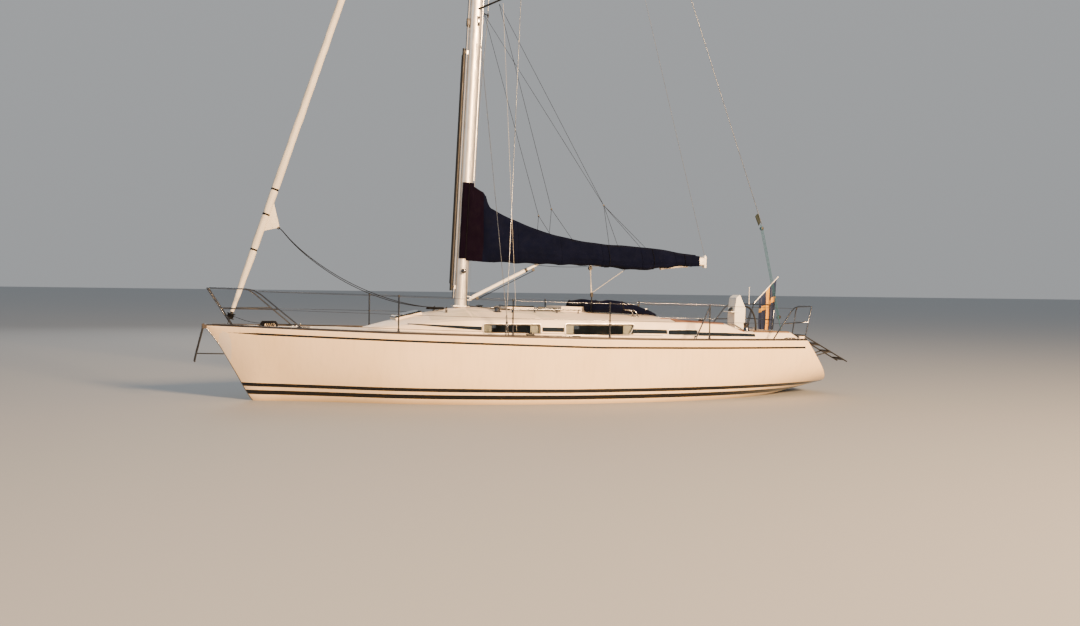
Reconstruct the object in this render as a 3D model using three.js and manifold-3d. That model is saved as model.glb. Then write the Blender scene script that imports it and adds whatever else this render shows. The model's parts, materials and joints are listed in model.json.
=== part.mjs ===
// Sailing yacht, an 11.4 m masthead-to-keel cruising sloop lying afloat with her mainsail covered.
// Millimetres. +X to the bow, +Y to port, +Z up, origin amidships on the waterline.
import * as THREE from "three";
import { mergeVertices } from "three/addons/utils/BufferGeometryUtils.js";
import Module from "manifold-3d";

const wasm = await Module();
wasm.setup();

// Driving dimensions
const GAP = 0.3; // between pieces that touch
const SIDES = [
  ["port", 1],
  ["starboard", -1],
];

const BOW_X = 5650;
const TRANSOM_TOP_X = -5150; // on the centreline
const TRANSOM_RAKE = 0.737; // X per Z, the transom slopes aft going down
const TRANSOM_RADIUS = 3100; // its roundness in plan
const SHEER_LOW_X = -3000;
const SHEER_LOW_Z = 1040;
const SHEER_RISE = 185; // from the lowest point to the bow
const STERN_DROP = 20; // the sheer falls away again aft
const DECK_EDGE = 14; // deck moulding at its edge
const DECK_CAMBER = 40;
const CABIN_FLOOR_Z = -330;
const HULL_SKIN = 70;
const ROOF_SKIN = 40;

const COCKPIT = { front: -2130, back: -4700, half: 820, seat: 820 };
const FOOTWELL = { front: -2130, back: -4520, half: 340, sole: 430 };
const TUB_SKIN = 25;
const LOCKER = { front: -2560, back: -3560, inner: 400, outer: 740, depth: 360 };
const COMPANIONWAY = { half: 290, sill: 930, back: -2130, front: -1330 };

const MAST_FOOT = { x: 1360, z: 1588 };
const MAST_RAKE = 0.043; // aft per up
const MAST_TOP_Z = 16600;
const MAST_LENGTHWAYS = 228;
const MAST_ACROSS = 142;
const SWING_AFT = 172; // the boom's upright pin, aft of the mast's own axis
const BOOM = { z: 2470, high: 172, wide: 112, front: 60, end: -3380 };

const STANCHION_R = 12.5;
const WIRE_R = 3.5;
const STAY_R = 5;
const LIFELINE_HIGH = 600;
const LIFELINE_LOW = 310;

// Curves of the hull
const sheerZ = (x) => {
  if (x < SHEER_LOW_X) return SHEER_LOW_Z - (STERN_DROP * (SHEER_LOW_X - x)) / 2000;
  return SHEER_LOW_Z + SHEER_RISE * ((x - SHEER_LOW_X) / (BOW_X - SHEER_LOW_X)) ** 1.4;
};
const transomX = (y, z) =>
  TRANSOM_TOP_X - TRANSOM_RAKE * (sheerZ(TRANSOM_TOP_X) - z) + (y * y) / (2 * TRANSOM_RADIUS);

// Solids: joining and cutting closed geometries
const asSolid = (shape) => {
  if (!shape.isBufferGeometry) return shape;
  const plain = new THREE.BufferGeometry();
  plain.setAttribute("position", shape.getAttribute("position"));
  if (shape.index) plain.setIndex(shape.index);
  const merged = mergeVertices(plain, 1e-3);
  return new wasm.Manifold(
    new wasm.Mesh({
      numProp: 3,
      vertProperties: new Float32Array(merged.attributes.position.array),
      triVerts: new Uint32Array(merged.index.array),
    }),
  );
};
const join = (...shapes) => shapes.flat().map(asSolid).reduce((a, b) => a.add(b));
const cut = (from, ...tools) =>
  tools.flat().reduce((a, b) => a.subtract(asSolid(b)), asSolid(from));
const common = (a, b) => asSolid(a).intersect(asSolid(b));
const toGeometry = (shape) => {
  if (shape.isBufferGeometry) return shape;
  const mesh = shape.getMesh();
  const g = new THREE.BufferGeometry();
  g.setAttribute("position", new THREE.BufferAttribute(mesh.vertProperties, 3));
  g.setIndex(new THREE.BufferAttribute(mesh.triVerts, 1));
  g.computeVertexNormals();
  return g;
};

// Simple shapes
const v = (x, y, z) => new THREE.Vector3(x, y, z);
const block = (x0, x1, y0, y1, z0, z1) =>
  new THREE.BoxGeometry(Math.abs(x1 - x0), Math.abs(y1 - y0), Math.abs(z1 - z0)).translate(
    (x0 + x1) / 2,
    (y0 + y1) / 2,
    (z0 + z1) / 2,
  );
const rod = (from, to, radius, sides = 8, radiusTo = radius) => {
  const along = to.clone().sub(from);
  const g = new THREE.CylinderGeometry(radiusTo, radius, along.length(), sides);
  const turn = new THREE.Quaternion().setFromUnitVectors(v(0, 1, 0), along.clone().normalize());
  return g.applyQuaternion(turn).translate(...from.clone().add(to).multiplyScalar(0.5).toArray());
};
const ball = (at, radius, sides = 8) =>
  new THREE.SphereGeometry(radius, sides, Math.max(4, sides / 2)).translate(at.x, at.y, at.z);
// A tube through points, its rings square to the way it runs.
const chain = (points, radius, sides = 8) => {
  let across = v(0.31, 0.83, 0.46);
  return loft(
    points.map((p, i) => {
      const along = v(0, 0, 0);
      if (i > 0) along.add(p.clone().sub(points[i - 1]).normalize());
      if (i < points.length - 1) along.add(points[i + 1].clone().sub(p).normalize());
      along.normalize();
      across = across.clone().addScaledVector(along, -across.dot(along)).normalize();
      const third = along.clone().cross(across);
      return Array.from({ length: sides }, (_, k) => {
        const a = (k / sides) * 2 * Math.PI;
        return p
          .clone()
          .addScaledVector(across, radius * Math.cos(a))
          .addScaledVector(third, radius * Math.sin(a));
      });
    }),
  );
};
const roundOutline = (radius, sides) =>
  new THREE.Shape(
    Array.from({ length: sides }, (_, i) => {
      const a = (i / sides) * 2 * Math.PI;
      return new THREE.Vector2(radius * Math.cos(a), radius * Math.sin(a));
    }),
  );
const bentTube = (points, radius, steps, sides = 8) =>
  new THREE.ExtrudeGeometry(roundOutline(radius, sides), {
    steps,
    extrudePath: new THREE.CatmullRomCurve3(points, false, "centripetal"),
  });
const slab = (corners, z0, z1) =>
  new THREE.ExtrudeGeometry(new THREE.Shape(corners.map(([x, y]) => new THREE.Vector2(x, y))), {
    depth: z1 - z0,
    bevelEnabled: false,
  }).translate(0, 0, z0);
// A flat outline given as X and Z, extruded across the boat.
const profile = (corners, y0, y1) =>
  new THREE.ExtrudeGeometry(new THREE.Shape(corners.map(([x, z]) => new THREE.Vector2(x, z))), {
    depth: y1 - y0,
    bevelEnabled: false,
  })
    .rotateX(Math.PI / 2)
    .translate(0, y1, 0);
const lathe = (pairs, sides = 16) =>
  new THREE.LatheGeometry(
    pairs.map(([r, z]) => new THREE.Vector2(r, z)),
    sides,
  ).rotateX(Math.PI / 2);

// A closed skin through rings of points, every ring with the same count, capped at both ends.
const loft = (rings) => {
  const count = rings[0].length;
  const positions = rings.flat().flatMap((p) => [p.x, p.y, p.z]);
  const faces = [];
  for (let r = 0; r < rings.length - 1; r++) {
    for (let i = 0; i < count; i++) {
      const a = r * count + i;
      const b = r * count + ((i + 1) % count);
      faces.push(a, b, a + count, b, b + count, a + count);
    }
  }
  const lastRing = (rings.length - 1) * count;
  for (let i = 1; i < count - 1; i++) {
    faces.push(0, i + 1, i);
    faces.push(lastRing, lastRing + i, lastRing + i + 1);
  }
  const g = new THREE.BufferGeometry();
  g.setAttribute("position", new THREE.Float32BufferAttribute(positions, 3));
  g.setIndex(faces);
  const solid = asSolid(g);
  if (solid.volume() > 0) return solid;
  for (let i = 0; i < faces.length; i += 3) [faces[i], faces[i + 1]] = [faces[i + 1], faces[i]];
  g.setIndex(faces);
  return asSolid(g);
};

// Reads a table of rows at x, straight between its rows; the first column is x, falling.
const readTable = (rows, x) => {
  if (x >= rows[0][0]) return rows[0];
  const next = rows.findIndex((row) => row[0] <= x);
  if (next < 0) return rows[rows.length - 1];
  const [a, b] = [rows[next - 1], rows[next]];
  const t = (x - a[0]) / (b[0] - a[0]);
  return a.map((value, i) => value + t * (b[i] - value));
};

// The drawn rows with one more halfway along each wide gap, on a smooth curve through them.
const fair = (rows, widest) => {
  const rate = (i, c) => (rows[i + 1][c] - rows[i][c]) / (rows[i + 1][0] - rows[i][0]);
  const slope = (i, c) => {
    if (i === 0) return rate(0, c);
    if (i === rows.length - 1) return rate(i - 1, c);
    const before = rows[i - 1][0] - rows[i][0];
    const after = rows[i][0] - rows[i + 1][0];
    return (rate(i - 1, c) * after + rate(i, c) * before) / (before + after);
  };
  const halfway = (i, c) => {
    const mean = (rows[i][c] + rows[i + 1][c]) / 2;
    if (c === 0) return mean;
    return mean + ((rows[i + 1][0] - rows[i][0]) / 8) * (slope(i, c) - slope(i + 1, c));
  };
  return rows.flatMap((row, i) => {
    const wide = i + 1 < rows.length && row[0] - rows[i + 1][0] > widest;
    return wide ? [row, row.map((_, c) => halfway(i, c))] : [row];
  });
};

// Drawn hull sections: x, half beam at the deck, lowest Z, fullness of the bilge, roundness low down
const DRAWN_SECTIONS = [
  [5650, 18, 1200, 1.2, 1.0],
  [5480, 105, 975, 1.25, 1.0],
  [5200, 250, 504, 1.3, 1.05],
  [4900, 410, 0, 1.4, 1.1],
  [4450, 635, -190, 1.7, 1.2],
  [3700, 975, -325, 2.2, 1.45],
  [2730, 1340, -430, 3.2, 1.75],
  [1500, 1595, -500, 4.6, 1.95],
  [0, 1740, -530, 5.6, 2.0],
  [-1500, 1735, -490, 5.4, 2.0],
  [-3000, 1610, -330, 4.6, 1.95],
  [-4100, 1425, -140, 4.0, 1.9],
  [-4900, 1250, 15, 3.6, 1.85],
  [-6000, 1000, 230, 3.2, 1.8],
];
const HULL_SECTIONS = fair(DRAWN_SECTIONS, 700);
const FLARE = 0.055;
const halfBeam = (x) => readTable(HULL_SECTIONS, x)[1];
const EDGE_LINE = HULL_SECTIONS.map(([x]) => [x, sheerZ(x)]);
const edgeZ = (x) => readTable(EDGE_LINE, x)[1]; // the hull's edge as built, straight between sections
const hullHalf = ([, deckHalf, low, full, round], share) =>
  deckHalf * (1 - (1 - share) ** full) ** (1 / round) * (1 - FLARE * (1 - share));
const hullRing = (row, inset, count, top = sheerZ(row[0])) => {
  const [x, , low] = row;
  const half = [];
  for (let i = 1; i <= count; i++) {
    const share = (i / count) ** 1.6;
    half.push([Math.max(2, hullHalf(row, share) - inset), low + inset + (top - low - inset) * share]);
  }
  return [
    v(x, 0, low + inset),
    ...half.map(([y, z]) => v(x, y, z)),
    ...half.reverse().map(([y, z]) => v(x, -y, z)),
  ];
};

// Coachroof and coaming: x, half width, height at the shoulder, height on the centreline
const ROOF_SECTIONS = [
  [3180, 60, 1185, 1200],
  [2850, 430, 1245, 1282],
  [2300, 760, 1320, 1420],
  [1750, 915, 1372, 1528],
  [1360, 985, 1392, 1580],
  [150, 1095, 1410, 1560],
  [-1000, 1140, 1400, 1532],
  [-2050, 1145, 1375, 1480],
  [-2600, 1135, 1362, 1420],
  [-3300, 1115, 1332, 1362],
  [-3560, 1105, 1240, 1255],
  [-3700, 1100, 1196, 1206],
  [-4700, 1010, 1180, 1186],
  [-4830, 995, 1112, 1116],
];
const SHOULDER = 75;
const LEAN_IN = 55; // the side leans in this much from deck to shoulder
const roofRing = ([x, half, shoulder, crown], skin) => {
  const base = edgeZ(x) + (skin ? -400 : 4);
  const w = Math.max(20, half - skin);
  const sh = shoulder - skin;
  const side = [
    [w, base],
    [w - LEAN_IN * 0.4, sh - SHOULDER],
    [w - LEAN_IN * 0.75, sh - SHOULDER * 0.3],
    [w - LEAN_IN - SHOULDER * 0.6, sh],
    [(w - SHOULDER) * 0.62, sh + (crown - shoulder) * 0.62],
    [(w - SHOULDER) * 0.3, sh + (crown - shoulder) * 0.91],
  ].map(([y, z], i) => [Math.max(4, y), Math.max(z, base + 1.5 * i)]);
  return [
    ...side.map(([y, z]) => v(x, y, z)),
    v(x, 0, sh + (crown - shoulder)),
    ...side.reverse().map(([y, z]) => v(x, -y, z)),
  ];
};
const roofTop = (x) => readTable(ROOF_SECTIONS, x)[3];

// Materials
const finish = (colour, roughness, metalness = 0) =>
  new THREE.MeshStandardMaterial({ color: colour, roughness, metalness });
const FINISH = {
  gelcoat: finish(0xe9e0cf, 0.28),
  deckWhite: finish(0xe6e0d2, 0.5),
  castIron: finish(0x2f3134, 0.7, 0.3),
  paintedGrey: finish(0x8a8d8e, 0.45, 0.2),
  bronze: finish(0x9a7b46, 0.35, 0.9),
  alloy: finish(0xb9bab8, 0.38, 0.85),
  blackAlloy: finish(0x17181a, 0.42, 0.6),
  steel: finish(0xc9ccce, 0.18, 1),
  wire: finish(0x9b9fa2, 0.35, 0.9),
  whiteCast: finish(0xf1efe8, 0.35),
  acrylic: finish(0x1a2226, 0.08),
  teak: finish(0x7a4a2b, 0.65),
  varnish: finish(0x9c6434, 0.3),
  darkCanvas: finish(0x12141f, 0.9),
  sailcloth: finish(0xd9cfbd, 0.7),
  curtain: finish(0x9aa08f, 0.95),
  rope: finish(0x14161a, 0.9),
  flag: finish(0x1c3d73, 0.9),
  blackPlastic: finish(0x141414, 0.55),
};

const yacht = new THREE.Group();
yacht.name = "sailing_yacht";
const add = (name, shape, material) => {
  const mesh = new THREE.Mesh(toGeometry(shape), material);
  mesh.name = name;
  yacht.add(mesh);
};

// Cutting tools shared by hull and deck
const transomCutter = () => {
  const steps = 6;
  const reach = 2000;
  const zs = [-900, 1700];
  const ring = (z) => {
    const front = [];
    for (let i = 0; i <= steps; i++) {
      const y = -reach + (2 * reach * i) / steps;
      front.push(v(transomX(y, z), y, z));
    }
    return [...front, v(-8500, reach, z), v(-8500, -reach, z)];
  };
  return loft(zs.map(ring));
};
const TRANSOM_CUT = transomCutter();
const tubOuter = (grow) =>
  join(
    block(
      COCKPIT.front + TUB_SKIN + grow,
      COCKPIT.back - TUB_SKIN - grow,
      -COCKPIT.half - TUB_SKIN - grow,
      COCKPIT.half + TUB_SKIN + grow,
      COCKPIT.seat - TUB_SKIN - grow,
      1130,
    ),
    block(
      FOOTWELL.front + TUB_SKIN + grow,
      FOOTWELL.back - TUB_SKIN - grow,
      -FOOTWELL.half - TUB_SKIN - grow,
      FOOTWELL.half + TUB_SKIN + grow,
      FOOTWELL.sole - TUB_SKIN - grow,
      1100,
    ),
    SIDES.map(([, s]) =>
      block(
        LOCKER.front + TUB_SKIN + grow,
        LOCKER.back - TUB_SKIN - grow,
        s * (LOCKER.inner - TUB_SKIN - grow),
        s * (LOCKER.outer + TUB_SKIN + grow),
        COCKPIT.seat - LOCKER.depth - TUB_SKIN - grow,
        1000,
      ),
    ),
  );

// Hull with the cabin's hollow, its flat inner floor and the engine's bearers
const RUDDER = { x: -4130, stock: 28, top: 300 };
const ENGINE = { front: -2240, back: -2900, half: 230, z0: -130, z1: 330 };
const cabinHollow = (grow) => {
  const rows = HULL_SECTIONS.filter(([x]) => x <= 3700 && x >= -3000);
  const front = readTable(HULL_SECTIONS, 4100);
  const inner = loft([front, ...rows].map((row) => hullRing(row, HULL_SKIN + grow, 9, sheerZ(row[0]) + 60)));
  return common(inner, block(4200, -3100, -2000, 2000, CABIN_FLOOR_Z, 1600));
};
const hullSkin = () => loft(HULL_SECTIONS.map((row) => hullRing(row, 0, 12)));
const belowHull = () => hullSkin().translate(0, 0, -GAP);
const hullShape = () => {
  const skin = hullSkin();
  const bearers = SIDES.map(([, s]) =>
    block(ENGINE.front + 60, ENGINE.back - 60, s * 130, s * 210, CABIN_FLOOR_Z - 40, ENGINE.z0 - GAP),
  );
  const hollow = cut(cabinHollow(0), bearers);
  const stockBore = rod(
    v(RUDDER.x, 0, -600), v(RUDDER.x, 0, RUDDER.top + 3), RUDDER.stock + 0.8, 24,
  );
  const anchorWell = slab(anchorLidCorners(-18), 900, 1500);
  return cut(skin, hollow, TRANSOM_CUT, tubOuter(GAP), stockBore, anchorWell);
};

// Deck, coachroof, coaming and cockpit in one moulding
const HATCHES = {
  fore: { x: 2330, size: 460 },
  saloon: { x: 330, size: 500 },
};
const HATCH_RIM = 24;
const LID_THICK = 30;
const deckTopZ = (x, y) => {
  const w = halfBeam(x) - 4;
  const rise = DECK_CAMBER * Math.min(1, halfBeam(x) / 1000);
  const out = Math.abs(y) / w;
  const share = out > 0.6 ? (0.64 * (1 - out)) / 0.4 : 0.64 + (0.36 * (0.6 - out)) / 0.6;
  return edgeZ(x) + GAP + DECK_EDGE + rise * share;
};
const deckPlate = () =>
  loft(
    HULL_SECTIONS.map(([x, deckHalf]) => {
      const z = sheerZ(x) + GAP;
      const w = Math.max(8, deckHalf - 4);
      const rise = DECK_CAMBER * Math.min(1, deckHalf / 1000);
      return [
        v(x, w, z),
        v(x, w, z + DECK_EDGE),
        v(x, w * 0.6, z + DECK_EDGE + rise * 0.64),
        v(x, 0, z + DECK_EDGE + rise),
        v(x, -w * 0.6, z + DECK_EDGE + rise * 0.64),
        v(x, -w, z + DECK_EDGE),
        v(x, -w, z),
      ];
    }),
  );
const roofSlope = (x) => (roofTop(x + 100) - roofTop(x - 100)) / 200;
const onRoof = (shape, x, lift = 0) =>
  shape.rotateY(-Math.atan(roofSlope(x))).translate(x, 0, roofTop(x) + lift);
const windowHole = ([front, back, bottom, top], s) =>
  block(front - PANE_LAP, back + PANE_LAP, s * 880, s * 1300, bottom + PANE_LAP, top - PANE_LAP);
const HOOD_X = -840;
const SEAHOOD = { half: 400, high: 62, reach: 460 };
const HATCH_LIFT = 12;
const hoodTop = (x) => roofTop(HOOD_X) + SEAHOOD.high + (x - HOOD_X) * roofSlope(HOOD_X);
// Cabin window panes: front, back, bottom, top
const PANES = [
  [1225, 225, 1150, 1322],
  [-205, -1480, 1128, 1330],
  [-2120, -2710, 1130, 1232],
];
const PANE_LAP = 16;
const SHEET_LEAD = { x: 1722, y: 430, z: 1552 };
const COIL = { x: 4650, mean: 126, wide: 44, high: 58, cleatY: 165, cleatTop: 1285 };
const ANCHOR_LID = { front: 5080, back: 4830, frontHalf: 105, backHalf: 200 };
const anchorLidTop = () => sheerZ(ANCHOR_LID.front) + DECK_EDGE + 20;
const anchorLidCorners = (grow) => [
  [ANCHOR_LID.front + grow, ANCHOR_LID.frontHalf + grow],
  [ANCHOR_LID.back - grow, ANCHOR_LID.backHalf + grow],
  [ANCHOR_LID.back - grow, -ANCHOR_LID.backHalf - grow],
  [ANCHOR_LID.front + grow, -ANCHOR_LID.frontHalf - grow],
];
const STERN_LADDER = { y0: 470, y1: 790, hinge: [-5078, 1112], end: [-6030, 615] };
const deckShape = () => {
  const roof = loft(ROOF_SECTIONS.map((row) => roofRing(row, 0)));
  const inside = ROOF_SECTIONS.filter(([x]) => x < 3000 && x >= -2050);
  const roofHollow = loft(
    [...inside, [-2070, 1144, 1374, 1478]].map((row) => roofRing(row, ROOF_SKIN)),
  );
  const seahood = onRoof(
    block(-SEAHOOD.reach, SEAHOOD.reach, -SEAHOOD.half, SEAHOOD.half, -40, SEAHOOD.high),
    HOOD_X,
  );
  const hatchWay = onRoof(
    block(-SEAHOOD.reach - 10, SEAHOOD.reach - 60, -318, 318, HATCH_LIFT - 6, SEAHOOD.high - 18),
    HOOD_X,
  );
  const companionTop = block(COMPANIONWAY.front, -2170, -270, 270, 1300, 1700);
  const companionFront = block(
    -2050, -2200, -COMPANIONWAY.half, COMPANIONWAY.half, COMPANIONWAY.sill, 1700,
  );
  const lockers = SIDES.map(([, s]) =>
    block(LOCKER.front, LOCKER.back, s * LOCKER.inner, s * LOCKER.outer, COCKPIT.seat - LOCKER.depth, 900),
  );
  const lidSeats = SIDES.map(([, s]) =>
    block(
      LOCKER.front + 22, LOCKER.back - 22, s * (LOCKER.inner - 22), s * (LOCKER.outer + 22),
      COCKPIT.seat - 12, 900,
    ),
  );
  const cockpit = [
    block(COCKPIT.front, COCKPIT.back, -COCKPIT.half, COCKPIT.half, COCKPIT.seat, 1700),
    block(FOOTWELL.front, FOOTWELL.back, -FOOTWELL.half, FOOTWELL.half, FOOTWELL.sole, 1700),
    ...lockers,
    ...lidSeats,
  ];
  const hatchHoles = Object.values(HATCHES).map(({ x, size }) =>
    onRoof(block(-size / 2 + 45, size / 2 - 45, -size / 2 + 45, size / 2 - 45, -300, 60), x),
  );
  const coamings = Object.values(HATCHES).map(({ x, size }) =>
    onRoof(block(-size / 2, size / 2, -size / 2, size / 2, -60, HATCH_RIM), x),
  );
  const windowHoles = SIDES.flatMap(([, s]) =>
    PANES.slice(0, 2).map((pane) => windowHole(pane, s)),
  );
  const hatchRails = SIDES.map(([, s]) =>
    onRoof(block(-1300, -450, s * 296, s * 345, -90, HATCH_LIFT - GAP), HOOD_X),
  );
  const leadAt = (s, z) => v(SHEET_LEAD.x, s * SHEET_LEAD.y, z);
  const leads = SIDES.map(([, s]) => rod(leadAt(s, 1400), leadAt(s, SHEET_LEAD.z), 15, 12));
  const cleat = block(COIL.x - 85, COIL.x + 85, COIL.cleatY - 12, COIL.cleatY + 12, 1222, COIL.cleatTop);
  const chocks = [STERN_LADDER.y0 - 26, STERN_LADDER.y1 + 26].map((y) =>
    block(-5098, -4970, y - 12, y + 12, 1030, STERN_LADDER.hinge[1] - 14 - GAP),
  );
  const plain = join(deckPlate(), roof, coamings, hatchRails, leads, cleat);
  const shell = join(cut(plain, TRANSOM_CUT, roofHollow), chocks);
  const withTub = join(shell, cut(tubOuter(0), block(-2000, -2075, -2000, 2000, 0, 2000)));
  const anchorLocker = [
    slab(anchorLidCorners(-18), 900, 1500),
    slab(anchorLidCorners(2), anchorLidTop() - 14, 1500),
  ];
  return cut(
    cut(join(withTub, seahood), hatchWay, companionTop, companionFront, hatchHoles, windowHoles),
    cockpit,
    anchorLocker,
  );
};

const DECK = deckShape();
const clearOfDeck = (shape) => cut(shape, DECK.translate(0, 0, GAP));
add("hull", hullShape(), FINISH.gelcoat);
add("deck", DECK, FINISH.deckWhite);

// Toe rails, joined at the bow by the stem fitting
const RAIL = { wide: 34, high: 34, inset: 10, front: 5560, back: -4880 };
const toeRail = (s) => {
  const along = HULL_SECTIONS.map(([x]) => x).filter((x) => x < RAIL.front && x > RAIL.back);
  const xs = [RAIL.front, ...along, RAIL.back];
  return loft(
    xs.map((x) => {
      const outer = halfBeam(x) - 4 - RAIL.inset;
      const inner = outer - RAIL.wide;
      const z = (y) => deckTopZ(x, y) + GAP;
      return [
        v(x, s * outer, z(outer)),
        v(x, s * outer, z(outer) + RAIL.high),
        v(x, s * inner, z(inner) + RAIL.high),
        v(x, s * inner, z(inner)),
      ];
    }),
  );
};
const STEM_PLATE = { back: 5280, tip: 5690, z: 1243, thick: 20 };
const stemPlate = () =>
  slab(
    [
      [STEM_PLATE.back, 195],
      [5480, 88],
      [STEM_PLATE.tip, 24],
      [STEM_PLATE.tip, -24],
      [5480, -88],
      [STEM_PLATE.back, -195],
    ],
    STEM_PLATE.z,
    STEM_PLATE.z + STEM_PLATE.thick,
  );
const bowRoller = () => rod(v(5700, -30, STEM_PLATE.z + 8), v(5700, 30, STEM_PLATE.z + 8), 26, 12);
// The bow ladder hangs between two lugs on a crossbar.
const BOW_LADDER = { x: 5708, z: 1205, half: 98, barrel: 113 };
const ladderLugs = () => [
  block(5655, 5688, -122, 122, STEM_PLATE.z, STEM_PLATE.z + STEM_PLATE.thick),
  ...SIDES.map(([, s]) =>
    block(
      5660, 5722, s * (BOW_LADDER.barrel + GAP), s * 122,
      BOW_LADDER.z - 9, STEM_PLATE.z + STEM_PLATE.thick,
    ),
  ),
];
add(
  "toe_rail",
  clearOfDeck(join(SIDES.map(([, s]) => toeRail(s)), stemPlate(), bowRoller(), ladderLugs())),
  FINISH.blackAlloy,
);

// Cabin window strips: panes and the dark band that joins them; x, bottom, top
const BAND = [
  [2460, 1296, 1310],
  [1232, 1204, 1268],
  [1225, 1150, 1322],
  [225, 1150, 1322],
  [218, 1190, 1264],
  [-198, 1184, 1258],
  [-205, 1128, 1330],
  [-1480, 1128, 1330],
  [-1487, 1164, 1236],
  [-2113, 1154, 1226],
  [-2120, 1130, 1232],
  [-2710, 1130, 1226],
  [-2717, 1120, 1184],
  [-3560, 1108, 1166],
  [-3700, 1104, 1160],
];
const wallY = (x, z, skin) => {
  const [, half, shoulder] = readTable(ROOF_SECTIONS, x);
  const base = edgeZ(x) + (skin ? -400 : 4);
  const top = shoulder - skin - SHOULDER;
  const w = half - skin;
  if (z <= top) return w - LEAN_IN * 0.4 * ((z - base) / (top - base));
  return w - LEAN_IN * (0.4 + (0.35 * (z - top)) / (SHOULDER * 0.7));
};
const BAND_THICK = 5;
const windowStrip = (s) => {
  const inBetween = ROOF_SECTIONS.map(([x]) => x).filter((x) => x < 2460 && x > -3700);
  const xs = [...new Set([...BAND.map(([x]) => x), ...inBetween])].sort((a, b) => b - a);
  return loft(
    xs.map((x) => {
      const [, bottom, top] = readTable(BAND, x);
      const y = (z) => wallY(x, z, 0);
      return [
        v(x, s * (y(bottom) - BAND_THICK), bottom),
        v(x, s * (y(bottom) + BAND_THICK), bottom),
        v(x, s * (y(top) + BAND_THICK), top),
        v(x, s * (y(top) - BAND_THICK), top),
      ];
    }),
  );
};
// Curtains, on one rail a side: x, bottom, hem to rail
const CURTAINS = [
  [1222, 1060],
  [400, 228],
  [-208, -380],
  [-1290, -1476],
];
const CURTAIN = { low: 1122, high: 1300, thick: 12 };
const curtains = (s) => {
  const hang = ([front, back]) =>
    loft(
      [front, back].map((x) => {
        const y = wallY(x, CURTAIN.high, ROOF_SKIN) - 0.9;
        return [
          v(x, s * y, CURTAIN.low),
          v(x, s * y, CURTAIN.high),
          v(x, s * (y - CURTAIN.thick), CURTAIN.high),
          v(x, s * (y - CURTAIN.thick), CURTAIN.low),
        ];
      }),
    );
  const railAt = (x) => v(x, s * (wallY(x, CURTAIN.high, ROOF_SKIN) - 5.6), CURTAIN.high - 3);
  return join(CURTAINS.map(hang), chain([1222, 150, -1000, -1476].map(railAt), 5, 8));
};
for (const [side, s] of SIDES) {
  add(
    `${side}_cabin_windows`,
    cut(windowStrip(s), DECK.translate(0, s * GAP, 0)),
    FINISH.acrylic,
  );
  add(`${side}_curtains`, curtains(s), FINISH.curtain);
}

// Hatch lids, hinged at their after edges
for (const [name, { x, size }] of Object.entries(HATCHES)) {
  const h = size / 2;
  const lid = block(-h, h, -h, h, HATCH_RIM + GAP, HATCH_RIM + LID_THICK);
  const knuckles = [-1, 1].map((s) =>
    rod(v(-h - 10, s * 130 - 30, HATCH_RIM + 12), v(-h - 10, s * 130 + 30, HATCH_RIM + 12), 11, 12),
  );
  add(`${name}_hatch`, onRoof(toGeometry(join(lid, knuckles)), x), FINISH.acrylic);
}

// Companionway: sliding hatch and a pair of doors
const companionHatch = () =>
  onRoof(
    toGeometry(
      join(
        block(-SEAHOOD.reach - 20, -1335, -312, 312, HATCH_LIFT, HATCH_LIFT + 20),
        block(-1300, -1330, -200, 200, HATCH_LIFT + 15, HATCH_LIFT + 40),
      ),
    ),
    HOOD_X,
  );
add("companionway_hatch", companionHatch(), FINISH.acrylic);
const DOOR = { x: -2140.4, half: 315, bottom: 905, top: 1462, thick: 18 };
for (const [side, s] of SIDES)
  add(
    `companionway_door_${side}`,
    join(
      block(DOOR.x - DOOR.thick / 2, DOOR.x + DOOR.thick / 2, s * 3, s * DOOR.half, DOOR.bottom, DOOR.top),
      rod(v(DOOR.x, s * DOOR.half, DOOR.bottom), v(DOOR.x, s * DOOR.half, DOOR.top), 10, 16),
    ),
    FINISH.varnish,
  );

// Deck lids
add(
  "anchor_locker_lid",
  slab(anchorLidCorners(0), anchorLidTop() - 14 + GAP, anchorLidTop() + 4),
  FINISH.deckWhite,
);
for (const [side, s] of SIDES)
  add(
    `${side}_locker_lid`,
    block(
      LOCKER.front + 20, LOCKER.back - 20, s * (LOCKER.inner - 20), s * (LOCKER.outer + 20),
      COCKPIT.seat - 12 + GAP, COCKPIT.seat + 8,
    ),
    FINISH.teak,
  );

// Cabin: sole, bulkhead with the settees and lockers it joins, steps, engine
const BULKHEAD_X = 1300;
const SOLE_HALF = 530;
const furniture = () => {
  const benches = SIDES.flatMap(([, s]) => [
    block(BULKHEAD_X, -380, s * (SOLE_HALF + 20), s * 1700, CABIN_FLOOR_Z + GAP, 110),
    block(BULKHEAD_X, -380, s * 1230, s * 1700, 0, 520),
    block(-370, -1700, s * 700, s * 1700, CABIN_FLOOR_Z + GAP, 560),
  ]);
  const wall = [
    block(BULKHEAD_X - 10, BULKHEAD_X + 12, -1500, 1500, CABIN_FLOOR_Z + 20, 1040),
    block(BULKHEAD_X - 10, BULKHEAD_X + 12, -860, 860, 900, 1290),
  ];
  const inner = join(cabinHollow(2), block(BULKHEAD_X - 50, BULKHEAD_X + 50, -860, 860, 900, 1290));
  const doorway = block(BULKHEAD_X - 60, BULKHEAD_X + 60, -270, 270, -400, 1190);
  const fillets = SIDES.map(([, s]) => block(-375, -365, s * 720, s * 1400, -200, 100));
  return cut(common(join(benches, wall, fillets), inner), doorway);
};
add("cabin_furniture", furniture(), FINISH.varnish);
add(
  "cabin_sole",
  common(
    block(2600, -2060, -SOLE_HALF, SOLE_HALF, CABIN_FLOOR_Z + GAP, CABIN_FLOOR_Z + 18),
    cabinHollow(2),
  ),
  FINISH.teak,
);
const STEP_FOOT = CABIN_FLOOR_Z + 18 + GAP;
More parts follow.
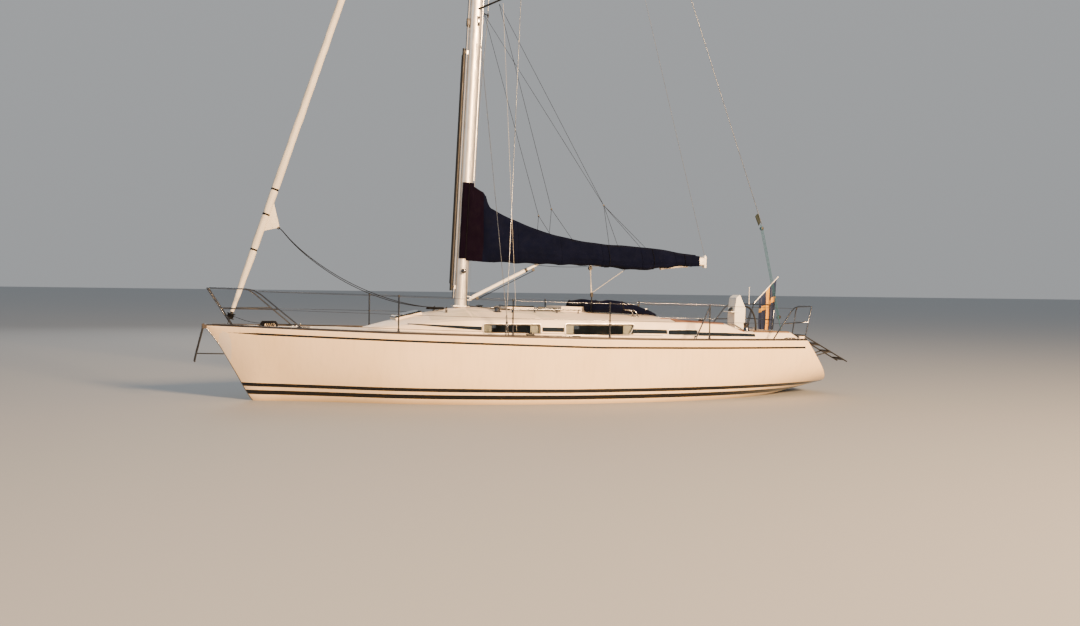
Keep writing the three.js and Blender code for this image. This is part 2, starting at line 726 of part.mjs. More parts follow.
const steps = () => {
  const stringer = [
    [-1720, STEP_FOOT],
    [-1840, STEP_FOOT],
    [-2104, 700],
    [-2104, 900],
    [-2030, 900],
  ];
  const treads = [0, 1, 2, 3].map((i) => {
    const z = STEP_FOOT + 240 * (i + 1);
    const x = -1770 - 68 * (i + 1);
    return block(x + 70, Math.max(x - 70, -2098), -240, 240, z, z + 22);
  });
  return join(profile(stringer, -260, -236), profile(stringer, 236, 260), treads);
};
add("companionway_steps", steps(), FINISH.varnish);
add(
  "engine",
  block(ENGINE.front, ENGINE.back, -ENGINE.half, ENGINE.half, ENGINE.z0, ENGINE.z1),
  FINISH.paintedGrey,
);

// Keel, rudder, drive leg and propeller
const foilRing = (lead, trail, z, thick) => {
  const chord = lead - trail;
  const shape = [
    [0, 0],
    [0.06, 0.62],
    [0.22, 0.98],
    [0.42, 0.95],
    [0.72, 0.5],
    [1, 0.05],
  ];
  const sidePoints = shape.map(([c, t]) => [lead - c * chord, (t * thick) / 2]);
  const at = (x, y) => v(x, y, typeof z === "function" ? z(x) : z);
  return [
    ...sidePoints.map(([x, y]) => at(x, y)),
    ...sidePoints.slice(1).reverse().map(([x, y]) => at(x, -y)),
  ];
};
const KEEL_FOOT_Z = -1950;
// Bulb sections: x, half width, half height
const BULB = [
  [860, 6, 6],
  [780, 95, 60],
  [520, 178, 112],
  [100, 200, 128],
  [-450, 150, 96],
  [-1050, 12, 14],
];
const BULB_Z = -1822;
const keel = () => {
  const fin = loft([
    foilRing(960, -760, -380, 215),
    foilRing(880, -700, -900, 190),
    foilRing(700, -620, -1800, 150),
  ]);
  const bulb = loft(
    BULB.map(([x, w, h]) =>
      Array.from({ length: 12 }, (_, i) => {
        const a = (i / 12) * 2 * Math.PI + Math.PI / 12;
        return v(x, w * Math.cos(a), Math.max(KEEL_FOOT_Z, BULB_Z + h * 1.02 * Math.sin(a)));
      }),
    ),
  );
  const soleCut = block(-1200, 1000, -300, 300, KEEL_FOOT_Z - 200, KEEL_FOOT_Z + 12);
  return cut(join(fin, bulb), belowHull(), soleCut);
};
add("keel", keel(), FINISH.castIron);

const rudderTop = (x) => -205 + (-3900 - x) * 0.205;
const rudder = () =>
  join(
    loft([
      foilRing(-3905, -4560, rudderTop, 92),
      foilRing(-3925, -4545, -700, 84),
      foilRing(-4010, -4470, -1690, 52),
    ]),
    rod(v(RUDDER.x, 0, -400), v(RUDDER.x, 0, RUDDER.top), RUDDER.stock, 24),
  );
add("rudder", rudder(), FINISH.gelcoat);

const DRIVE = { x: -1700, z: -960, back: -1890 };
const xAxis = (shape) => shape.rotateY(-Math.PI / 2); // turned shapes made along +Z now run to -X
const turnedAft = (pairs, x, z, sides) => xAxis(lathe(pairs, sides)).translate(x, 0, z);
const driveLeg = () =>
  cut(
    join(
      loft([foilRing(-1590, -1850, -380, 96), foilRing(-1600, -1830, DRIVE.z, 66)]),
      turnedAft([[0, 0], [42, 30], [60, 110], [58, 240], [44, 330], [0, 330]], DRIVE.back + 330, DRIVE.z, 14),
    ),
    belowHull(),
  );
add("drive_leg", driveLeg(), FINISH.paintedGrey);
const PROP_X = DRIVE.back - 0.6;
const propeller = () => {
  const hub = turnedAft([[0, 0], [44, 0], [46, 60], [30, 110], [0, 130]], PROP_X, DRIVE.z, 14);
  const blades = [0, 1, 2].map((i) => {
    const g = new THREE.SphereGeometry(1, 12, 8).scale(7, 52, 92).translate(0, 0, 118);
    return g
      .applyMatrix4(new THREE.Matrix4().makeRotationZ(0.55))
      .rotateX((i * 2 * Math.PI) / 3)
      .translate(PROP_X - 58, 0, DRIVE.z);
  });
  return join(hub, blades);
};
add("propeller", propeller(), FINISH.bronze);

// Mast and what stands on it. onMast places a shape made with the mast upright at its foot.
const MAST_TILT = -Math.atan(MAST_RAKE);
const onMast = (shape) => shape.rotateY(MAST_TILT).translate(MAST_FOOT.x, 0, MAST_FOOT.z);
const mastPoint = (x, y, up) =>
  v(x, y, up).applyAxisAngle(v(0, 1, 0), MAST_TILT).add(v(MAST_FOOT.x, 0, MAST_FOOT.z));
const MAST_LONG = (MAST_TOP_Z - MAST_FOOT.z) / Math.cos(MAST_TILT);
const oval = (long, across, sides = 16) =>
  new THREE.Shape(
    Array.from({ length: sides }, (_, i) => {
      const a = (i / sides) * 2 * Math.PI;
      return new THREE.Vector2((long / 2) * Math.cos(a), (across / 2) * Math.sin(a));
    }),
  );
const upright = (shape, z0, z1) =>
  new THREE.ExtrudeGeometry(shape, { depth: z1 - z0, bevelEnabled: false }).translate(0, 0, z0);
const GOOSENECK = BOOM.z - MAST_FOOT.z;
const VANG_FOOT = 150;
const PIN_R = 8;
const mastLugs = (up, half) => [
  ...[-1, 1].map((s) =>
    block(-90, -SWING_AFT - 18, -17, 17, up + s * (half + 5) - 4, up + s * (half + 5) + 4),
  ),
  rod(v(-SWING_AFT, 0, up - half - 6), v(-SWING_AFT, 0, up + half + 6), PIN_R, 16),
];
// Spreaders: name, height up the mast, reach out, sweep aft, rise
const SPREADERS = [
  ["lower", 5200, 985, 500, 150],
  ["upper", 9330, 745, 360, 110],
];
const spreaderTip = ([, up, out, sweep, rise], s) =>
  mastPoint(0, 0, up).add(v(-sweep, s * out, rise));
const spreaderBlade = (row, s, grow) => {
  const root = mastPoint(0, 0, row[1]);
  const tip = spreaderTip(row, s);
  const [from, to, r0, r1] = s > 0 ? [root, tip, 34, 20] : [tip, root, 20, 34];
  const length = from.distanceTo(to);
  const g = new THREE.CylinderGeometry(r1 + grow, r0 + grow, length, 12);
  g.scale(1, 1, (13 + grow) / (34 + grow));
  const turn = new THREE.Quaternion().setFromUnitVectors(v(0, 1, 0), to.clone().sub(from).normalize());
  return g.applyQuaternion(turn).translate(...from.clone().add(to).multiplyScalar(0.5).toArray());
};
const HOUNDS = 12780; // where forestay and cap shrouds meet the mast
const SHROUD_FOOT = { x: 985, y: 1500 };
const shroudWires = (s, radius) => {
  const footZ = deckTopZ(SHROUD_FOOT.x, SHROUD_FOOT.y) + GAP;
  const foot = v(SHROUD_FOOT.x, s * SHROUD_FOOT.y, footZ);
  const lowerFoot = foot.clone().add(v(-60, s * -40, 0));
  const [low, high] = SPREADERS.map((row) => spreaderTip(row, s));
  const edge = s * (MAST_ACROSS / 2 + STAY_R + 0.6);
  return join(
    chain([foot, low, high, mastPoint(-20, edge, HOUNDS)], radius, 6),
    rod(lowerFoot, mastPoint(-30, edge, 4980), radius, 6),
    rod(low, mastPoint(-30, edge, 9200), radius, 6),
    block(foot.x - 100, foot.x + 40, foot.y - s * 75, foot.y + s * 25, footZ, footZ + 14),
    rod(foot, low.clone().sub(foot).setLength(330).add(foot), radius + 7, 8),
    rod(lowerFoot, v(foot.x - 40, s * (SHROUD_FOOT.y - 130), footZ + 330), radius + 4, 8),
  );
};
const mast = () => {
  const tube = onMast(upright(oval(MAST_LENGTHWAYS, MAST_ACROSS, 20), 0, MAST_LONG));
  const fittings = [
    block(-160, 150, -100, 100, -7, 14),
    ...mastLugs(GOOSENECK, 41),
    ...mastLugs(VANG_FOOT, 26),
    block(-200, 140, -30, 30, MAST_LONG - 30, MAST_LONG),
    block(90, 150, -20, 20, HOUNDS - 60, HOUNDS + 40),
    block(100, 145, -14, 14, POLE.foot - 30, POLE.foot + 30),
    block(100, 145, -14, 14, POLE.head - 30, POLE.head + 30),
  ].map(onMast);
  const slots = SPREADERS.flatMap((row) => SIDES.map(([, s]) => spreaderBlade(row, s, GAP)));
  return clearOfDeck(cut(join(tube, fittings), slots));
};
const POLE = { foot: 330, head: 4440, off: 186, r: 37 };
add("mast", mast(), FINISH.alloy);
for (const row of SPREADERS)
  add(
    `${row[0]}_spreaders`,
    cut(
      join(SIDES.map(([, s]) => spreaderBlade(row, s, 0))),
      SIDES.map(([, s]) => shroudWires(s, STAY_R + GAP)),
    ),
    FINISH.blackAlloy,
  );
for (const [side, s] of SIDES)
  add(`${side}_shrouds`, clearOfDeck(shroudWires(s, STAY_R)), FINISH.wire);

const spinnakerPole = () => {
  const x = POLE.off;
  return onMast(
    toGeometry(
      join(
        rod(v(x, 0, POLE.foot + 60), v(x, 0, POLE.head - 60), POLE.r, 14),
        ...[POLE.foot, POLE.head].map((z) => rod(v(x, 0, z - 62), v(x, 0, z + 62), 26, 10)),
        ...[POLE.foot, POLE.head].map((z) => block(145 + GAP, x, -12, 12, z - 25, z + 25)),
      ),
    ),
  );
};
add("spinnaker_pole", spinnakerPole(), FINISH.blackAlloy);

// Boom, vang and the covered mainsail swing together about the mast's upright pins
const boomRing = (x, high, wide) => {
  const corner = 0.72;
  const half = [
    [0, -high / 2],
    [(wide / 2) * corner, -high / 2],
    [wide / 2, (-high / 2) * corner],
    [wide / 2, (high / 2) * corner],
    [(wide / 2) * corner, high / 2],
  ];
  return [
    ...half.map(([y, z]) => v(x, y, BOOM.z + z)),
    ...half.slice(1).reverse().map(([y, z]) => v(x, -y, BOOM.z + z)),
  ];
};
const pinX = (up) => mastPoint(-SWING_AFT, 0, up).x;
const barrel = (up, half) =>
  onMast(
    lathe(
      [
        [PIN_R + 0.5, up - half],
        [20, up - half],
        [20, up + half],
        [PIN_R + 0.5, up + half],
        [PIN_R + 0.5, up - half],
      ],
      20,
    ).translate(-SWING_AFT, 0, 0),
  );
const boomShape = (grow) =>
  loft([
    boomRing(pinX(GOOSENECK) - BOOM.front, BOOM.high + 2 * grow, BOOM.wide + 2 * grow),
    boomRing(BOOM.end - grow, BOOM.high + 2 * grow, BOOM.wide + 2 * grow),
  ]);
const VANG_TOP = { x: -70, z: 2384 };
const vangEye = mastPoint(-SWING_AFT, 0, VANG_FOOT);
const boom = () =>
  join(
    boomShape(0),
    cut(
      block(pinX(GOOSENECK) - 14, pinX(GOOSENECK) - BOOM.front - 10, -13, 13, BOOM.z - 27, BOOM.z + 27),
      onMast(rod(v(-SWING_AFT, 0, GOOSENECK - 60), v(-SWING_AFT, 0, GOOSENECK + 60), 15, 16)),
    ),
    barrel(GOOSENECK, 40),
    block(BOOM.end + 10, BOOM.end - 26, -48, 48, BOOM.z - 118, BOOM.z + 92),
    rod(v(BOOM.end - 20, 0, BOOM.z + 60), v(BOOM.end - 60, 0, BOOM.z + 60), 12, 8),
    ...[[-1080, 70], [-1800, 40]].map(([x, drop]) =>
      block(x - 22, x + 22, -12, 12, BOOM.z - BOOM.high / 2 - drop, BOOM.z),
    ),
  );
add("boom", boom(), FINISH.alloy);
const vang = (grow) => {
  const top = v(VANG_TOP.x, 0, VANG_TOP.z - GAP - 26);
  const away = top.clone().sub(vangEye).normalize();
  const start = vangEye.clone().addScaledVector(away, 16);
  const knee = vangEye.clone().lerp(top, 0.82);
  return join(
    rod(start, knee, 31 + grow, 14),
    rod(knee, top, 23 + grow, 14),
    block(VANG_TOP.x - 45, VANG_TOP.x + 45, -20, 20, top.z - 8, VANG_TOP.z - GAP + grow),
  );
};
const vangNode = () =>
  join(
    cut(vang(0), onMast(rod(v(-SWING_AFT, 0, VANG_FOOT - 60), v(-SWING_AFT, 0, VANG_FOOT + 60), 15, 16))),
    barrel(VANG_FOOT, 25),
  );
// The vang's round end stays clear of the lugs above and below it.
const vangClear = () =>
  cut(
    vangNode(),
    ...[-1, 1].map((s) =>
      onMast(block(-60, -SWING_AFT - 30, -60, 60, VANG_FOOT + s * 60 - 34.5, VANG_FOOT + s * 60 + 34.5)),
    ),
  );
add("boom_vang", vangClear(), FINISH.whiteCast);

// Sail cover: x, bottom, top, half width
const COVER = [
  [985, 2400, 3590, 60],
  [945, 2396, 3570, 84],
  [885, 2394, 3375, 104],
  [600, 2384, 3275, 124],
  [280, 2376, 3190, 142],
  [-480, 2366, 2890, 160],
  [-1260, 2352, 2725, 164],
  [-2060, 2296, 2690, 150],
  [-2500, 2320, 2655, 130],
  [-2880, 2360, 2600, 106],
  [-3260, 2376, 2562, 70],
];
const coverRing = ([x, bottom, top, half]) => {
  const high = top - bottom;
  const boomShare = Math.min(0.8, 230 / high);
  const side = [
    [0.55, 0],
    [0.95, boomShare * 0.25],
    [1, boomShare * 0.62],
    [0.86, boomShare],
    [0.5, boomShare + (1 - boomShare) * 0.45],
    [0.3, boomShare + (1 - boomShare) * 0.86],
  ];
  return [
    ...side.map(([w, h]) => v(x, w * half, bottom + h * high)),
    v(x, 0, top),
    ...side.reverse().map(([w, h]) => v(x, -w * half, bottom + h * high)),
  ];
};
const sailCover = () =>
  cut(
    loft(COVER.map(coverRing)),
    boomShape(GAP),
    block(-150, 10, -34, 34, 2300, 2390),
    block(-1110, -1050, -20, 20, 2200, 2390),
    block(-1830, -1770, -20, 20, 2200, 2390),
  );
add("sail_cover", sailCover(), FINISH.darkCanvas);
const COLLAR = { low: 838, high: 2160, thick: 16 };
const mastCover = () => {
  const outer = onMast(
    upright(
      oval(MAST_LENGTHWAYS + 2 * COLLAR.thick, MAST_ACROSS + 2 * COLLAR.thick, 20),
      COLLAR.low,
      COLLAR.high,
    ),
  );
  const inner = onMast(
    upright(oval(MAST_LENGTHWAYS + 2 * GAP, MAST_ACROSS + 2 * GAP, 20), COLLAR.low - 10, COLLAR.high + 10),
  );
  const poleWay = onMast(block(100, 300, -60, 60, COLLAR.low - 10, COLLAR.high + 10));
  const neck = onMast(block(-30, -300, -120, 120, COLLAR.low - 20, GOOSENECK + 130));
  return cut(outer, inner, poleWay, neck);
};
add("mast_cover", mastCover(), FINISH.darkCanvas);

// Mainsheet block on its post and track, on the hood over the hatch
const SHEET_X = -1115;
const mainsheetTrack = () => {
  const top = hoodTop(SHEET_X);
  return join(
    onRoof(block(-20, 20, -370, 370, SEAHOOD.high + GAP, SEAHOOD.high + 22), HOOD_X).translate(
      SHEET_X - HOOD_X, 0, roofSlope(HOOD_X) * (SHEET_X - HOOD_X),
    ),
    block(SHEET_X - 34, SHEET_X + 34, -40, 40, top + 12, top + 42),
    rod(v(SHEET_X, 0, top + 30), v(SHEET_X, 0, 1800), 12, 10),
    block(SHEET_X - 24, SHEET_X + 24, -14, 14, 1780, 1862),
  );
};
add("mainsheet_track", mainsheetTrack(), FINISH.blackPlastic);

// Forestay with its furler, and the rolled headsail round it
const STAY_FOOT = { x: 5318, z: 1265.4 };
const stayHead = mastPoint(MAST_LENGTHWAYS / 2 + 36 + 8, 0, HOUNDS);
const stayDir = stayHead.clone().sub(v(STAY_FOOT.x, 0, STAY_FOOT.z)).normalize();
const onStay = (shape) => {
  const turn = new THREE.Quaternion().setFromUnitVectors(v(0, 0, 1), stayDir);
  return shape.applyQuaternion(turn).translate(STAY_FOOT.x, 0, STAY_FOOT.z);
};
const STAY_LONG = stayHead.distanceTo(v(STAY_FOOT.x, 0, STAY_FOOT.z));
const FOIL_R = 11;
const forestay = () =>
  join(
    onStay(lathe([[0, 60], [FOIL_R, 60], [FOIL_R, STAY_LONG - 300], [0, STAY_LONG - 300]], 12)),
    onStay(lathe([[0, 0], [6, 0], [6, STAY_LONG - 2], [0, STAY_LONG - 2]], 8)),
    onStay(lathe([[0, 95], [70, 95], [74, 105], [48, 112], [48, 168], [74, 176], [66, 186], [0, 190]], 18)),
  );
add("forestay", forestay(), FINISH.blackAlloy);
// Rolled sail: distance along the stay, radius
const ROLL = [
  [300, 24],
  [520, 44],
  [1100, 58],
  [2300, 64],
  [4500, 61],
  [8000, 50],
  [11200, 34],
  [12300, 22],
];
const CLEW = { x: 4492, z: 2878 };
const furledSail = () => {
  const bore = FOIL_R + 0.6;
  const start = ROLL[0][0];
  const end = ROLL[ROLL.length - 1][0];
  const roll = onStay(
    lathe([[bore, start], ...ROLL.map(([s, r]) => [r, s]), [bore, end], [bore, start]], 14),
  );
  const stayX = (z) => STAY_FOOT.x + (stayDir.x / stayDir.z) * (z - STAY_FOOT.z);
  const flap = profile(
    [
      [stayX(2790) - 30, 2790],
      [CLEW.x, CLEW.z - 14],
      [CLEW.x - 6, CLEW.z + 22],
      [stayX(3400) - 30, 3400],
    ],
    -5,
    5,
  );
  return join(roll, flap);
};
add("furled_headsail", furledSail(), FINISH.sailcloth);

// Backstay and its tackle
const BACKSTAY = { blockX: -4600, blockZ: 3130, footX: -5085 };
const backstayFootZ = deckTopZ(BACKSTAY.footX, 0) + GAP;
const backstayTop = () => mastPoint(-204.7, 0, MAST_LONG - 15);
add(
  "backstay",
  rod(backstayTop(), v(BACKSTAY.blockX, 0, BACKSTAY.blockZ + 75), STAY_R, 8),
  FINISH.wire,
);
const backstayTackle = () => {
  const foot = v(BACKSTAY.footX, 0, backstayFootZ);
  const head = v(BACKSTAY.blockX, 0, BACKSTAY.blockZ);
  const lower = foot.clone().lerp(head, 0.17);
  const part = (from, along, i) => from.clone().add(v(-along * i, i * 18, 0));
  return join(
    block(foot.x - 45, foot.x + 45, -22, 22, foot.z, foot.z + 12),
    rod(foot, lower, 8, 8),
    rod(lower.clone().add(v(0, -26, 0)), lower.clone().add(v(0, 26, 0)), 34, 12),
    rod(head.clone().add(v(0, -26, 0)), head.clone().add(v(0, 26, 0)), 34, 12),
    ...[-1, 0, 1].map((i) => rod(part(lower, 10, i), part(head, 14, i), 5, 6)),
    rod(head, head.clone().add(v(22, 0, 74)), 7, 8),
  );
};
add("backstay_tackle", clearOfDeck(backstayTackle()), FINISH.rope);

// Guardrails: stanchions with their two wires, from the pulpit to the pushpit
const PULPIT = {
  footFront: [5235, 150],
  bend: [5640, 240, 1858],
  railBack: [4940, 500, 1848],
  footBack: [4172, 640],
};
const STANCHIONS = [
  [2730, 1260],
  [890, 1575],
  [-800, 1655],
  [-2735, 1530],
];
const GATE_BRACE = [-2455, 1540];
const PUSHPIT = {
  brace: [-4110, 1330],
  braceTop: [-4570, 1275, 1652],
  corner: [-5060, 1075, 1662],
  foot: [-4905, 1110],
  inner: [-5150, 405, 1652],
  innerFoot: [-5070, 388],
};
const onDeck = (x, y, s) => v(x, s * y, deckTopZ(x, y) + GAP);
const side3 = ([x, y, z], s) => v(x, s * y, z);
const guardrail = (s) => {
  const posts = STANCHIONS.map(([x, y]) => {
    const foot = onDeck(x, y, s);
    return join(
      rod(foot, foot.clone().add(v(0, 0, LIFELINE_HIGH + 12)), STANCHION_R, 10),
      rod(foot, foot.clone().add(v(0, 0, 46)), 24, 10),
    );
  });
  const gateTop = onDeck(...STANCHIONS[3], s).add(v(0, 0, LIFELINE_HIGH - 8));
  const gate = [
    rod(onDeck(...GATE_BRACE, s), gateTop, STANCHION_R, 10),
    rod(onDeck(...GATE_BRACE, s), onDeck(...GATE_BRACE, s).add(v(-8, 0, 30)), 22, 10),
  ];
  const line = (up, front, back) => {
    const points = STANCHIONS.map(([x, y]) => onDeck(x, y, s).add(v(0, 0, up)));
    return chain([front, ...points, back], WIRE_R, 6);
  };
  const legAt = (t) => {
    const top = side3(PULPIT.railBack, s);
    return top.clone().lerp(onDeck(...PULPIT.footBack, s), t);
  };
  const braceAt = (t) => side3(PUSHPIT.braceTop, s).lerp(onDeck(...PUSHPIT.brace, s), t);
  // A wire's end stops short of the tube it is made fast to, whose axis runs along tube.
  const clear = (point, toward, tube) => {
    const away = toward.clone().sub(point).normalize();
    const cosine = Math.abs(away.dot(tube.clone().normalize()));
    const sine = Math.sqrt(1 - cosine * cosine);
    return point.clone().addScaledVector(away, (STANCHION_R + 0.5 + WIRE_R * cosine) / sine);
  };
  const legLine = side3(PULPIT.railBack, s).sub(onDeck(...PULPIT.footBack, s));
  const braceLine = side3(PUSHPIT.braceTop, s).sub(onDeck(...PUSHPIT.brace, s));
  const first = onDeck(...STANCHIONS[0], s);
  const last = onDeck(...STANCHIONS[3], s);
  const ends = [LIFELINE_HIGH, LIFELINE_LOW].map((up, i) => {
    const front = legAt([0.06, 0.52][i]);
    const back = braceAt([0.05, 0.5][i]);
    const wireStart = clear(front, first.clone().add(v(0, 0, up)), legLine);
    const wireEnd = clear(back, last.clone().add(v(0, 0, up)), braceLine);
    return line(up, wireStart, wireEnd);
  });
  return join(posts, gate, ends);
};
for (const [side, s] of SIDES) add(`${side}_guardrail`, clearOfDeck(guardrail(s)), FINISH.steel);

const bend = (points, r) => points.flatMap((p, i) => {
  if (i === 0 || i === points.length - 1) return [p];
  const before = p.clone().lerp(points[i - 1], Math.min(0.45, r / p.distanceTo(points[i - 1])));
  const after = p.clone().lerp(points[i + 1], Math.min(0.45, r / p.distanceTo(points[i + 1])));
  const middle = before.clone().add(after).multiplyScalar(0.25).addScaledVector(p, 0.5);
  return [before, middle, after];
});
const pulpit = () => {
  const halfPath = (s) => [
    onDeck(...PULPIT.footBack, s),
    side3(PULPIT.railBack, s),
    side3(PULPIT.bend, s),
  ];
  const [port, starboard] = [halfPath(1), halfPath(-1)];
  const hoop = chain(bend([...port, ...starboard.reverse()], 130), STANCHION_R, 8);
  const front = (s) => {
    const deckFoot = onDeck(...PULPIT.footFront, s);
    return [
      rod(deckFoot, side3(PULPIT.bend, s), STANCHION_R, 8),
      rod(deckFoot, deckFoot.clone().add(v(6, 0, 22)), 24, 8),
      rod(onDeck(...PULPIT.footBack, s), onDeck(...PULPIT.footBack, s).add(v(6, 0, 24)), 24, 8),
      rod(
        deckFoot.clone().lerp(side3(PULPIT.bend, s), 0.47),
        side3(PULPIT.railBack, s).lerp(onDeck(...PULPIT.footBack, s), 0.5),
        STANCHION_R - 1.5,
        6,
      ),
    ];
  };
  return join(hoop, front(1), front(-1));
};
add("pulpit", clearOfDeck(pulpit()), FINISH.steel);
const pushpit = (s) => {
  const P = PUSHPIT;
  const path = [
    onDeck(...P.brace, s),
    side3(P.braceTop, s),
    side3(P.corner, s),
    side3(P.inner, s),
    onDeck(...P.innerFoot, s),
  ];
  const cornerFoot = onDeck(...P.foot, s);
  const mid = [
    side3(P.braceTop, s).lerp(onDeck(...P.brace, s), 0.5),
    side3(P.corner, s).lerp(cornerFoot, 0.47),
    side3(P.inner, s).lerp(onDeck(...P.innerFoot, s), 0.5),
  ];
  const feet = [onDeck(...P.brace, s), cornerFoot, onDeck(...P.innerFoot, s)];
  return join(
    chain(bend(path, 110), STANCHION_R, 8),
    rod(side3(P.corner, s), cornerFoot, STANCHION_R, 8),
    chain(mid, STANCHION_R - 1.5, 6),
    feet.map((f) => rod(f, f.clone().add(v(0, 0, 20)), 24, 8)),
  );
};
for (const [side, s] of SIDES) add(`${side}_pushpit`, clearOfDeck(pushpit(s)), FINISH.steel);

// Folded sprayhood, a horseshoe round the hatch: x, y, bottom, height, half width
const roofAt = (x, y) => {
  const ring = roofRing(readTable(ROOF_SECTIONS, x), 0).slice(0, 7);
  for (let i = 0; i < ring.length - 1; i++) {
    const [a, b] = [ring[i], ring[i + 1]];
    if (y <= a.y && y >= b.y) return a.z + ((a.y - y) / (a.y - b.y)) * (b.z - a.z);
  }
  return ring[6].z;
};
const HOOD_ROLL = [
  [-2120, 600, 36, 40],
  [-1980, 610, 90, 70],
  [-1700, 620, 170, 95],
  [-1350, 620, 205, 105],
  [-1050, 600, 215, 110],
  [-860, 520, 205, 100],
  [-770, 380, 150, 88],
  [-740, 180, 118, 80],
  [-735, 0, 112, 80],
];
const sprayhood = () => {
  const rows = [
    ...HOOD_ROLL.map((row) => [...row, 1]),
    ...HOOD_ROLL.slice(0, -1).reverse().map((row) => [...row, -1]),
  ];
  const centre = rows.map(([x, y, , , s]) => v(x, s * y, 0));
  return loft(
    rows.map(([x, y, high, half], i) => {
      const before = centre[Math.max(0, i - 1)];
      const after = centre[Math.min(rows.length - 1, i + 1)];
      const along = after.clone().sub(before).normalize();
      const across = v(-along.y, along.x, 0);
      const under = (px, py) => {
        const hood = Math.abs(py) < SEAHOOD.half + 25 && px < HOOD_X + SEAHOOD.reach + 25;
        return hood ? hoodTop(Math.max(px, HOOD_X - SEAHOOD.reach)) : roofAt(px, Math.abs(py));
      };
      const low = Math.max(
        ...[-1, -0.5, 0, 0.5, 1].map((k) => {
          const p = centre[i].clone().addScaledVector(across, k * half);
          return under(p.x, p.y);
        }),
      );
      return Array.from({ length: 10 }, (_, k) => {
        const a = (k / 10) * 2 * Math.PI;
        const p = centre[i].clone().addScaledVector(across, half * Math.cos(a));
        return v(p.x, p.y, low + 2 + high / 2 + (high / 2) * Math.max(-0.92, Math.sin(a)));
      });
    }),
  );
};
const sprayhoodClear = () =>
  cut(sprayhood(), block(SHEET_X - 50, SHEET_X + 50, -400, 400, 1590, 1900));
add("sprayhood", clearOfDeck(sprayhoodClear()), FINISH.darkCanvas);

// Steering pedestal and wheel
const HELM = { front: -4000, back: -4190, half: 95, hubZ: 1235, wheelX: -4262, r: 390 };
const pedestal = () =>
  join(
    block(HELM.front - 10, HELM.back + 10, -HELM.half, HELM.half, FOOTWELL.sole + GAP, 1300),
    profile(
      [
        [-3975, 1290],
        [-4195, 1180],
        [-4205, 1600],
        [-4085, 1850],
        [-4010, 1800],
        [-3975, 1560],
      ],
      -140,
      140,
    ),
    block(-3890, -4060, -150, 150, 1520, 1538),
    rod(v(-4180, 0, HELM.hubZ), v(HELM.wheelX + 0.6, 0, HELM.hubZ), 20, 16),
  );
add("steering_pedestal", pedestal(), FINISH.whiteCast);
const wheel = () => {
  const rim = new THREE.TorusGeometry(HELM.r, 14, 8, 36).rotateY(Math.PI / 2);
  const spokes = Array.from({ length: 6 }, (_, i) => {
    const a = (i / 6) * 2 * Math.PI;
    return rod(v(0, 0, 0), v(0, (HELM.r - 4) * Math.cos(a), (HELM.r - 4) * Math.sin(a)), 7, 8);
  });
  const hub = rod(v(28, 0, 0), v(-28, 0, 0), 42, 16);
  return toGeometry(join(rim, spokes, hub)).translate(HELM.wheelX - 28, 0, HELM.hubZ);
};
add("steering_wheel", wheel(), FINISH.steel);

// Winches on the coamings: radius, height
const WINCH = { x: -3800, y: 905 };
const WINCH_PROFILE = [
  [0, 0],
  [66, 0],
  [66, 34],
  [46, 44],
  [42, 86],
  [44, 118],
  [60, 126],
  [60, 150],
  [34, 160],
  [0, 160],
];
for (const [side, s] of SIDES) {
  const z = roofAt(WINCH.x, WINCH.y) + 1.9;
  add(
    `${side}_winch`,
    lathe(WINCH_PROFILE, 18).translate(WINCH.x, s * WINCH.y, z),
    FINISH.steel,
  );
}

// Flagstaff on the starboard quarter, and the ensign hanging from it
const STAFF = { foot: [-5062, -1076, 1668.9], head: [-5607, -1076, 2212] };
const flagstaff = () => {
  const [foot, head] = [v(...STAFF.foot), v(...STAFF.head)];
  return join(rod(foot, head, 13, 10, 9), ball(head, 17, 10));
};
add("flagstaff", flagstaff(), FINISH.varnish);
const staffAt = (t) => v(...STAFF.foot).lerp(v(...STAFF.head), t);
const ensign = () => {
  const high = staffAt(0.94).add(v(-6, 0, -12.4));
  const low = staffAt(0.2).add(v(-6, 0, -12.4));
  const half = 34;
  const ring = (y) => [
    v(high.x, y, high.z),
    v(low.x, y, low.z),
    v(low.x - 40, y, low.z - 300),
    v(low.x - 90, y, 1085),
    v(low.x - 300, y, 1075),
    v(high.x + 30, y, low.z - 60),
  ];
  return loft([1, -1].map((s) => ring(STAFF.foot[1] + s * half)));
};
add("ensign", ensign(), FINISH.flag);

// Ladders
const STEM_AT_BAR = 5369; // where the ladder's stand-off bar meets the stem
const bowLadder = () => {
  const { x, z, half, barrel } = BOW_LADDER;
  const stile = (s) => [
    rod(v(x, s * half, z + 8), v(x + 105, s * half, z - 420), 11, 8),
    rod(v(x + 105, s * half, z - 420), v(x + 130, s * half, z - 545), 11, 8),
  ];
  const rungs = [0.36, 0.72, 1].map((t) =>
    rod(v(x + 105 * t, -half, z - 428 * t + 8), v(x + 105 * t, half, z - 428 * t + 8), 14, 8),
  );
  const loop = rod(v(x + 130, -half - 6, z - 545), v(x + 130, half + 6, z - 545), 14, 8);
  const hinge = rod(v(x, -barrel, z), v(x, barrel, z), 12, 12);
  const standOff = rod(v(x + 100, 0, z - 420), v(STEM_AT_BAR, 0, z - 430), 10, 8);
  return join(stile(1), stile(-1), rungs, loop, hinge, standOff);
};
add("bow_ladder", bowLadder(), FINISH.steel);

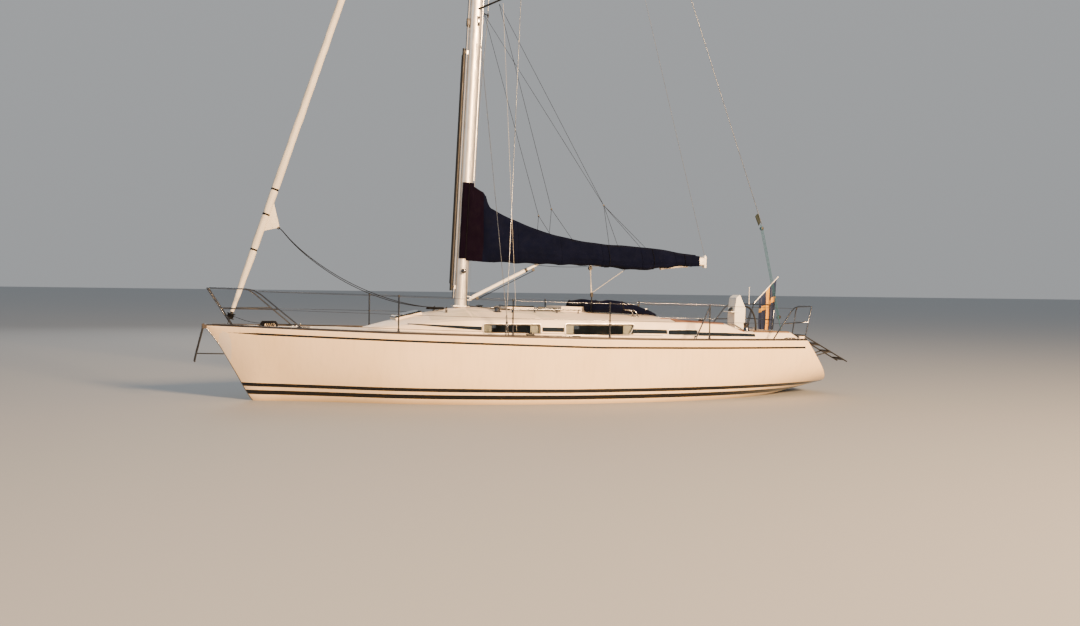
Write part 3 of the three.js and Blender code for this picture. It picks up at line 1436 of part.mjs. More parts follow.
const ladderAt = (t, y, lift = 0) => {
  const [[x0, z0], [x1, z1]] = [STERN_LADDER.hinge, STERN_LADDER.end];
  return v(x0 + (x1 - x0) * t, y, z0 + (z1 - z0) * t + lift);
};
const sternLadder = () => {
  const { y0, y1 } = STERN_LADDER;
  const stile = (y) => rod(ladderAt(0, y), ladderAt(1, y), 12.5, 8);
  const treads = [0.34, 0.62, 0.9].map((t) => {
    const c = ladderAt(t, (y0 + y1) / 2);
    return new THREE.BoxGeometry(70, y1 - y0 + 10, 24).rotateY(-0.48).translate(c.x, c.y, c.z);
  });
  const strut = (y) => rod(ladderAt(0.62, y), v(transomX(y, 705) - 5, y, 720), 11, 8);
  const barrelAcross = rod(ladderAt(0, y0 - 40), ladderAt(0, y1 + 40), 14, 12);
  return join(stile(y0), stile(y1), treads, strut(y0), strut(y1), barrelAcross);
};
add("stern_ladder", sternLadder(), FINISH.blackAlloy);

// Headsail sheets from the clew to their leads by the mast, sagging: x, sideways share, z
const SHEET_ROUTE = [
  [4503, 0.0, 2874],
  [4440, 0.01, 2818],
  [4330, 0.04, 2692],
  [4150, 0.1, 2518],
  [3950, 0.17, 2357],
  [3750, 0.24, 2216],
  [3550, 0.31, 2091],
  [3350, 0.38, 1981],
  [3150, 0.45, 1885],
  [2950, 0.53, 1802],
  [2750, 0.6, 1731],
  [2550, 0.68, 1672],
  [2350, 0.75, 1626],
  [2150, 0.83, 1592],
  [1950, 0.91, 1571],
  [1800, 0.96, 1563],
  [1722, 1.0, 1558.4],
];
const ROPE_R = 6;
const SHEET_START_Y = 11.4; // beside the clew
const sheet = (s) =>
  bentTube(
    SHEET_ROUTE.map(([x, share, z]) => v(x, s * (SHEET_START_Y + share * (SHEET_LEAD.y - SHEET_START_Y)), z)),
    ROPE_R,
    34,
    7,
  );
for (const [side, s] of SIDES) add(`${side}_jib_sheet`, sheet(s), FINISH.rope);
const HANK = { x: 1830, y: 90, long: 330, wide: 130, high: 46 };
const hank = () => {
  const { long, wide, high } = HANK;
  const shape = new THREE.Shape();
  shape.absarc(long / 2 - wide / 2, 0, wide / 2, -Math.PI / 2, Math.PI / 2);
  shape.absarc(-long / 2 + wide / 2, 0, wide / 2, Math.PI / 2, (3 * Math.PI) / 2);
  const g = new THREE.ExtrudeGeometry(shape, { depth: high, bevelEnabled: false, curveSegments: 8 });
  return onRoof(g.translate(0, 0, -0.4), HANK.x).translate(0, HANK.y, 0);
};
add("halyard_hank", hank(), FINISH.rope);
const coil = () => {
  const { mean, wide, high } = COIL;
  const [r0, r1] = [mean - wide / 2, mean + wide / 2];
  return lathe([[r0, 0], [r1, 0], [r1, high], [r0, high], [r0, 0]], 24).translate(
    COIL.x, 0, deckTopZ(COIL.x + mean + wide / 2, 0) + GAP,
  );
};
add("foredeck_coil", coil(), FINISH.rope);


export default yacht;
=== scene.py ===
"""Visual model of an 11.4 m cruising sloop lying afloat with her mainsail covered.

Metres. +X to the bow, +Y to port, +Z up, origin amidships on the waterline.
"""

import json
import logging
import math
import random
from dataclasses import dataclass
from enum import Enum
from typing import Callable, Optional, Sequence

import bmesh
import bpy
from mathutils import Matrix, Vector, noise

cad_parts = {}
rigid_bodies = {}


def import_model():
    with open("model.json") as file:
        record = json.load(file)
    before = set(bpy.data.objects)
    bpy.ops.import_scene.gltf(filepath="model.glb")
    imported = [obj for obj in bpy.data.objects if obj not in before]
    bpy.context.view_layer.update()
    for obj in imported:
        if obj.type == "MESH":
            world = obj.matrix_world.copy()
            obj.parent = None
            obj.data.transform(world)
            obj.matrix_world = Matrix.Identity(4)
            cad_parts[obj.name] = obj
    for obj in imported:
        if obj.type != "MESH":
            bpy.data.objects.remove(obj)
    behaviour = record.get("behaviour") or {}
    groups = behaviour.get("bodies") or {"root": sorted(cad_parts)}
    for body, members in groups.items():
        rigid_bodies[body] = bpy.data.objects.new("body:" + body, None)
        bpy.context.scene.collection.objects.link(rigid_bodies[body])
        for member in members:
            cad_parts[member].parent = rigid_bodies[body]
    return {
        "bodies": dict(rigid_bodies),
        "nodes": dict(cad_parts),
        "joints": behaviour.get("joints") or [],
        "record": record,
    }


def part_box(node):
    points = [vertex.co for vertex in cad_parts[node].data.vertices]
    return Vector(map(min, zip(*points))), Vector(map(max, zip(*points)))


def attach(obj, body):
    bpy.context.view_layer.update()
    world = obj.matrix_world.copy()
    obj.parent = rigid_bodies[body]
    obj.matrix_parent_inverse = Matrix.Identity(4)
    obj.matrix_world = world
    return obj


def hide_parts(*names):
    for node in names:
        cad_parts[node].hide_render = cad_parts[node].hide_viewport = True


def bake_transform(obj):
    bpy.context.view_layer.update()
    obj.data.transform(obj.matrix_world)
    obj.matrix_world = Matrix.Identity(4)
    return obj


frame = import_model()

LOG = logging.getLogger("yacht")
Point = tuple[float, float, float]
Pairs = tuple[tuple[float, float], ...]  # radius and height of a turned profile, or place and height
Tree = bpy.types.NodeTree
Socket = bpy.types.NodeSocket
SIDES: tuple[tuple[str, int], ...] = (("port", 1), ("starboard", -1))
HULL = "hull_body"
BOOM_BODY = "boom_body"
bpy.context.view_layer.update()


# ---------------------------------------------------------------- finishes


def to_linear(colour: str) -> tuple[float, float, float, float]:
    """Turns an sRGB hex colour into linear light.

    Args:
        colour: six hex digits, such as "e9e0cf".

    Returns:
        Linear red, green and blue, and an alpha of one.
    """

    def channel(value: int) -> float:
        """One channel, from 0-255 sRGB to 0-1 linear."""
        c = value / 255
        return c / 12.92 if c <= 0.04045 else ((c + 0.055) / 1.055) ** 2.4

    red, green, blue = (channel(int(colour[i : i + 2], 16)) for i in (0, 2, 4))
    return (red, green, blue, 1.0)


def put(tree: Tree, kind: str, settings: dict = {}, links: dict = {}) -> bpy.types.Node:
    """Adds one node with its settings and its incoming links.

    Args:
        tree: the tree it goes into.
        kind: the node's type name.
        settings: socket values or node properties by name; "stops" fills a colour ramp.
        links: the socket that feeds each input, by the input's name or number.

    Returns:
        The new node.
    """
    node = tree.nodes.new(kind)
    for key, value in settings.items():
        if key == "stops":
            while len(node.color_ramp.elements) < len(value):
                node.color_ramp.elements.new(0.5)
            for element, (place, colour) in zip(node.color_ramp.elements, value):
                element.position, element.color = place, colour
        elif isinstance(key, int) or key in node.inputs:
            node.inputs[key].default_value = value
        else:
            setattr(node, key, value)
    for key, socket in links.items():
        tree.links.new(socket, node.inputs[key])
    return node


class Pattern(Enum):
    """How a surface was made, which sets its fine relief."""

    MOULDED = "out of a polished mould"
    TREAD = "moulded with a fine diamond tread"
    BRUSHED = "drawn or brushed lengthways"
    CAST = "cast or rolled on, slightly lumpy"
    WOVEN = "plain weave"
    BRAIDED = "braided yarns, on the sweep's own length"
    STRANDED = "laid strands, on the sweep's own length"
    GRAIN = "long wood grain"
    PLANKED = "narrow planks with black seams"


@dataclass(frozen=True)
class Finish:
    """A surface finish: what it is made of and how it meets the light."""

    name: str
    colour: str
    worn: str  # the colour that it fades or soils to
    roughness: float
    pattern: Pattern
    pitch_mm: float  # spacing of the fine relief
    relief_mm: float  # its height
    metallic: float = 0.0
    mottle_m: float = 0.35  # size of the soft patches of the worn colour
    mottle: float = 0.5  # how much of the worn colour they take
    coat: float = 0.0
    sheen: float = 0.0
    ior: float = 1.5
    transmission: float = 0.0
    alpha: float = 1.0  # below 1 for thin tinted panes, so that daylight passes straight through

    def material(self) -> bpy.types.Material:
        """The node material of this finish, made once.

        Returns:
            The material, shared by all pieces of this finish.
        """
        found = bpy.data.materials.get("y_" + self.name)
        if found:
            return found
        made = bpy.data.materials.new("y_" + self.name)
        made.use_nodes = True
        tree = made.node_tree
        shader = tree.nodes["Principled BSDF"]
        for socket, value in (
            ("Metallic", self.metallic),
            ("Coat Weight", self.coat),
            ("Coat Roughness", 0.06),
            ("Sheen Weight", self.sheen),
            ("Sheen Roughness", 0.5),
            ("IOR", self.ior),
            ("Transmission Weight", self.transmission),
            ("Alpha", self.alpha),
        ):
            shader.inputs[socket].default_value = value
        colour, height = self.surface(tree)
        tree.links.new(colour, shader.inputs["Base Color"])
        self.gloss(tree, shader)
        bump = put(
            tree, "ShaderNodeBump", {"Strength": 0.9, "Distance": self.relief_mm / 1000}, {"Height": height}
        )
        tree.links.new(bump.outputs["Normal"], shader.inputs["Normal"])
        return made

    def gloss(self, tree: Tree, shader: bpy.types.Node) -> None:
        """Feeds the roughness, a little duller in handled and weathered patches.

        Args:
            tree: the material's tree.
            shader: its principled shader.
        """
        place = put(tree, "ShaderNodeTexCoord").outputs["Object"]
        patches = put(
            tree, "ShaderNodeTexNoise", {"Scale": 2.3 / self.mottle_m, "Detail": 3.0}, {"Vector": place}
        )
        spread = put(
            tree,
            "ShaderNodeMapRange",
            {1: 0.3, 2: 0.7, 3: self.roughness * 0.85, 4: min(1.0, self.roughness * 1.2)},
            {0: patches.outputs["Fac"]},
        )
        tree.links.new(spread.outputs[0], shader.inputs["Roughness"])

    def base(self, tree: Tree) -> Socket:
        """The colour before any pattern: the clean colour with soft worn patches.

        Args:
            tree: the material's tree.

        Returns:
            The colour socket.
        """
        place = put(tree, "ShaderNodeTexCoord").outputs["Object"]
        patches = put(
            tree, "ShaderNodeTexNoise", {"Scale": 1 / self.mottle_m, "Detail": 5.0}, {"Vector": place}
        )
        share = put(
            tree,
            "ShaderNodeMapRange",
            {1: 0.38, 2: 0.72, 3: 0.0, 4: self.mottle},
            {0: patches.outputs["Fac"]},
        )
        mixed = put(
            tree,
            "ShaderNodeMix",
            {"data_type": "RGBA", 6: to_linear(self.colour), 7: to_linear(self.worn)},
            {0: share.outputs[0]},
        )
        return mixed.outputs[2]

    def surface(self, tree: Tree) -> tuple[Socket, Socket]:
        """Colour and relief of this finish.

        Args:
            tree: the material's tree.

        Returns:
            The colour socket and the height socket.
        """
        coords = put(tree, "ShaderNodeTexCoord")
        place, sweep = coords.outputs["Object"], coords.outputs["UV"]
        colour = self.base(tree)
        per_metre = 1000 / self.pitch_mm
        if self.pattern in (Pattern.MOULDED, Pattern.CAST):
            fine = put(tree, "ShaderNodeTexNoise", {"Scale": per_metre, "Detail": 2.0}, {"Vector": place})
            return colour, fine.outputs["Fac"]
        if self.pattern is Pattern.BRUSHED:
            long = put(tree, "ShaderNodeMapping", {"Scale": (0.05, 1.0, 0.05)}, {"Vector": place})
            fine = put(
                tree, "ShaderNodeTexNoise", {"Scale": per_metre, "Detail": 4.0}, {"Vector": long.outputs[0]}
            )
            return colour, fine.outputs["Fac"]
        if self.pattern in (Pattern.GRAIN, Pattern.PLANKED):
            return self.timber(tree, colour, place, per_metre)
        if self.pattern in (Pattern.BRAIDED, Pattern.STRANDED):
            return self.laid(tree, colour, sweep, per_metre)
        return self.crossed(tree, colour, place, per_metre)

    def timber(
        self, tree: Tree, colour: Socket, place: Socket, per_metre: float
    ) -> tuple[Socket, Socket]:
        """Long grain, with black seams between the planks where it is planked.

        Args:
            tree: the material's tree.
            colour: the base colour.
            place: object coordinates.
            per_metre: grain lines a metre.

        Returns:
            The colour socket and the height socket.
        """
        stretched = put(tree, "ShaderNodeMapping", {"Scale": (0.06, 1.0, 1.0)}, {"Vector": place})
        grain = put(
            tree,
            "ShaderNodeTexNoise",
            {"Scale": per_metre, "Detail": 6.0, "Distortion": 0.6},
            {"Vector": stretched.outputs[0]},
        )
        tint = put(tree, "ShaderNodeMapRange", {1: 0.3, 2: 0.7, 3: 0.55, 4: 1.25}, {0: grain.outputs["Fac"]})
        grained = put(
            tree,
            "ShaderNodeVectorMath",
            {"operation": "SCALE"},
            {0: colour, "Scale": tint.outputs[0]},
        ).outputs[0]
        if self.pattern is Pattern.GRAIN:
            return grained, grain.outputs["Fac"]
        split = put(tree, "ShaderNodeSeparateXYZ", {}, {0: place})
        turns = put(tree, "ShaderNodeMath", {"operation": "MULTIPLY", 1: 1 / 0.052}, {0: split.outputs["Y"]})
        saw = put(tree, "ShaderNodeMath", {"operation": "FRACT"}, {0: turns.outputs[0]})
        seam = put(tree, "ShaderNodeMath", {"operation": "LESS_THAN", 1: 0.1}, {0: saw.outputs[0]})
        mixed = put(
            tree,
            "ShaderNodeMix",
            {"data_type": "RGBA", 7: to_linear("15130f")},
            {0: seam.outputs[0], 6: grained},
        )
        high = put(
            tree, "ShaderNodeMath", {"operation": "SUBTRACT"}, {0: grain.outputs["Fac"], 1: seam.outputs[0]}
        )
        return mixed.outputs[2], high.outputs[0]

    def laid(
        self, tree: Tree, colour: Socket, sweep: Socket, per_metre: float
    ) -> tuple[Socket, Socket]:
        """Strands that wind round the sweep, crossed for a braid.

        Args:
            tree: the material's tree.
            colour: the base colour.
            sweep: the sweep's own coordinates, both in metres.
            per_metre: strands a metre.

        Returns:
            The colour socket and the height socket.
        """
        waves = []
        for sign in (1, -1) if self.pattern is Pattern.BRAIDED else (1,):
            skewed = put(tree, "ShaderNodeMapping", {"Rotation": (0, 0, sign * 0.75)}, {"Vector": sweep})
            waves.append(
                put(
                    tree,
                    "ShaderNodeTexWave",
                    {"Scale": per_metre / 20, "Detail": 0.0, "wave_profile": "SIN"},
                    {"Vector": skewed.outputs[0]},
                ).outputs["Fac"]
            )
        high = waves[0]
        if len(waves) > 1:
            high = put(
                tree, "ShaderNodeMath", {"operation": "MAXIMUM"}, {0: waves[0], 1: waves[1]}
            ).outputs[0]
        # darker between the strands: painted shade, with dirt
        return self.shade_by(tree, colour, high, 0.45), high

    def crossed(
        self, tree: Tree, colour: Socket, place: Socket, per_metre: float
    ) -> tuple[Socket, Socket]:
        """Two crossing sets of ridges: the threads of a cloth, or a moulded tread.

        Args:
            tree: the material's tree.
            colour: the base colour.
            place: object coordinates.
            per_metre: threads or ridges a metre.

        Returns:
            The colour socket and the height socket.
        """
        turn = 0.0 if self.pattern is Pattern.WOVEN else math.pi / 4
        turned = put(tree, "ShaderNodeMapping", {"Rotation": (0, 0, turn)}, {"Vector": place})
        split = put(tree, "ShaderNodeSeparateXYZ", {}, {0: turned.outputs[0]})
        across = split.outputs["Y"]
        if self.pattern is Pattern.WOVEN:
            across = put(
                tree, "ShaderNodeMath", {"operation": "ADD"}, {0: across, 1: split.outputs["Z"]}
            ).outputs[0]
        ridges = []
        for axis in (split.outputs["X"], across):
            angle = put(tree, "ShaderNodeMath", {"operation": "MULTIPLY", 1: math.tau * per_metre}, {0: axis})
            ridges.append(
                put(tree, "ShaderNodeMath", {"operation": "SINE"}, {0: angle.outputs[0]}).outputs[0]
            )
        high = put(tree, "ShaderNodeMath", {"operation": "MULTIPLY"}, {0: ridges[0], 1: ridges[1]})
        unit = put(tree, "ShaderNodeMapRange", {1: -1.0, 2: 1.0, 3: 0.0, 4: 1.0}, {0: high.outputs[0]})
        depth = 0.3 if self.pattern is Pattern.WOVEN else 0.1
        # darker between the threads or tread points: painted shade, with dirt
        return self.shade_by(tree, colour, unit.outputs[0], depth), unit.outputs[0]

    def shade_by(
        self, tree: Tree, colour: Socket, high: Socket, depth: float
    ) -> Socket:
        """Darkens the low parts of a relief: painted shade in its hollows, together with the dirt that
        gathers there.

        Args:
            tree: the material's tree.
            colour: the colour to darken.
            high: the relief, from 0 to 1.
            depth: how much darker the lowest parts are.

        Returns:
            The darkened colour.
        """
        tint = put(tree, "ShaderNodeMapRange", {1: 0.0, 2: 1.0, 3: 1 - depth, 4: 1 + depth * 0.3}, {0: high})
        return put(
            tree, "ShaderNodeVectorMath", {"operation": "SCALE"}, {0: colour, "Scale": tint.outputs[0]}
        ).outputs[0]


# Sprayed polyester gelcoat, polished: soft warm highlights with a trace of orange peel.
GELCOAT = Finish(
    "gelcoat_cream", "f8dcb4", "ebca9a", 0.2, Pattern.MOULDED, 9.0, 0.05, coat=0.12, mottle_m=0.9
)
# The same gelcoat on deck, chalky from sun and feet.
DECK_GELCOAT = Finish(
    "deck_gelcoat", "ecdcc6", "d6c4ab", 0.42, Pattern.MOULDED, 6.0, 0.08, mottle_m=0.5, mottle=0.6
)
# Moulded diamond tread: dull, darker between the points with painted shade and dirt together. Drawn at
# 9 mm, about twice the real spacing, so that it shows at all.
TREAD_GELCOAT = Finish(
    "tread_gelcoat", "d8cfbd", "bdb39e", 0.66, Pattern.TREAD, 9.0, 0.5, mottle_m=0.4, mottle=0.5
)
# Rolled-on copper antifouling: flat, chalky blue-black with lighter scrubbed patches.
ANTIFOULING = Finish("antifouling_paint", "26303a", "4a525a", 0.75, Pattern.CAST, 14.0, 0.3, mottle_m=0.6)
# Sprayed enamel on the engine: even mid grey with oil-dulled patches.
ENAMEL_GREY = Finish("engine_enamel", "8a8d8e", "5f6060", 0.42, Pattern.CAST, 12.0, 0.2)
# Cast manganese bronze: brown-gold, polished on the blades by the water.
BRONZE = Finish("cast_bronze", "a07d45", "6f5a38", 0.34, Pattern.CAST, 5.0, 0.15, metallic=1.0)
# Silver anodised extrusion: satin grey with faint draw lines along it.
ANODISED = Finish("anodised_aluminium", "d9d6d0", "b8b4ad", 0.36, Pattern.BRUSHED, 3.0, 0.03, metallic=0.85)
# Black anodised castings and rail: near-black satin, greying on the edges that ropes rub.
BLACK_ANODISED = Finish(
    "black_anodised_aluminium", "101112", "1d1e1f", 0.5, Pattern.CAST, 2.5, 0.05, metallic=0.2
)
# Polished 316 tube: base colour darkened to a dark grey as painted shade, for tube seen against the low sun;
# the sharp bright streaks along it come from the lamps.
STAINLESS_PAINTED_SHADE = Finish(
    "stainless_steel_painted_shade", "6c6d70", "514f4c", 0.14, Pattern.BRUSHED, 2.0, 0.01, metallic=1.0
)
# 1x19 stainless wire: strands wind slowly round it. Strands drawn three times as coarse as real.
WIRE = Finish("stainless_wire_rope", "a3a6a8", "7b7c7b", 0.3, Pattern.STRANDED, 6.0, 0.4, metallic=0.9)
# White glass-reinforced moulding: opaque, half gloss, slightly yellowed.
WHITE_MOULDING = Finish("white_moulding", "f0eee6", "dbd4c3", 0.3, Pattern.MOULDED, 4.0, 0.06, mottle=0.4)
# Oiled teak: brown, open grain, silvering where it stays wet.
TEAK = Finish("oiled_teak", "7a4a2b", "95785a", 0.6, Pattern.GRAIN, 9.0, 0.4, mottle_m=0.3)
# Teak planks with rubber caulking on the aft deck.
TEAK_PLANKS = Finish("teak_deck_planks", "8a6844", "a08a6a", 0.68, Pattern.PLANKED, 9.0, 0.4, mottle_m=0.3)
# Varnished mahogany indoors: red-brown under a clear gloss.
VARNISH = Finish("varnished_mahogany", "8c5530", "6e3f22", 0.3, Pattern.GRAIN, 14.0, 0.2, coat=0.8)
# Acrylic-coated canvas, navy gone near black: matt, with a soft bloom at grazing angles. Threads
# drawn at 4 mm, some five times the real 0.8 mm, so that they show.
CANVAS = Finish(
    "dark_navy_canvas", "05091c", "0a0f26", 0.96, Pattern.WOVEN, 4.0, 0.35, sheen=0.02, ior=1.14,
    mottle_m=0.25,
)
# Purple-black canvas of the cover's front, newer and less faded than the rest.
CANVAS_FRONT = Finish(
    "purple_black_canvas", "090310", "0e0616", 0.96, Pattern.WOVEN, 4.0, 0.35, sheen=0.02, ior=1.14,
    mottle_m=0.25,
)
# Weathered aluminium extrusion: dull, darker than the spars, catching light along its top edge.
WEATHERED_ALLOY = Finish(
    "weathered_aluminium", "46413e", "5b544e", 0.42, Pattern.BRUSHED, 3.0, 0.04, metallic=0.85
)
# Woven polyester sailcloth: off-white, faint threads, a light sheen. Threads drawn at 3 mm.
SAILCLOTH = Finish("sailcloth", "e2dccd", "cdc3ac", 0.6, Pattern.WOVEN, 3.0, 0.08, sheen=0.15, mottle_m=0.5)
# Curtain cotton: grey-green, limp and dull.
CURTAIN = Finish("curtain_cotton", "e4e6d2", "cdd0ba", 0.95, Pattern.WOVEN, 4.0, 0.3, sheen=0.2)
# Polyester bunting: dyed through, thin and dull.
BUNTING = Finish("blue_bunting", "16294f", "101f3d", 0.85, Pattern.WOVEN, 3.0, 0.15, sheen=0.25)
# Yellow polyester bunting of the ensign's cross: thin, dull, a little faded.
YELLOW_BUNTING = Finish("yellow_bunting", "d9a528", "c08f26", 0.85, Pattern.WOVEN, 3.0, 0.15, sheen=0.25)
# Dark green bunting: thin and dull.
GREEN_BUNTING = Finish("green_bunting", "0b1f1b", "081714", 0.85, Pattern.WOVEN, 3.0, 0.15, sheen=0.25)
# Braided polyester rope, black: dull with a herringbone of yarns. Yarns drawn at 6 mm.
ROPE = Finish("black_braided_rope", "08090c", "15161a", 0.9, Pattern.BRAIDED, 6.0, 0.6, sheen=0.04, ior=1.25)
# The same in white with a grey fleck, for light halyards.
ROPE_WHITE = Finish("white_braided_rope", "cfc9bb", "9d988c", 0.85, Pattern.BRAIDED, 6.0, 0.6, sheen=0.2)
# Blue-green braided rope of the backstay tackle.
ROPE_BLUE = Finish("blue_braided_rope", "2f7284", "235a69", 0.85, Pattern.BRAIDED, 6.0, 0.6, sheen=0.2)
# Injection-moulded acetal: black, even, half gloss.
BLACK_PLASTIC = Finish("black_acetal", "141414", "242424", 0.45, Pattern.MOULDED, 2.0, 0.04)
# Buffed tyre-black rubber.
RUBBER = Finish("black_rubber", "1a1a1a", "2a2927", 0.8, Pattern.CAST, 3.0, 0.1)
# Smoked cast acrylic: dark, glossy, faint dust.
ACRYLIC = Finish(
    "smoked_acrylic", "10171a", "1d2629", 0.07, Pattern.MOULDED, 30.0, 0.02, coat=1.0, transmission=0.35
)
# Lightly smoked acrylic of the see-through panes: dark from outside, but curtains show through.
CLEAR_ACRYLIC = Finish(
    "clear_smoked_acrylic", "0c1214", "12191b", 0.05, Pattern.MOULDED, 30.0, 0.01, coat=0.5, alpha=0.24
)


# ---------------------------------------------------------------- shapes


def evenly(a: float, b: float, n: int = 14) -> list[float]:
    """Stations from a to b, n equal steps apart."""
    return [a + (b - a) * k / n for k in range(n + 1)]


def round_angles(n: int) -> list[float]:
    """Angles of n equal steps round a circle."""
    return [math.tau * k / n for k in range(n)]


class Shape:
    """A mesh under way, to which tubes, lofts and blocks are added before it becomes a piece."""

    def __init__(self) -> None:
        """Starts empty."""
        self.bm = bmesh.new()
        self.uv = self.bm.loops.layers.uv.new("UVMap")

    def skin(
        self,
        rings: Sequence[Sequence[Point]],
        closed: bool = True,
        caps: bool = True,
        spacing: Optional[Sequence[float]] = None,
    ) -> None:
        """Joins rings of points, every ring with the same count, into a skin.

        Args:
            rings: the rings, in order.
            closed: whether each ring runs back to its start.
            caps: whether the first and last ring are filled.
            spacing: distance along the skin at each ring, for its coordinates.
        """
        rows = [[self.bm.verts.new(p) for p in ring] for ring in rings]
        count = len(rings[0])
        along = list(spacing) if spacing else [0.0]
        if not spacing:
            for a, b in zip(rings, rings[1:]):
                along.append(along[-1] + (Vector(b[0]) - Vector(a[0])).length)
        round_trip = [0.0]
        middle = rings[len(rings) // 2]
        for i in range(count):
            round_trip.append(round_trip[-1] + (Vector(middle[(i + 1) % count]) - Vector(middle[i])).length)
        for r in range(len(rows) - 1):
            for i in range(count if closed else count - 1):
                j = (i + 1) % count
                corners = [rows[r][i], rows[r][j], rows[r + 1][j], rows[r + 1][i]]
                face = self.bm.faces.new(corners)
                for loop, (a, b) in zip(face.loops, ((i, r), (i + 1, r), (i + 1, r + 1), (i, r + 1))):
                    loop[self.uv].uv = (along[b], round_trip[a])
        if caps:
            self.bm.faces.new(rows[0][::-1])
            self.bm.faces.new(rows[-1])

    def tube(
        self,
        path: Sequence[Point],
        radius: float | Sequence[float],
        sides: int = 10,
        wide: float = 1.0,
        loop: bool = False,
    ) -> "Shape":
        """Sweeps a round or oval section along a path.

        Args:
            path: the points that it follows.
            radius: one radius, or one for each point.
            sides: points round the section.
            wide: how much wider the section is across its second axis.
            loop: whether the path runs back to its start.

        Returns:
            This shape.
        """
        points = [Vector(p) for p in path]
        radii = [radius] * len(points) if isinstance(radius, (int, float)) else list(radius)
        across = Vector((0.31, 0.83, 0.46))
        rings, spacing = [], [0.0]
        for i, p in enumerate(points):
            before = points[i - 1] if i or loop else p
            after = points[(i + 1) % len(points)] if i + 1 < len(points) or loop else p
            along = Vector()
            if (p - before).length > 0:
                along += (p - before).normalized()
            if (after - p).length > 0:
                along += (after - p).normalized()
            along.normalize()
            across = (across - along * across.dot(along)).normalized()
            third = along.cross(across)
            one, two = across * radii[i], third * radii[i] * wide
            rings.append([tuple(p + one * math.cos(a) + two * math.sin(a)) for a in round_angles(sides)])
            if i:
                spacing.append(spacing[-1] + (p - points[i - 1]).length)
        if loop:
            self.skin([*rings, rings[0]], caps=False, spacing=[*spacing, spacing[-1] + 0.05])
        else:
            self.skin(rings, spacing=spacing)
        return self

    def cloth(self, rows: Sequence[Sequence[Point]], half: float, s: int = 1) -> None:
        """Adds a thin cloth from a grid of points, with one face to each side across the boat.

        Args:
            rows: the grid's rows, from the top down.
            half: half the cloth's thickness.
            s: the side of the face that comes first, 1 for port, -1 for starboard.
        """
        rings = []
        for row in rows:
            near = [(x, y + s * half, z) for x, y, z in row]
            far = [(x, y - s * half, z) for x, y, z in reversed(row)]
            rings.append([*near, *far])
        self.skin(rings)

    def lathe(
        self, profile: Sequence[tuple[float, float]], at: Point, sides: int = 40, axis: Point = (0, 0, 1)
    ) -> "Shape":
        """Turns a profile round an axis.

        Args:
            profile: radius and height pairs, from the foot up.
            at: where the profile's height 0 sits.
            sides: points round it.
            axis: direction of its height.

        Returns:
            This shape.
        """
        turn = Vector((0, 0, 1)).rotation_difference(Vector(axis)).to_matrix()
        rings = []
        for radius, h in profile:
            r = max(radius, 1e-5)  # a ring at the axis keeps a trace of width
            points = [Vector((r * math.cos(a), r * math.sin(a), h)) for a in round_angles(sides)]
            rings.append([tuple(Vector(at) + turn @ p) for p in points])
        self.skin(rings)
        return self

    def block(self, low: Point, high: Point, bevel: float = 0.0) -> "Shape":
        """Adds a block with eased edges.

        Args:
            low: its lowest corner.
            high: its highest corner.
            bevel: radius of its edges.

        Returns:
            This shape.
        """
        made = bmesh.ops.create_cube(self.bm, size=1.0)
        size, middle = Vector(high) - Vector(low), (Vector(high) + Vector(low)) / 2
        for vert in made["verts"]:
            vert.co = Vector(c * s for c, s in zip(vert.co, size)) + middle
        if bevel:
            edges = list({edge for vert in made["verts"] for edge in vert.link_edges})
            bmesh.ops.bevel(self.bm, geom=edges, offset=bevel, segments=3, profile=0.5, affect="EDGES")
        return self

    def plate(self, outline: Sequence[Point], thick: Point, bevel: float = 0.0) -> "Shape":
        """Extrudes a flat outline.

        Args:
            outline: its corners, in order.
            thick: the vector that it is extruded by.
            bevel: radius of its edges.

        Returns:
            This shape.
        """
        lower = [self.bm.verts.new(p) for p in outline]
        upper = [self.bm.verts.new(Vector(p) + Vector(thick)) for p in outline]
        faces = [self.bm.faces.new(lower[::-1]), self.bm.faces.new(upper)]
        for i in range(len(outline)):
            j = (i + 1) % len(outline)
            faces.append(self.bm.faces.new([lower[i], lower[j], upper[j], upper[i]]))
        if bevel:
            edges = list({edge for face in faces for edge in face.edges})
            bmesh.ops.bevel(self.bm, geom=edges, offset=bevel, segments=2, profile=0.5, affect="EDGES")
        return self

    def piece(
        self,
        name: str,
        finishes: Finish | Sequence[Finish],
        body: Optional[str] = HULL,
        stands_for: Sequence[str] = (),
        crease: float = 38.0,
        subdivide: int = 0,
        weld: float = 0.0,
    ) -> bpy.types.Object:
        """body: the CAD body that it rides on, or None for a piece that rides on none.
            stands_for: CAD nodes that it replaces.
            crease: edges sharper than this many degrees stay sharp.
            subdivide: levels of subdivision surface.
            weld: distance under which points are joined first.

        Returns:
            The object.
        """
        if weld:
            bmesh.ops.remove_doubles(self.bm, verts=self.bm.verts, dist=weld)
        bmesh.ops.recalc_face_normals(self.bm, faces=self.bm.faces)
        mesh = bpy.data.meshes.new(name)
        self.bm.to_mesh(mesh)
        self.bm.free()
        mesh.shade_smooth()
        mesh.set_sharp_from_angle(angle=math.radians(crease))
        obj = bpy.data.objects.new(name, mesh)
        bpy.context.scene.collection.objects.link(obj)
        for finish in [finishes] if isinstance(finishes, Finish) else finishes:
            mesh.materials.append(finish.material())
        if subdivide:
            level = obj.modifiers.new("fair", "SUBSURF")
            level.levels = level.render_levels = subdivide
        if body:
            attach(obj, body)
        if stands_for:
            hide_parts(*stands_for)
        LOG.info("piece %s: %d faces", name, len(mesh.polygons))
        return obj


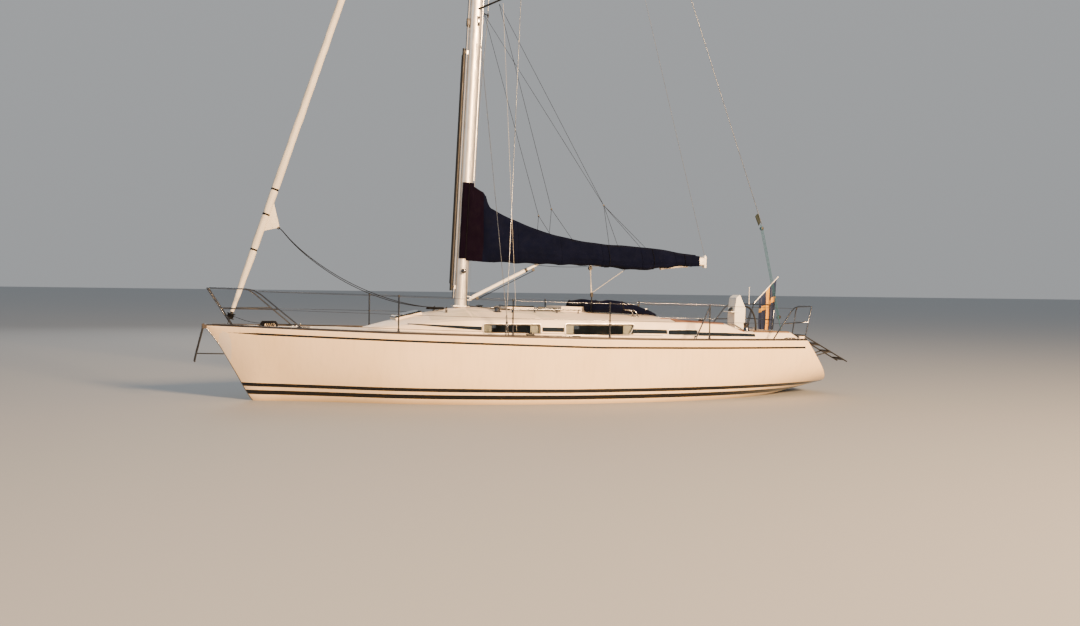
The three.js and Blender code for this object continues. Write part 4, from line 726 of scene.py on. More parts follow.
def smooth_curve(points: Sequence[Point], per_leg: int = 8) -> list[Point]:
    """A smooth curve through points (centripetal splines drawn with equal steps).

    Args:
        points: the points that it passes through.
        per_leg: how many steps each leg is split into.

    Returns:
        The points of the curve.
    """
    vs = [Vector(p) for p in points]
    out: list[Point] = []
    for i, (b, c) in enumerate(zip(vs, vs[1:])):
        a = vs[i - 1] if i else vs[0] * 2 - vs[1]
        d = vs[i + 2] if i + 2 < len(vs) else vs[-1] * 2 - vs[-2]
        for k in range(per_leg):
            t = k / per_leg
            p = 0.5 * (
                2 * b + (c - a) * t + (2 * a - 5 * b + 4 * c - d) * t**2 + (3 * b - a - 3 * c + d) * t**3
            )
            out.append(tuple(p))
    return [*out, tuple(vs[-1])]


def rounded_path(points: Sequence[Point], radius: float, steps: int = 6) -> list[Point]:
    """A bent tube's centreline: straight legs with round bends.

    Args:
        points: corner points.
        radius: bend radius on the centreline.
        steps: points in each bend.

    Returns:
        The points of the line.
    """
    vs = [Vector(p) for p in points]
    out: list[Point] = [tuple(vs[0])]
    for a, b, c in zip(vs, vs[1:], vs[2:]):
        one, two = (a - b).normalized(), (c - b).normalized()
        half = one.angle(two) / 2
        reach = min(radius / math.tan(half), (a - b).length * 0.48, (c - b).length * 0.48)
        start, end = b + one * reach, b + two * reach
        for k in range(steps + 1):
            t = k / steps
            out.append(tuple(start * (1 - t) ** 2 + b * 2 * t * (1 - t) + end * t**2))
    out.append(tuple(vs[-1]))
    return out


def sag_line(a: Point, b: Point, drop: float, steps: int = 14) -> list[Point]:
    """A line that hangs a little between two points.

    Args:
        a: its start.
        b: its end.
        drop: how far its middle hangs below the straight line.
        steps: how many legs it has.

    Returns:
        The points of the line.
    """
    va, vb = Vector(a), Vector(b)
    return [
        tuple(
            va.lerp(vb, k / steps) - Vector((0, 0, 4 * drop * (k / steps) * (1 - k / steps)))
        ) for k in range(steps + 1)
    ]


def carry(node: str, finish: Finish, crease: float = 32.0, ease: float = 0.0) -> None:
    """Dresses a CAD node that stays: its finish, smooth shading up to a crease, eased edges.

    Args:
        node: the CAD node.
        finish: its finish.
        crease: edges sharper than this many degrees stay sharp.
        ease: radius that its sharp edges are rounded to, in metres.
    """
    obj = frame["nodes"][node]
    made = finish.material()
    for place in obj.material_slots:
        place.material = made
    weld = obj.modifiers.new("join", "WELD")
    weld.merge_threshold = 0.00005
    smooth = obj.modifiers.new("smooth", "NODES")
    smooth.node_group = smoothing(crease)
    if ease:
        bevel = obj.modifiers.new("ease", "BEVEL")
        bevel.width, bevel.segments, bevel.limit_method = ease, 2, "ANGLE"
        bevel.angle_limit = math.radians(crease)
        bevel.use_clamp_overlap = True
    LOG.info("CAD node %s: %s", node, finish.name)


def smoothing(crease: float) -> Tree:
    """The modifier tree that shades a CAD mesh smooth between its creases.

    Args:
        crease: edges sharper than this many degrees stay sharp.

    Returns:
        The modifier's tree, made once for each angle.
    """
    name = f"smooth_{crease:.0f}"
    found = bpy.data.node_groups.get(name)
    if found:
        return found
    tree = bpy.data.node_groups.new(name, "GeometryNodeTree")
    tree.interface.new_socket("Geometry", in_out="INPUT", socket_type="NodeSocketGeometry")
    tree.interface.new_socket("Geometry", in_out="OUTPUT", socket_type="NodeSocketGeometry")
    start = put(tree, "NodeGroupInput")
    plain = put(
        tree, "GeometryNodeRemoveAttribute", {"Name": "custom_normal"}, {"Geometry": start.outputs[0]}
    )
    soft = put(
        tree, "GeometryNodeSetShadeSmooth", {"domain": "FACE", "Shade Smooth": True}, {0: plain.outputs[0]}
    )
    angle = put(tree, "GeometryNodeInputMeshEdgeAngle")
    sharp = put(
        tree, "FunctionNodeCompare", {
            "operation": "GREATER_THAN", 1: math.radians(crease)
        }, {0: angle.outputs[0]}
    )
    hard = put(
        tree,
        "GeometryNodeSetShadeSmooth",
        {"domain": "EDGE", "Shade Smooth": False},
        {0: soft.outputs[0], 1: sharp.outputs[0]},
    )
    put(tree, "NodeGroupOutput", {}, {0: hard.outputs[0]})
    return tree


# ---------------------------------------------------------------- the hull's lines


class Table:
    """Rows at falling X with a smooth curve through them, as the CAD's own tables are faired."""

    def __init__(self, rows: Sequence[Sequence[float]], smooth: bool = True) -> None:
        """Keeps the rows.

        Args:
            rows: x first, then the values, in millimetres.
            smooth: a curve through the rows, or straight legs between them.
        """
        self.rows, self.smooth = rows, smooth

    def rate(self, i: int, c: int) -> float:
        """Slope of column c on the leg after row i."""
        return (self.rows[i + 1][c] - self.rows[i][c]) / (self.rows[i + 1][0] - self.rows[i][0])

    def slope(self, i: int, c: int) -> float:
        """Slope of the curve at a row.

        Args:
            i: the row's number.
            c: the column's number.

        Returns:
            The column's slope there.
        """
        rows = self.rows
        if i == 0:
            return self.rate(0, c)
        if i == len(rows) - 1:
            return self.rate(i - 1, c)
        before, after = rows[i - 1][0] - rows[i][0], rows[i][0] - rows[i + 1][0]
        return (self.rate(i - 1, c) * after + self.rate(i, c) * before) / (before + after)

    def read(self, x: float) -> list[float]:
        """The row at x, in millimetres.

        Args:
            x: where, in millimetres.

        Returns:
            All columns there.
        """
        rows = self.rows
        if x >= rows[0][0]:
            return list(rows[0])
        if x <= rows[-1][0]:
            return list(rows[-1])
        i = next(k for k in range(len(rows) - 1) if rows[k + 1][0] <= x)
        a, b = rows[i], rows[i + 1]
        h, t = b[0] - a[0], (x - a[0]) / (b[0] - a[0])
        if not self.smooth or abs(h) <= 1:
            return [p + t * (q - p) for p, q in zip(a, b)]
        out = [x]
        for c in range(1, len(a)):
            m0, m1 = self.slope(i, c) * h, self.slope(i + 1, c) * h
            out.append(
                (2 * t**3 - 3 * t**2 + 1) * a[c]
                + (t**3 - 2 * t**2 + t) * m0
                + (-2 * t**3 + 3 * t**2) * b[c]
                + (t**3 - t**2) * m1
            )
        return out


HULL_ROWS = Table(
    [
        # x, half beam at the deck, lowest Z, fullness of the bilge, roundness low down
        (5650, 18, 1200, 1.2, 1.0),
        (5480, 105, 975, 1.25, 1.0),
        (5200, 250, 504, 1.3, 1.05),
        (4900, 410, 0, 1.4, 1.1),
        (4450, 635, -190, 1.7, 1.2),
        (3700, 975, -325, 2.2, 1.45),
        (2730, 1340, -430, 3.2, 1.75),
        (1500, 1595, -500, 4.6, 1.95),
        (0, 1740, -530, 5.6, 2.0),
        (-1500, 1735, -490, 5.4, 2.0),
        (-3000, 1610, -330, 4.6, 1.95),
        (-4100, 1425, -140, 4.0, 1.9),
        (-4900, 1250, 15, 3.6, 1.85),
        (-6000, 1000, 230, 3.2, 1.8),
    ]
)
ROOF_ROWS = Table(
    [
        # x, half width, height at the shoulder, height on the centreline
        (3180, 60, 1185, 1200),
        (2850, 430, 1245, 1282),
        (2300, 760, 1320, 1420),
        (1750, 915, 1372, 1528),
        (1360, 985, 1392, 1580),
        (150, 1095, 1410, 1560),
        (-1000, 1140, 1400, 1532),
        (-2050, 1145, 1375, 1480),
        (-2600, 1135, 1362, 1420),
        (-3300, 1115, 1332, 1362),
        (-3560, 1105, 1240, 1255),
        (-3700, 1100, 1196, 1206),
        (-4700, 1010, 1180, 1186),
        (-4830, 995, 1112, 1116),
    ],
    smooth=False,
)


class Lines:
    """The lines of hull, deck and coachroof, in metres."""

    FLARE = 0.055
    STERN, STERN_SLOPE, STERN_ROUND = -5.15, 0.737, 6.2  # the transom's upper edge, its slope, its rounding
    MAST_STEP, MAST_RAKE = (1.36, 1.588), 0.043

    @staticmethod
    def sheer(x: float) -> float:
        """Height of the hull's edge.

        Args:
            x: where along the boat.

        Returns:
            The height.
        """
        mm = x * 1000
        if mm < -3000:
            return (1040 - 20 * (-3000 - mm) / 2000) / 1000
        return (1040 + 185 * ((mm + 3000) / 8650) ** 1.4) / 1000

    @classmethod
    def side(cls, x: float, share: float) -> tuple[float, float]:
        """Half width and height of the hull at x, a share of the way from keel line to deck.

        Args:
            x: where along the boat.
            share: 0 at the keel line, 1 at the deck.

        Returns:
            Half width and height.
        """
        _, half, low, full, roundness = HULL_ROWS.read(x * 1000)
        wide = half * max(0.0, 1 - (1 - share) ** full) ** (1 / roundness) * (1 - cls.FLARE * (1 - share))
        low /= 1000
        return wide / 1000, low + (cls.sheer(x) - low) * share

    @staticmethod
    def half_beam(x: float) -> float:
        """Half beam at the deck."""
        return HULL_ROWS.read(x * 1000)[1] / 1000

    @classmethod
    def transom(cls, y: float, z: float) -> float:
        """X of the transom's face."""
        return cls.STERN - cls.STERN_SLOPE * (cls.sheer(cls.STERN) - z) + y * y / cls.STERN_ROUND

    @classmethod
    def run_out(cls, share: float) -> tuple[float, float, float]:
        """Where the hull's line at a share of its height meets the transom.

        Args:
            share: 0 at the keel line, 1 at the deck.

        Returns:
            X of the meeting, and the half width and height there.
        """
        end = -5.6  # a first guess, that each turn brings nearer
        for _ in range(12):
            half, z = cls.side(end, share)
            end = cls.transom(half, z)
        return end, half, z

    @classmethod
    def deck(cls, x: float, y: float) -> float:
        """Height of the deck's face.

        Args:
            x: where along the boat.
            y: where across it.

        Returns:
            The height, with the deck's camber.
        """
        wide = cls.half_beam(x) - 0.004
        rise = 0.04 * min(1.0, cls.half_beam(x))
        out = min(1.0, abs(y) / max(0.01, wide))
        share = 0.64 * (1 - out) / 0.4 if out > 0.6 else 0.64 + 0.36 * (0.6 - out) / 0.6
        return cls.sheer(x) + 0.0143 + rise * share

    @staticmethod
    def roof_half(x: float) -> float:
        """Half width of the coachroof's foot."""
        return ROOF_ROWS.read(x * 1000)[1] / 1000

    @staticmethod
    def roof_top(x: float) -> float:
        """Height of the coachroof on the centreline."""
        return ROOF_ROWS.read(x * 1000)[3] / 1000

    @classmethod
    def roof(cls, x: float, y: float) -> float:
        """Height of the coachroof or coaming at x and y.

        Args:
            x: where along the boat.
            y: where across it.

        Returns:
            The height of its upper face.
        """
        _, half, shoulder, crown = ROOF_ROWS.read(x * 1000)
        w, across = half, abs(y) * 1000
        knots = [
            (0.0, crown),
            ((w - 75) * 0.3, shoulder + (crown - shoulder) * 0.91),
            ((w - 75) * 0.62, shoulder + (crown - shoulder) * 0.62),
            (w - 100, shoulder),
            (w - 41.25, shoulder - 22.5),
        ]
        for (y0, z0), (y1, z1) in zip(knots, knots[1:]):
            if across <= y1:
                return (z0 + (z1 - z0) * (across - y0) / (y1 - y0)) / 1000
        return knots[-1][1] / 1000

    @classmethod
    def wall(cls, x: float, z: float) -> float:
        """Half width of the coachroof's side.

        Args:
            x: where along the boat.
            z: how high up the side.

        Returns:
            The half width.
        """
        _, half, shoulder, _ = ROOF_ROWS.read(x * 1000)
        base, mm = cls.sheer(x) * 1000 + 4, z * 1000
        top = shoulder - 75
        if mm <= top:
            return (half - 22 * (mm - base) / (top - base)) / 1000
        return (half - 55 * (0.4 + 0.35 * (mm - top) / 52.5)) / 1000

    @classmethod
    def mast(cls, x: float, y: float, up: float) -> Vector:
        """A point given in the raked mast's own frame.

        Args:
            x: how far forward of the mast's middle.
            y: how far to port.
            up: how far up the mast from its step.

        Returns:
            The point.
        """
        a, (x0, z0) = -math.atan(cls.MAST_RAKE), cls.MAST_STEP
        return Vector((x0 + x * math.cos(a) + up * math.sin(a), y, z0 - x * math.sin(a) + up * math.cos(a)))


# ---------------------------------------------------------------- hull and deck


@dataclass
class HullSkin:
    """The outer skin: gelcoat topsides with their stripes, transom and painted bottom."""

    columns: int = 150
    rows: int = 44
    proud: float = 0.0016  # outside the CAD hull, so that its flats never show through
    cove: Pairs = ((5.3, 1.132), (3.33, 1.07), (-0.62, 0.95), (-4.9, 0.91))
    cove_half: float = 0.0175
    boot_high: Pairs = ((5.1, 0.274), (0.0, 0.224), (-5.6, 0.2185))
    boot_high_half: float = 0.0305
    boot_low: Pairs = ((5.1, 0.1465), (0.0, 0.114), (-5.6, 0.105))
    boot_low_half: float = 0.0365

    @staticmethod
    def stripe(x: float, at: Pairs) -> float:
        """Height of a stripe's middle.

        Args:
            x: where along the boat.
            at: places and heights that the stripe passes, bow first.

        Returns:
            The height.
        """
        for (x0, z0), (x1, z1) in zip(at, at[1:]):
            if x >= x1:
                return z0 + (z1 - z0) * (x - x0) / (x1 - x0)
        return at[-1][1]

    def distances(self, x: float, z: float) -> dict[str, float]:
        """How far a point is from each stripe's middle, in that stripe's half heights.

        Args:
            x: where along the boat.
            z: its height.

        Returns:
            One signed distance for each stripe.
        """
        taper = min(1.0, max(0.02, (5.34 - x) / 0.5))
        return {
            "cove": (z - self.stripe(x, self.cove)) / (self.cove_half * taper) if x < 5.33 else 9.0,
            "boot_high": (z - self.stripe(x, self.boot_high)) / self.boot_high_half,
            "boot_low": (z - self.stripe(x, self.boot_low)) / self.boot_low_half,
        }

    def build(self) -> None:
        """Builds the skin, its transom and the stem's guard strip."""
        shape = Shape()
        for _, s in SIDES:
            rings = []
            for j in range(self.rows + 1):
                share = (j / self.rows) ** 1.5
                end = Lines.run_out(share)[0]
                ring = []
                for i in range(self.columns + 1):
                    t = i / self.columns
                    x = 5.65 + (end - 5.65) * (0.55 * t + 0.45 * t * t)
                    half, z = Lines.side(x, share)
                    ring.append(
                        (x + (0.002 if i == 0 else 0), s * (half + self.proud), z - (0.002 if j == 0 else 0))
                    )
                rings.append(ring)
            self.flange(rings)
            shape.skin(rings, closed=False, caps=False)
        bmesh.ops.remove_doubles(shape.bm, verts=shape.bm.verts, dist=0.0034)
        layers = {key: shape.bm.verts.layers.float.new(key) for key in self.distances(0, 0)}
        for vert in shape.bm.verts:
            for key, value in self.distances(vert.co.x, vert.co.z).items():
                vert[layers[key]] = value
        topsides = shape.piece("hull_skin", GELCOAT, crease=50)
        topsides.data.materials[0] = self.paint()
        self.transom()
        self.stem_strip()

    def flange(self, rings: list[list[Point]]) -> None:
        """Turns the skin's top edge inwards, under the deck moulding."""
        rings.append(
            [(x, y - math.copysign(min(0.02, abs(y) * 0.8), y), z + 0.0002) for x, y, z in rings[-1]]
        )

    def transom(self) -> None:
        """The raked, rounded transom's face."""
        shape = Shape()
        rings = []
        levels = 26
        for j in range(levels + 1):
            _, half, z = Lines.run_out(0.004 + 0.996 * (j / levels) ** 1.5)
            ys = [(half + 0.0014) * (1 - 2 * i / 40) for i in range(41)]
            rings.append([(Lines.transom(y, z) - 0.0022, y, z) for y in ys])
        shape.skin(rings, closed=False, caps=False)
        shape.piece("transom_skin", GELCOAT)

    def stem_strip(self) -> None:
        """A stainless guard strip down the stem."""
        path = []
        for k in range(25):
            x = 5.645 - k * 0.0315
            path.append((x + 0.004, 0.0, HULL_ROWS.read(x * 1000)[2] / 1000 + 0.002))
        Shape().tube(path, 0.007, sides=10).piece("stem_strip", STAINLESS_PAINTED_SHADE)

    def paint(self) -> bpy.types.Material:
        """Gelcoat with black boot stripes, a dark cove line, tan deepening over the last 85 mm above the
        waterline, and painted bottom.

        Returns:
            The material.
        """
        made = GELCOAT.material().copy()
        made.name = "y_gelcoat_striped"
        tree = made.node_tree
        shader = tree.nodes["Principled BSDF"]
        colour = shader.inputs["Base Color"].links[0].from_socket
        place = put(tree, "ShaderNodeTexCoord").outputs["Object"]
        split = put(tree, "ShaderNodeSeparateXYZ", {}, {0: place})
        runs = put(tree, "ShaderNodeMapping", {"Scale": (1.0, 1.0, 0.08)}, {"Vector": place})
        streaks = put(tree, "ShaderNodeTexNoise", {"Scale": 16.0, "Detail": 4.0}, {"Vector": runs.outputs[0]})
        soiled = put(
            tree, "ShaderNodeMapRange", {1: 0.5, 2: 0.8, 3: 0.0, 4: 0.16}, {0: streaks.outputs["Fac"]}
        )
        # tan that deepens towards the waterline over its last 85 mm
        low_tan = put(tree, "ShaderNodeMapRange", {1: 0.085, 2: 0.0, 3: 0.0, 4: 0.75}, {0: split.outputs["Z"]})
        coats = [("b9a582", soiled.outputs[0]), ("b49a72", low_tan.outputs[0])]
        for key, ink in (("cove", "0d0e11"), ("boot_high", "08090b"), ("boot_low", "08090b")):
            mark = put(tree, "ShaderNodeAttribute", {"attribute_name": key})
            away = put(tree, "ShaderNodeMath", {"operation": "ABSOLUTE"}, {0: mark.outputs["Fac"]})
            inside = put(tree, "ShaderNodeMath", {"operation": "LESS_THAN", 1: 1.0}, {0: away.outputs[0]})
            within = put(
                tree,
                "ShaderNodeMath",
                {"operation": "GREATER_THAN", 1: -4.84 if key == "cove" else -9.0},
                {0: split.outputs["X"]},
            )
            both = put(
                tree,
                "ShaderNodeMath",
                {"operation": "MULTIPLY"},
                {0: inside.outputs[0], 1: within.outputs[0]},
            )
            coats.append((ink, both.outputs[0]))
        under = put(tree, "ShaderNodeMath", {"operation": "LESS_THAN", 1: -0.004}, {0: split.outputs["Z"]})
        coats.append((ANTIFOULING.colour, under.outputs[0]))
        for ink, share in coats:
            mixed = put(
                tree, "ShaderNodeMix", {"data_type": "RGBA", 7: to_linear(ink)}, {0: share, 6: colour}
            )
            colour = mixed.outputs[2]
        tree.links.new(colour, shader.inputs["Base Color"])
        return made


@dataclass
class Deck:
    """Deck, coachroof and cockpit: the CAD moulding with treads, teak, rails and windows."""

    rail_wide: float = 0.034
    rail_high: float = 0.034
    rail_front: float = 5.56
    rail_back: float = -4.88
    rail_inset: float = 0.014  # in from the hull's edge
    rail_foot: Pairs = ((0.028, 0), (0.028, 0.004), (0.014, 0.008))
    filler: Pairs = ((0.045, 0), (0.045, 0.004), (0.038, 0.007), (0, 0.007))
    vent: Pairs = (
        (0.075, -0.01), (0.075, 0.006), (0.05, 0.012), (0.046, 0.06), (0.07, 0.07), (0.072, 0.085),
        (0.03, 0.1), (0, 0.102),
    )
    car: Pairs = ((0.028, 0), (0.03, 0.01), (0.022, 0.03), (0, 0.034))
    track: Pairs = (
        (-0.016, -0.002), (-0.016, 0.006), (-0.008, 0.022), (0.008, 0.022), (0.016, 0.006), (0.016, -0.002)
    )
    horn: Pairs = ((-0.12, 0.034), (-0.06, 0.036), (0.06, 0.036), (0.12, 0.034))

    def patch(
        self,
        name: str,
        finish: Finish,
        xs: Sequence[float],
        inner: Callable[[float], float],
        outer: Callable[[float], float],
        height: Callable[[float, float], float],
        lift: float = 0.0012,
    ) -> None:
        """A thin laid panel that follows the deck or the roof.

        Args:
            name: the piece's name.
            finish: its finish.
            xs: its stations.
            inner: half width of its inner edge at x.
            outer: half width of its outer edge at x.
            height: height of what it lies on at x and y.
            lift: how far its face stands above that.
        """
        shape = Shape()
        steps = 8
        for _, s in SIDES:
            rings = []
            for x in xs:
                a, b = inner(x), outer(x)
                ys = [a + (b - a) * k / steps for k in range(steps + 1)]
                top = [(x, s * y, height(x, y) + lift) for y in ys]
                low = [(x, s * y, height(x, y) - 0.001) for y in reversed(ys)]
                rings.append([*top, *low])
            shape.skin(rings)
        shape.piece(name, finish, crease=45)

    def build(self) -> None:
        """Dresses the moulding and adds what lies on it."""
        carry("deck", DECK_GELCOAT, crease=34, ease=0.006)
        carry("hull", DECK_GELCOAT, crease=34)
        self.treads()
        self.toe_rails()
        self.teak()
        for side, s in SIDES:
            self.windows(side, s)
        self.grab_rails()
        self.deck_gear()

    def treads(self) -> None:
        """Moulded tread panels on the side decks, foredeck, roof and seats."""

        def edge(x: float) -> float:
            """Outer edge of the side deck's panel."""
            return Lines.half_beam(x) - 0.1

        def trunk(x: float) -> float:
            """Foot of the coachroof's side, with a smooth gutter beside it."""
            return Lines.roof_half(x) + 0.05

        for n, (front, back) in enumerate(
            [(3.05, 1.95), (1.88, 0.75), (0.69, -0.55), (-0.61, -1.85), (-1.91, -3.1)]
        ):
            self.patch(
                f"side_deck_tread_{n}", TREAD_GELCOAT, evenly(front, back, 12), trunk, edge, Lines.deck
            )
        self.patch(
            "side_deck_tread_aft",
            TREAD_GELCOAT,
            evenly(-3.16, -4.35, 12),
            lambda x: Lines.roof_half(x) + 0.04,
            edge,
            Lines.deck,
        )
        self.patch(
            "foredeck_tread_0", TREAD_GELCOAT, evenly(4.4, 3.35, 12), lambda x: 0.025, edge, Lines.deck
        )

        def roof_outer(x: float) -> float:
            """Outer edge of the roof's panels."""
            return Lines.roof_half(x) - 0.16

        for n, (front, back) in enumerate([(2.04, 1.66), (1.02, 0.64), (0.02, -0.34)]):
            xs = evenly(front, back, 10)
            self.patch(f"roof_tread_{n}", TREAD_GELCOAT, xs, lambda x: 0.03, roof_outer, Lines.roof)
        for n, (front, back) in enumerate([(2.03, 0.64), (0.58, -0.36)]):
            xs = evenly(front, back, 16)
            self.patch(
                f"roof_side_tread_{n}", TREAD_GELCOAT, xs, lambda x: 0.33, roof_outer, Lines.roof, 0.0011
            )

    def toe_rails(self) -> None:
        """Slotted toe rails, faired along the deck's edge."""
        shape = Shape()
        count = 110
        for _, s in SIDES:
            rings = []
            for k in range(count + 1):
                x = self.rail_front - (self.rail_front - self.rail_back) * k / count
                outer = Lines.half_beam(x) - self.rail_inset
                z = Lines.deck(x, outer) + 0.0003
                w, h = self.rail_wide, self.rail_high
                section = [
                    (0, 0), (0, h * 0.8), (-0.004, h), (-0.015, h + 0.0005), (-0.017, 0.007), (-w, 0.005),
                    (-w, 0),
                ]
                rings.append([(x, s * (outer + a), z + b) for a, b in section])
            shape.skin(rings)
            for k in range(3, count - 2, 2):
                x = self.rail_front - (self.rail_front - self.rail_back) * k / count
                outer = Lines.half_beam(x) - self.rail_inset
                z = Lines.deck(x, outer)
                nearby = Lines.half_beam(x - 0.02) - self.rail_inset
                shape.tube(
                    [
                        (x + 0.02, s * (outer + 0.0006), z + 0.0185),
                        (x - 0.022, s * (nearby + 0.0006), z + 0.0185),
                    ],
                    0.0035,
                    sides=6,
                )
        shape.piece("toe_rails", WEATHERED_ALLOY, crease=30)
        carry("toe_rail", WEATHERED_ALLOY, ease=0.003)

    def teak(self) -> None:
        """Teak on the cockpit's coaming tops, seats, sole and the aft deck."""
        for name, xs, inner, outer in (
            ("coaming_cap", evenly(-2.3, -3.27), 0.86, 1.055),
            ("coaming_step_cap", evenly(-3.58, -3.69, 4), 0.87, 1.05),
        ):
            self.patch(name, TEAK, xs, lambda x: inner, lambda x: outer, Lines.roof, 0.012)
        self.patch(
            "aft_deck_teak",
            TEAK_PLANKS,
            evenly(-3.9, -4.68),
            lambda x: 0.835,
            lambda x: Lines.roof_half(x) - 0.06,
            Lines.roof,
            lift=0.01,
        )
        for name, xs, inner, outer, high, lift in (
            ("seat_teak", evenly(-2.17, -2.52, 4), 0.352, 0.8, 0.82, 0.009),
            ("seat_teak_aft", evenly(-3.6, -4.66, 6), 0.352, 0.8, 0.82, 0.009),
            ("footwell_grating", evenly(-2.16, -4.48), 0.0, 0.325, 0.43, 0.012),
        ):
            self.patch(name, TEAK_PLANKS, xs, lambda x: inner, lambda x: outer, lambda x, y: high, lift)
        for side, _ in SIDES:
            carry(f"{side}_locker_lid", TEAK_PLANKS, ease=0.004)

    def windows(self, side: str, s: int) -> None:
        """The light frames round the cabin side's three panes.

        Args:
            side: port or starboard.
            s: 1 for port, -1 for starboard.
        """
        frames = Shape()
        panes = [
            (1.225, 0.225, 1.150, 1.322, 0.0),
            (-0.205, -1.48, 1.128, 1.330, 0.1),
            (-2.12, -2.71, 1.130, 1.230, 0.0),
        ]
        for front, back, low, high, slant in panes:
            corners = [(front, low), (front, high), (back - slant * 0.2, high), (back + slant, low)]
            start = self.middle(corners[0], corners[3])
            line = rounded_path([(x, 0.0, z) for x, z in [start, *corners, start]], 0.045, 6)
            fitted: list[Point] = []
            for (x0, _, z0), (x1, _, z1) in zip(line, line[1:]):
                legs = max(1, int(math.hypot(x1 - x0, z1 - z0) / 0.06))
                for k in range(legs):
                    x, z = x0 + (x1 - x0) * k / legs, z0 + (z1 - z0) * k / legs
                    fitted.append((x, s * (Lines.wall(x, z) + 0.0068), z))
            frames.tube(fitted, 0.0085, sides=8, loop=True)
        frames.piece(f"{side}_window_frames", ANODISED)

    @staticmethod
    def middle(a: tuple[float, float], b: tuple[float, float]) -> tuple[float, float]:
        """The point halfway between two points of a side view."""
        return ((a[0] + b[0]) / 2, (a[1] + b[1]) / 2)

    def grab_rails(self) -> None:
        """Stainless grab rails along the roof's edges."""
        for side, s in SIDES:
            rail = Shape()
            y = 0.62
            posts = [0.6, 0.19, -0.22, -0.62]
            top = [(x, s * y, Lines.roof(x, y) + 0.055) for x in [0.63, *posts, -0.65]]
            rail.tube(smooth_curve(top, 5), 0.0125, sides=12)
            for x in posts:
                z = Lines.roof(x, y)
                rail.tube([(x, s * y, z - 0.004), (x, s * y, z + 0.052)], [0.013, 0.009], sides=10)
                rail.lathe(self.rail_foot, (x, s * y, z - 0.002), 20)
            rail.piece(f"{side}_grab_rail", STAINLESS_PAINTED_SHADE)

    def deck_gear(self) -> None:
        """Cleats, filler caps, vents and the headsail's sheet tracks."""
        gear = Shape()
        for _, s in SIDES:
            for x, y in ((-4.54, 1.2), (-0.05, 1.63), (4.15, 0.62)):
                z = Lines.deck(x, y)
                lean = 0.1 if x < -4 else -0.12 * (1 if x > 0 else 0)
                for dx in (-0.035, 0.035):
                    foot_y = s * (y + lean * dx)
                    gear.tube([(x + dx, foot_y, z - 0.003), (x + dx, foot_y, z + 0.03)], [0.016, 0.009])
                horn = [(x + dx, s * y, z + up) for dx, up in self.horn]
                gear.tube(smooth_curve(horn, 5), [0.006] * 2 + [0.009] * 12 + [0.006] * 2, sides=10)
                gear.block((x - 0.06, s * y - 0.018, z - 0.004), (x + 0.06, s * y + 0.018, z + 0.004), 0.003)
        gear.piece("mooring_cleats", STAINLESS_PAINTED_SHADE)
        caps = Shape()
        for x, y in ((-2.5, 1.35), (-2.9, -1.32), (2.9, 1.05)):
            caps.lathe(self.filler, (x, y, Lines.deck(x, y) - 0.002), 28)
        caps.piece("filler_caps", BRONZE)
        vents = Shape()
        for _, s in SIDES:
            x, y = 0.85, 0.55
            z = Lines.roof(x, y)
            vents.lathe(self.vent, (x, s * y, z), 32)
        vents.piece("mushroom_vents", STAINLESS_PAINTED_SHADE)
        tracks = Shape()
        for _, s in SIDES:
            run = [(x, s * 1.32, Lines.deck(x, 1.32)) for x in [0.9 - 0.1 * k for k in range(14)]]
            tracks.skin([[(x, y + dy, z + dz) for dy, dz in self.track] for x, y, z in run])
            x, y, z = run[4]
            tracks.block((x - 0.07, y - 0.022, z + 0.012), (x + 0.07, y + 0.022, z + 0.045), 0.006)
            tracks.lathe(self.car, (x, y, z + 0.043), 20)
        tracks.piece("genoa_tracks", BLACK_ANODISED)


@dataclass
class Interior:
    """What shows through the companionway: bulkhead, settees, sole, steps and engine."""

    def build(self) -> None:
        """Dresses the cabin's CAD nodes and lays its cushions."""
        carry("cabin_furniture", VARNISH, ease=0.006)
        carry("cabin_sole", TEAK_PLANKS)
        carry("companionway_steps", VARNISH, ease=0.004)
        carry("engine", ENAMEL_GREY, ease=0.03)
        carry("keel", ANTIFOULING, crease=50)
        carry("drive_leg", ANTIFOULING, crease=50)
        carry("rudder", ANTIFOULING, crease=50)
        carry("propeller", BRONZE, crease=50)
        for side, s in SIDES:
            pad = Shape()
            rings = []
            for k in range(25):
                x = 1.22 - 1.5 * k / 24
                ring = []
                for a in round_angles(20):
                    c, d = math.cos(a), math.sin(a)
                    y = 0.8 + 0.22 * math.copysign(abs(c) ** 0.35, c)
                    z = 0.152 + 0.036 * math.copysign(abs(d) ** 0.5, d)
                    pull = 0.85 if k in (0, 24) else 1.0 - (0.05 if k % 8 == 0 else 0.0)
                    ring.append((x, s * (0.8 + (y - 0.8) * pull), 0.152 + (z - 0.152) * pull))
                rings.append(ring)
            pad.skin(rings)
            pad.piece(f"{side}_settee_cushion", CURTAIN, subdivide=1)


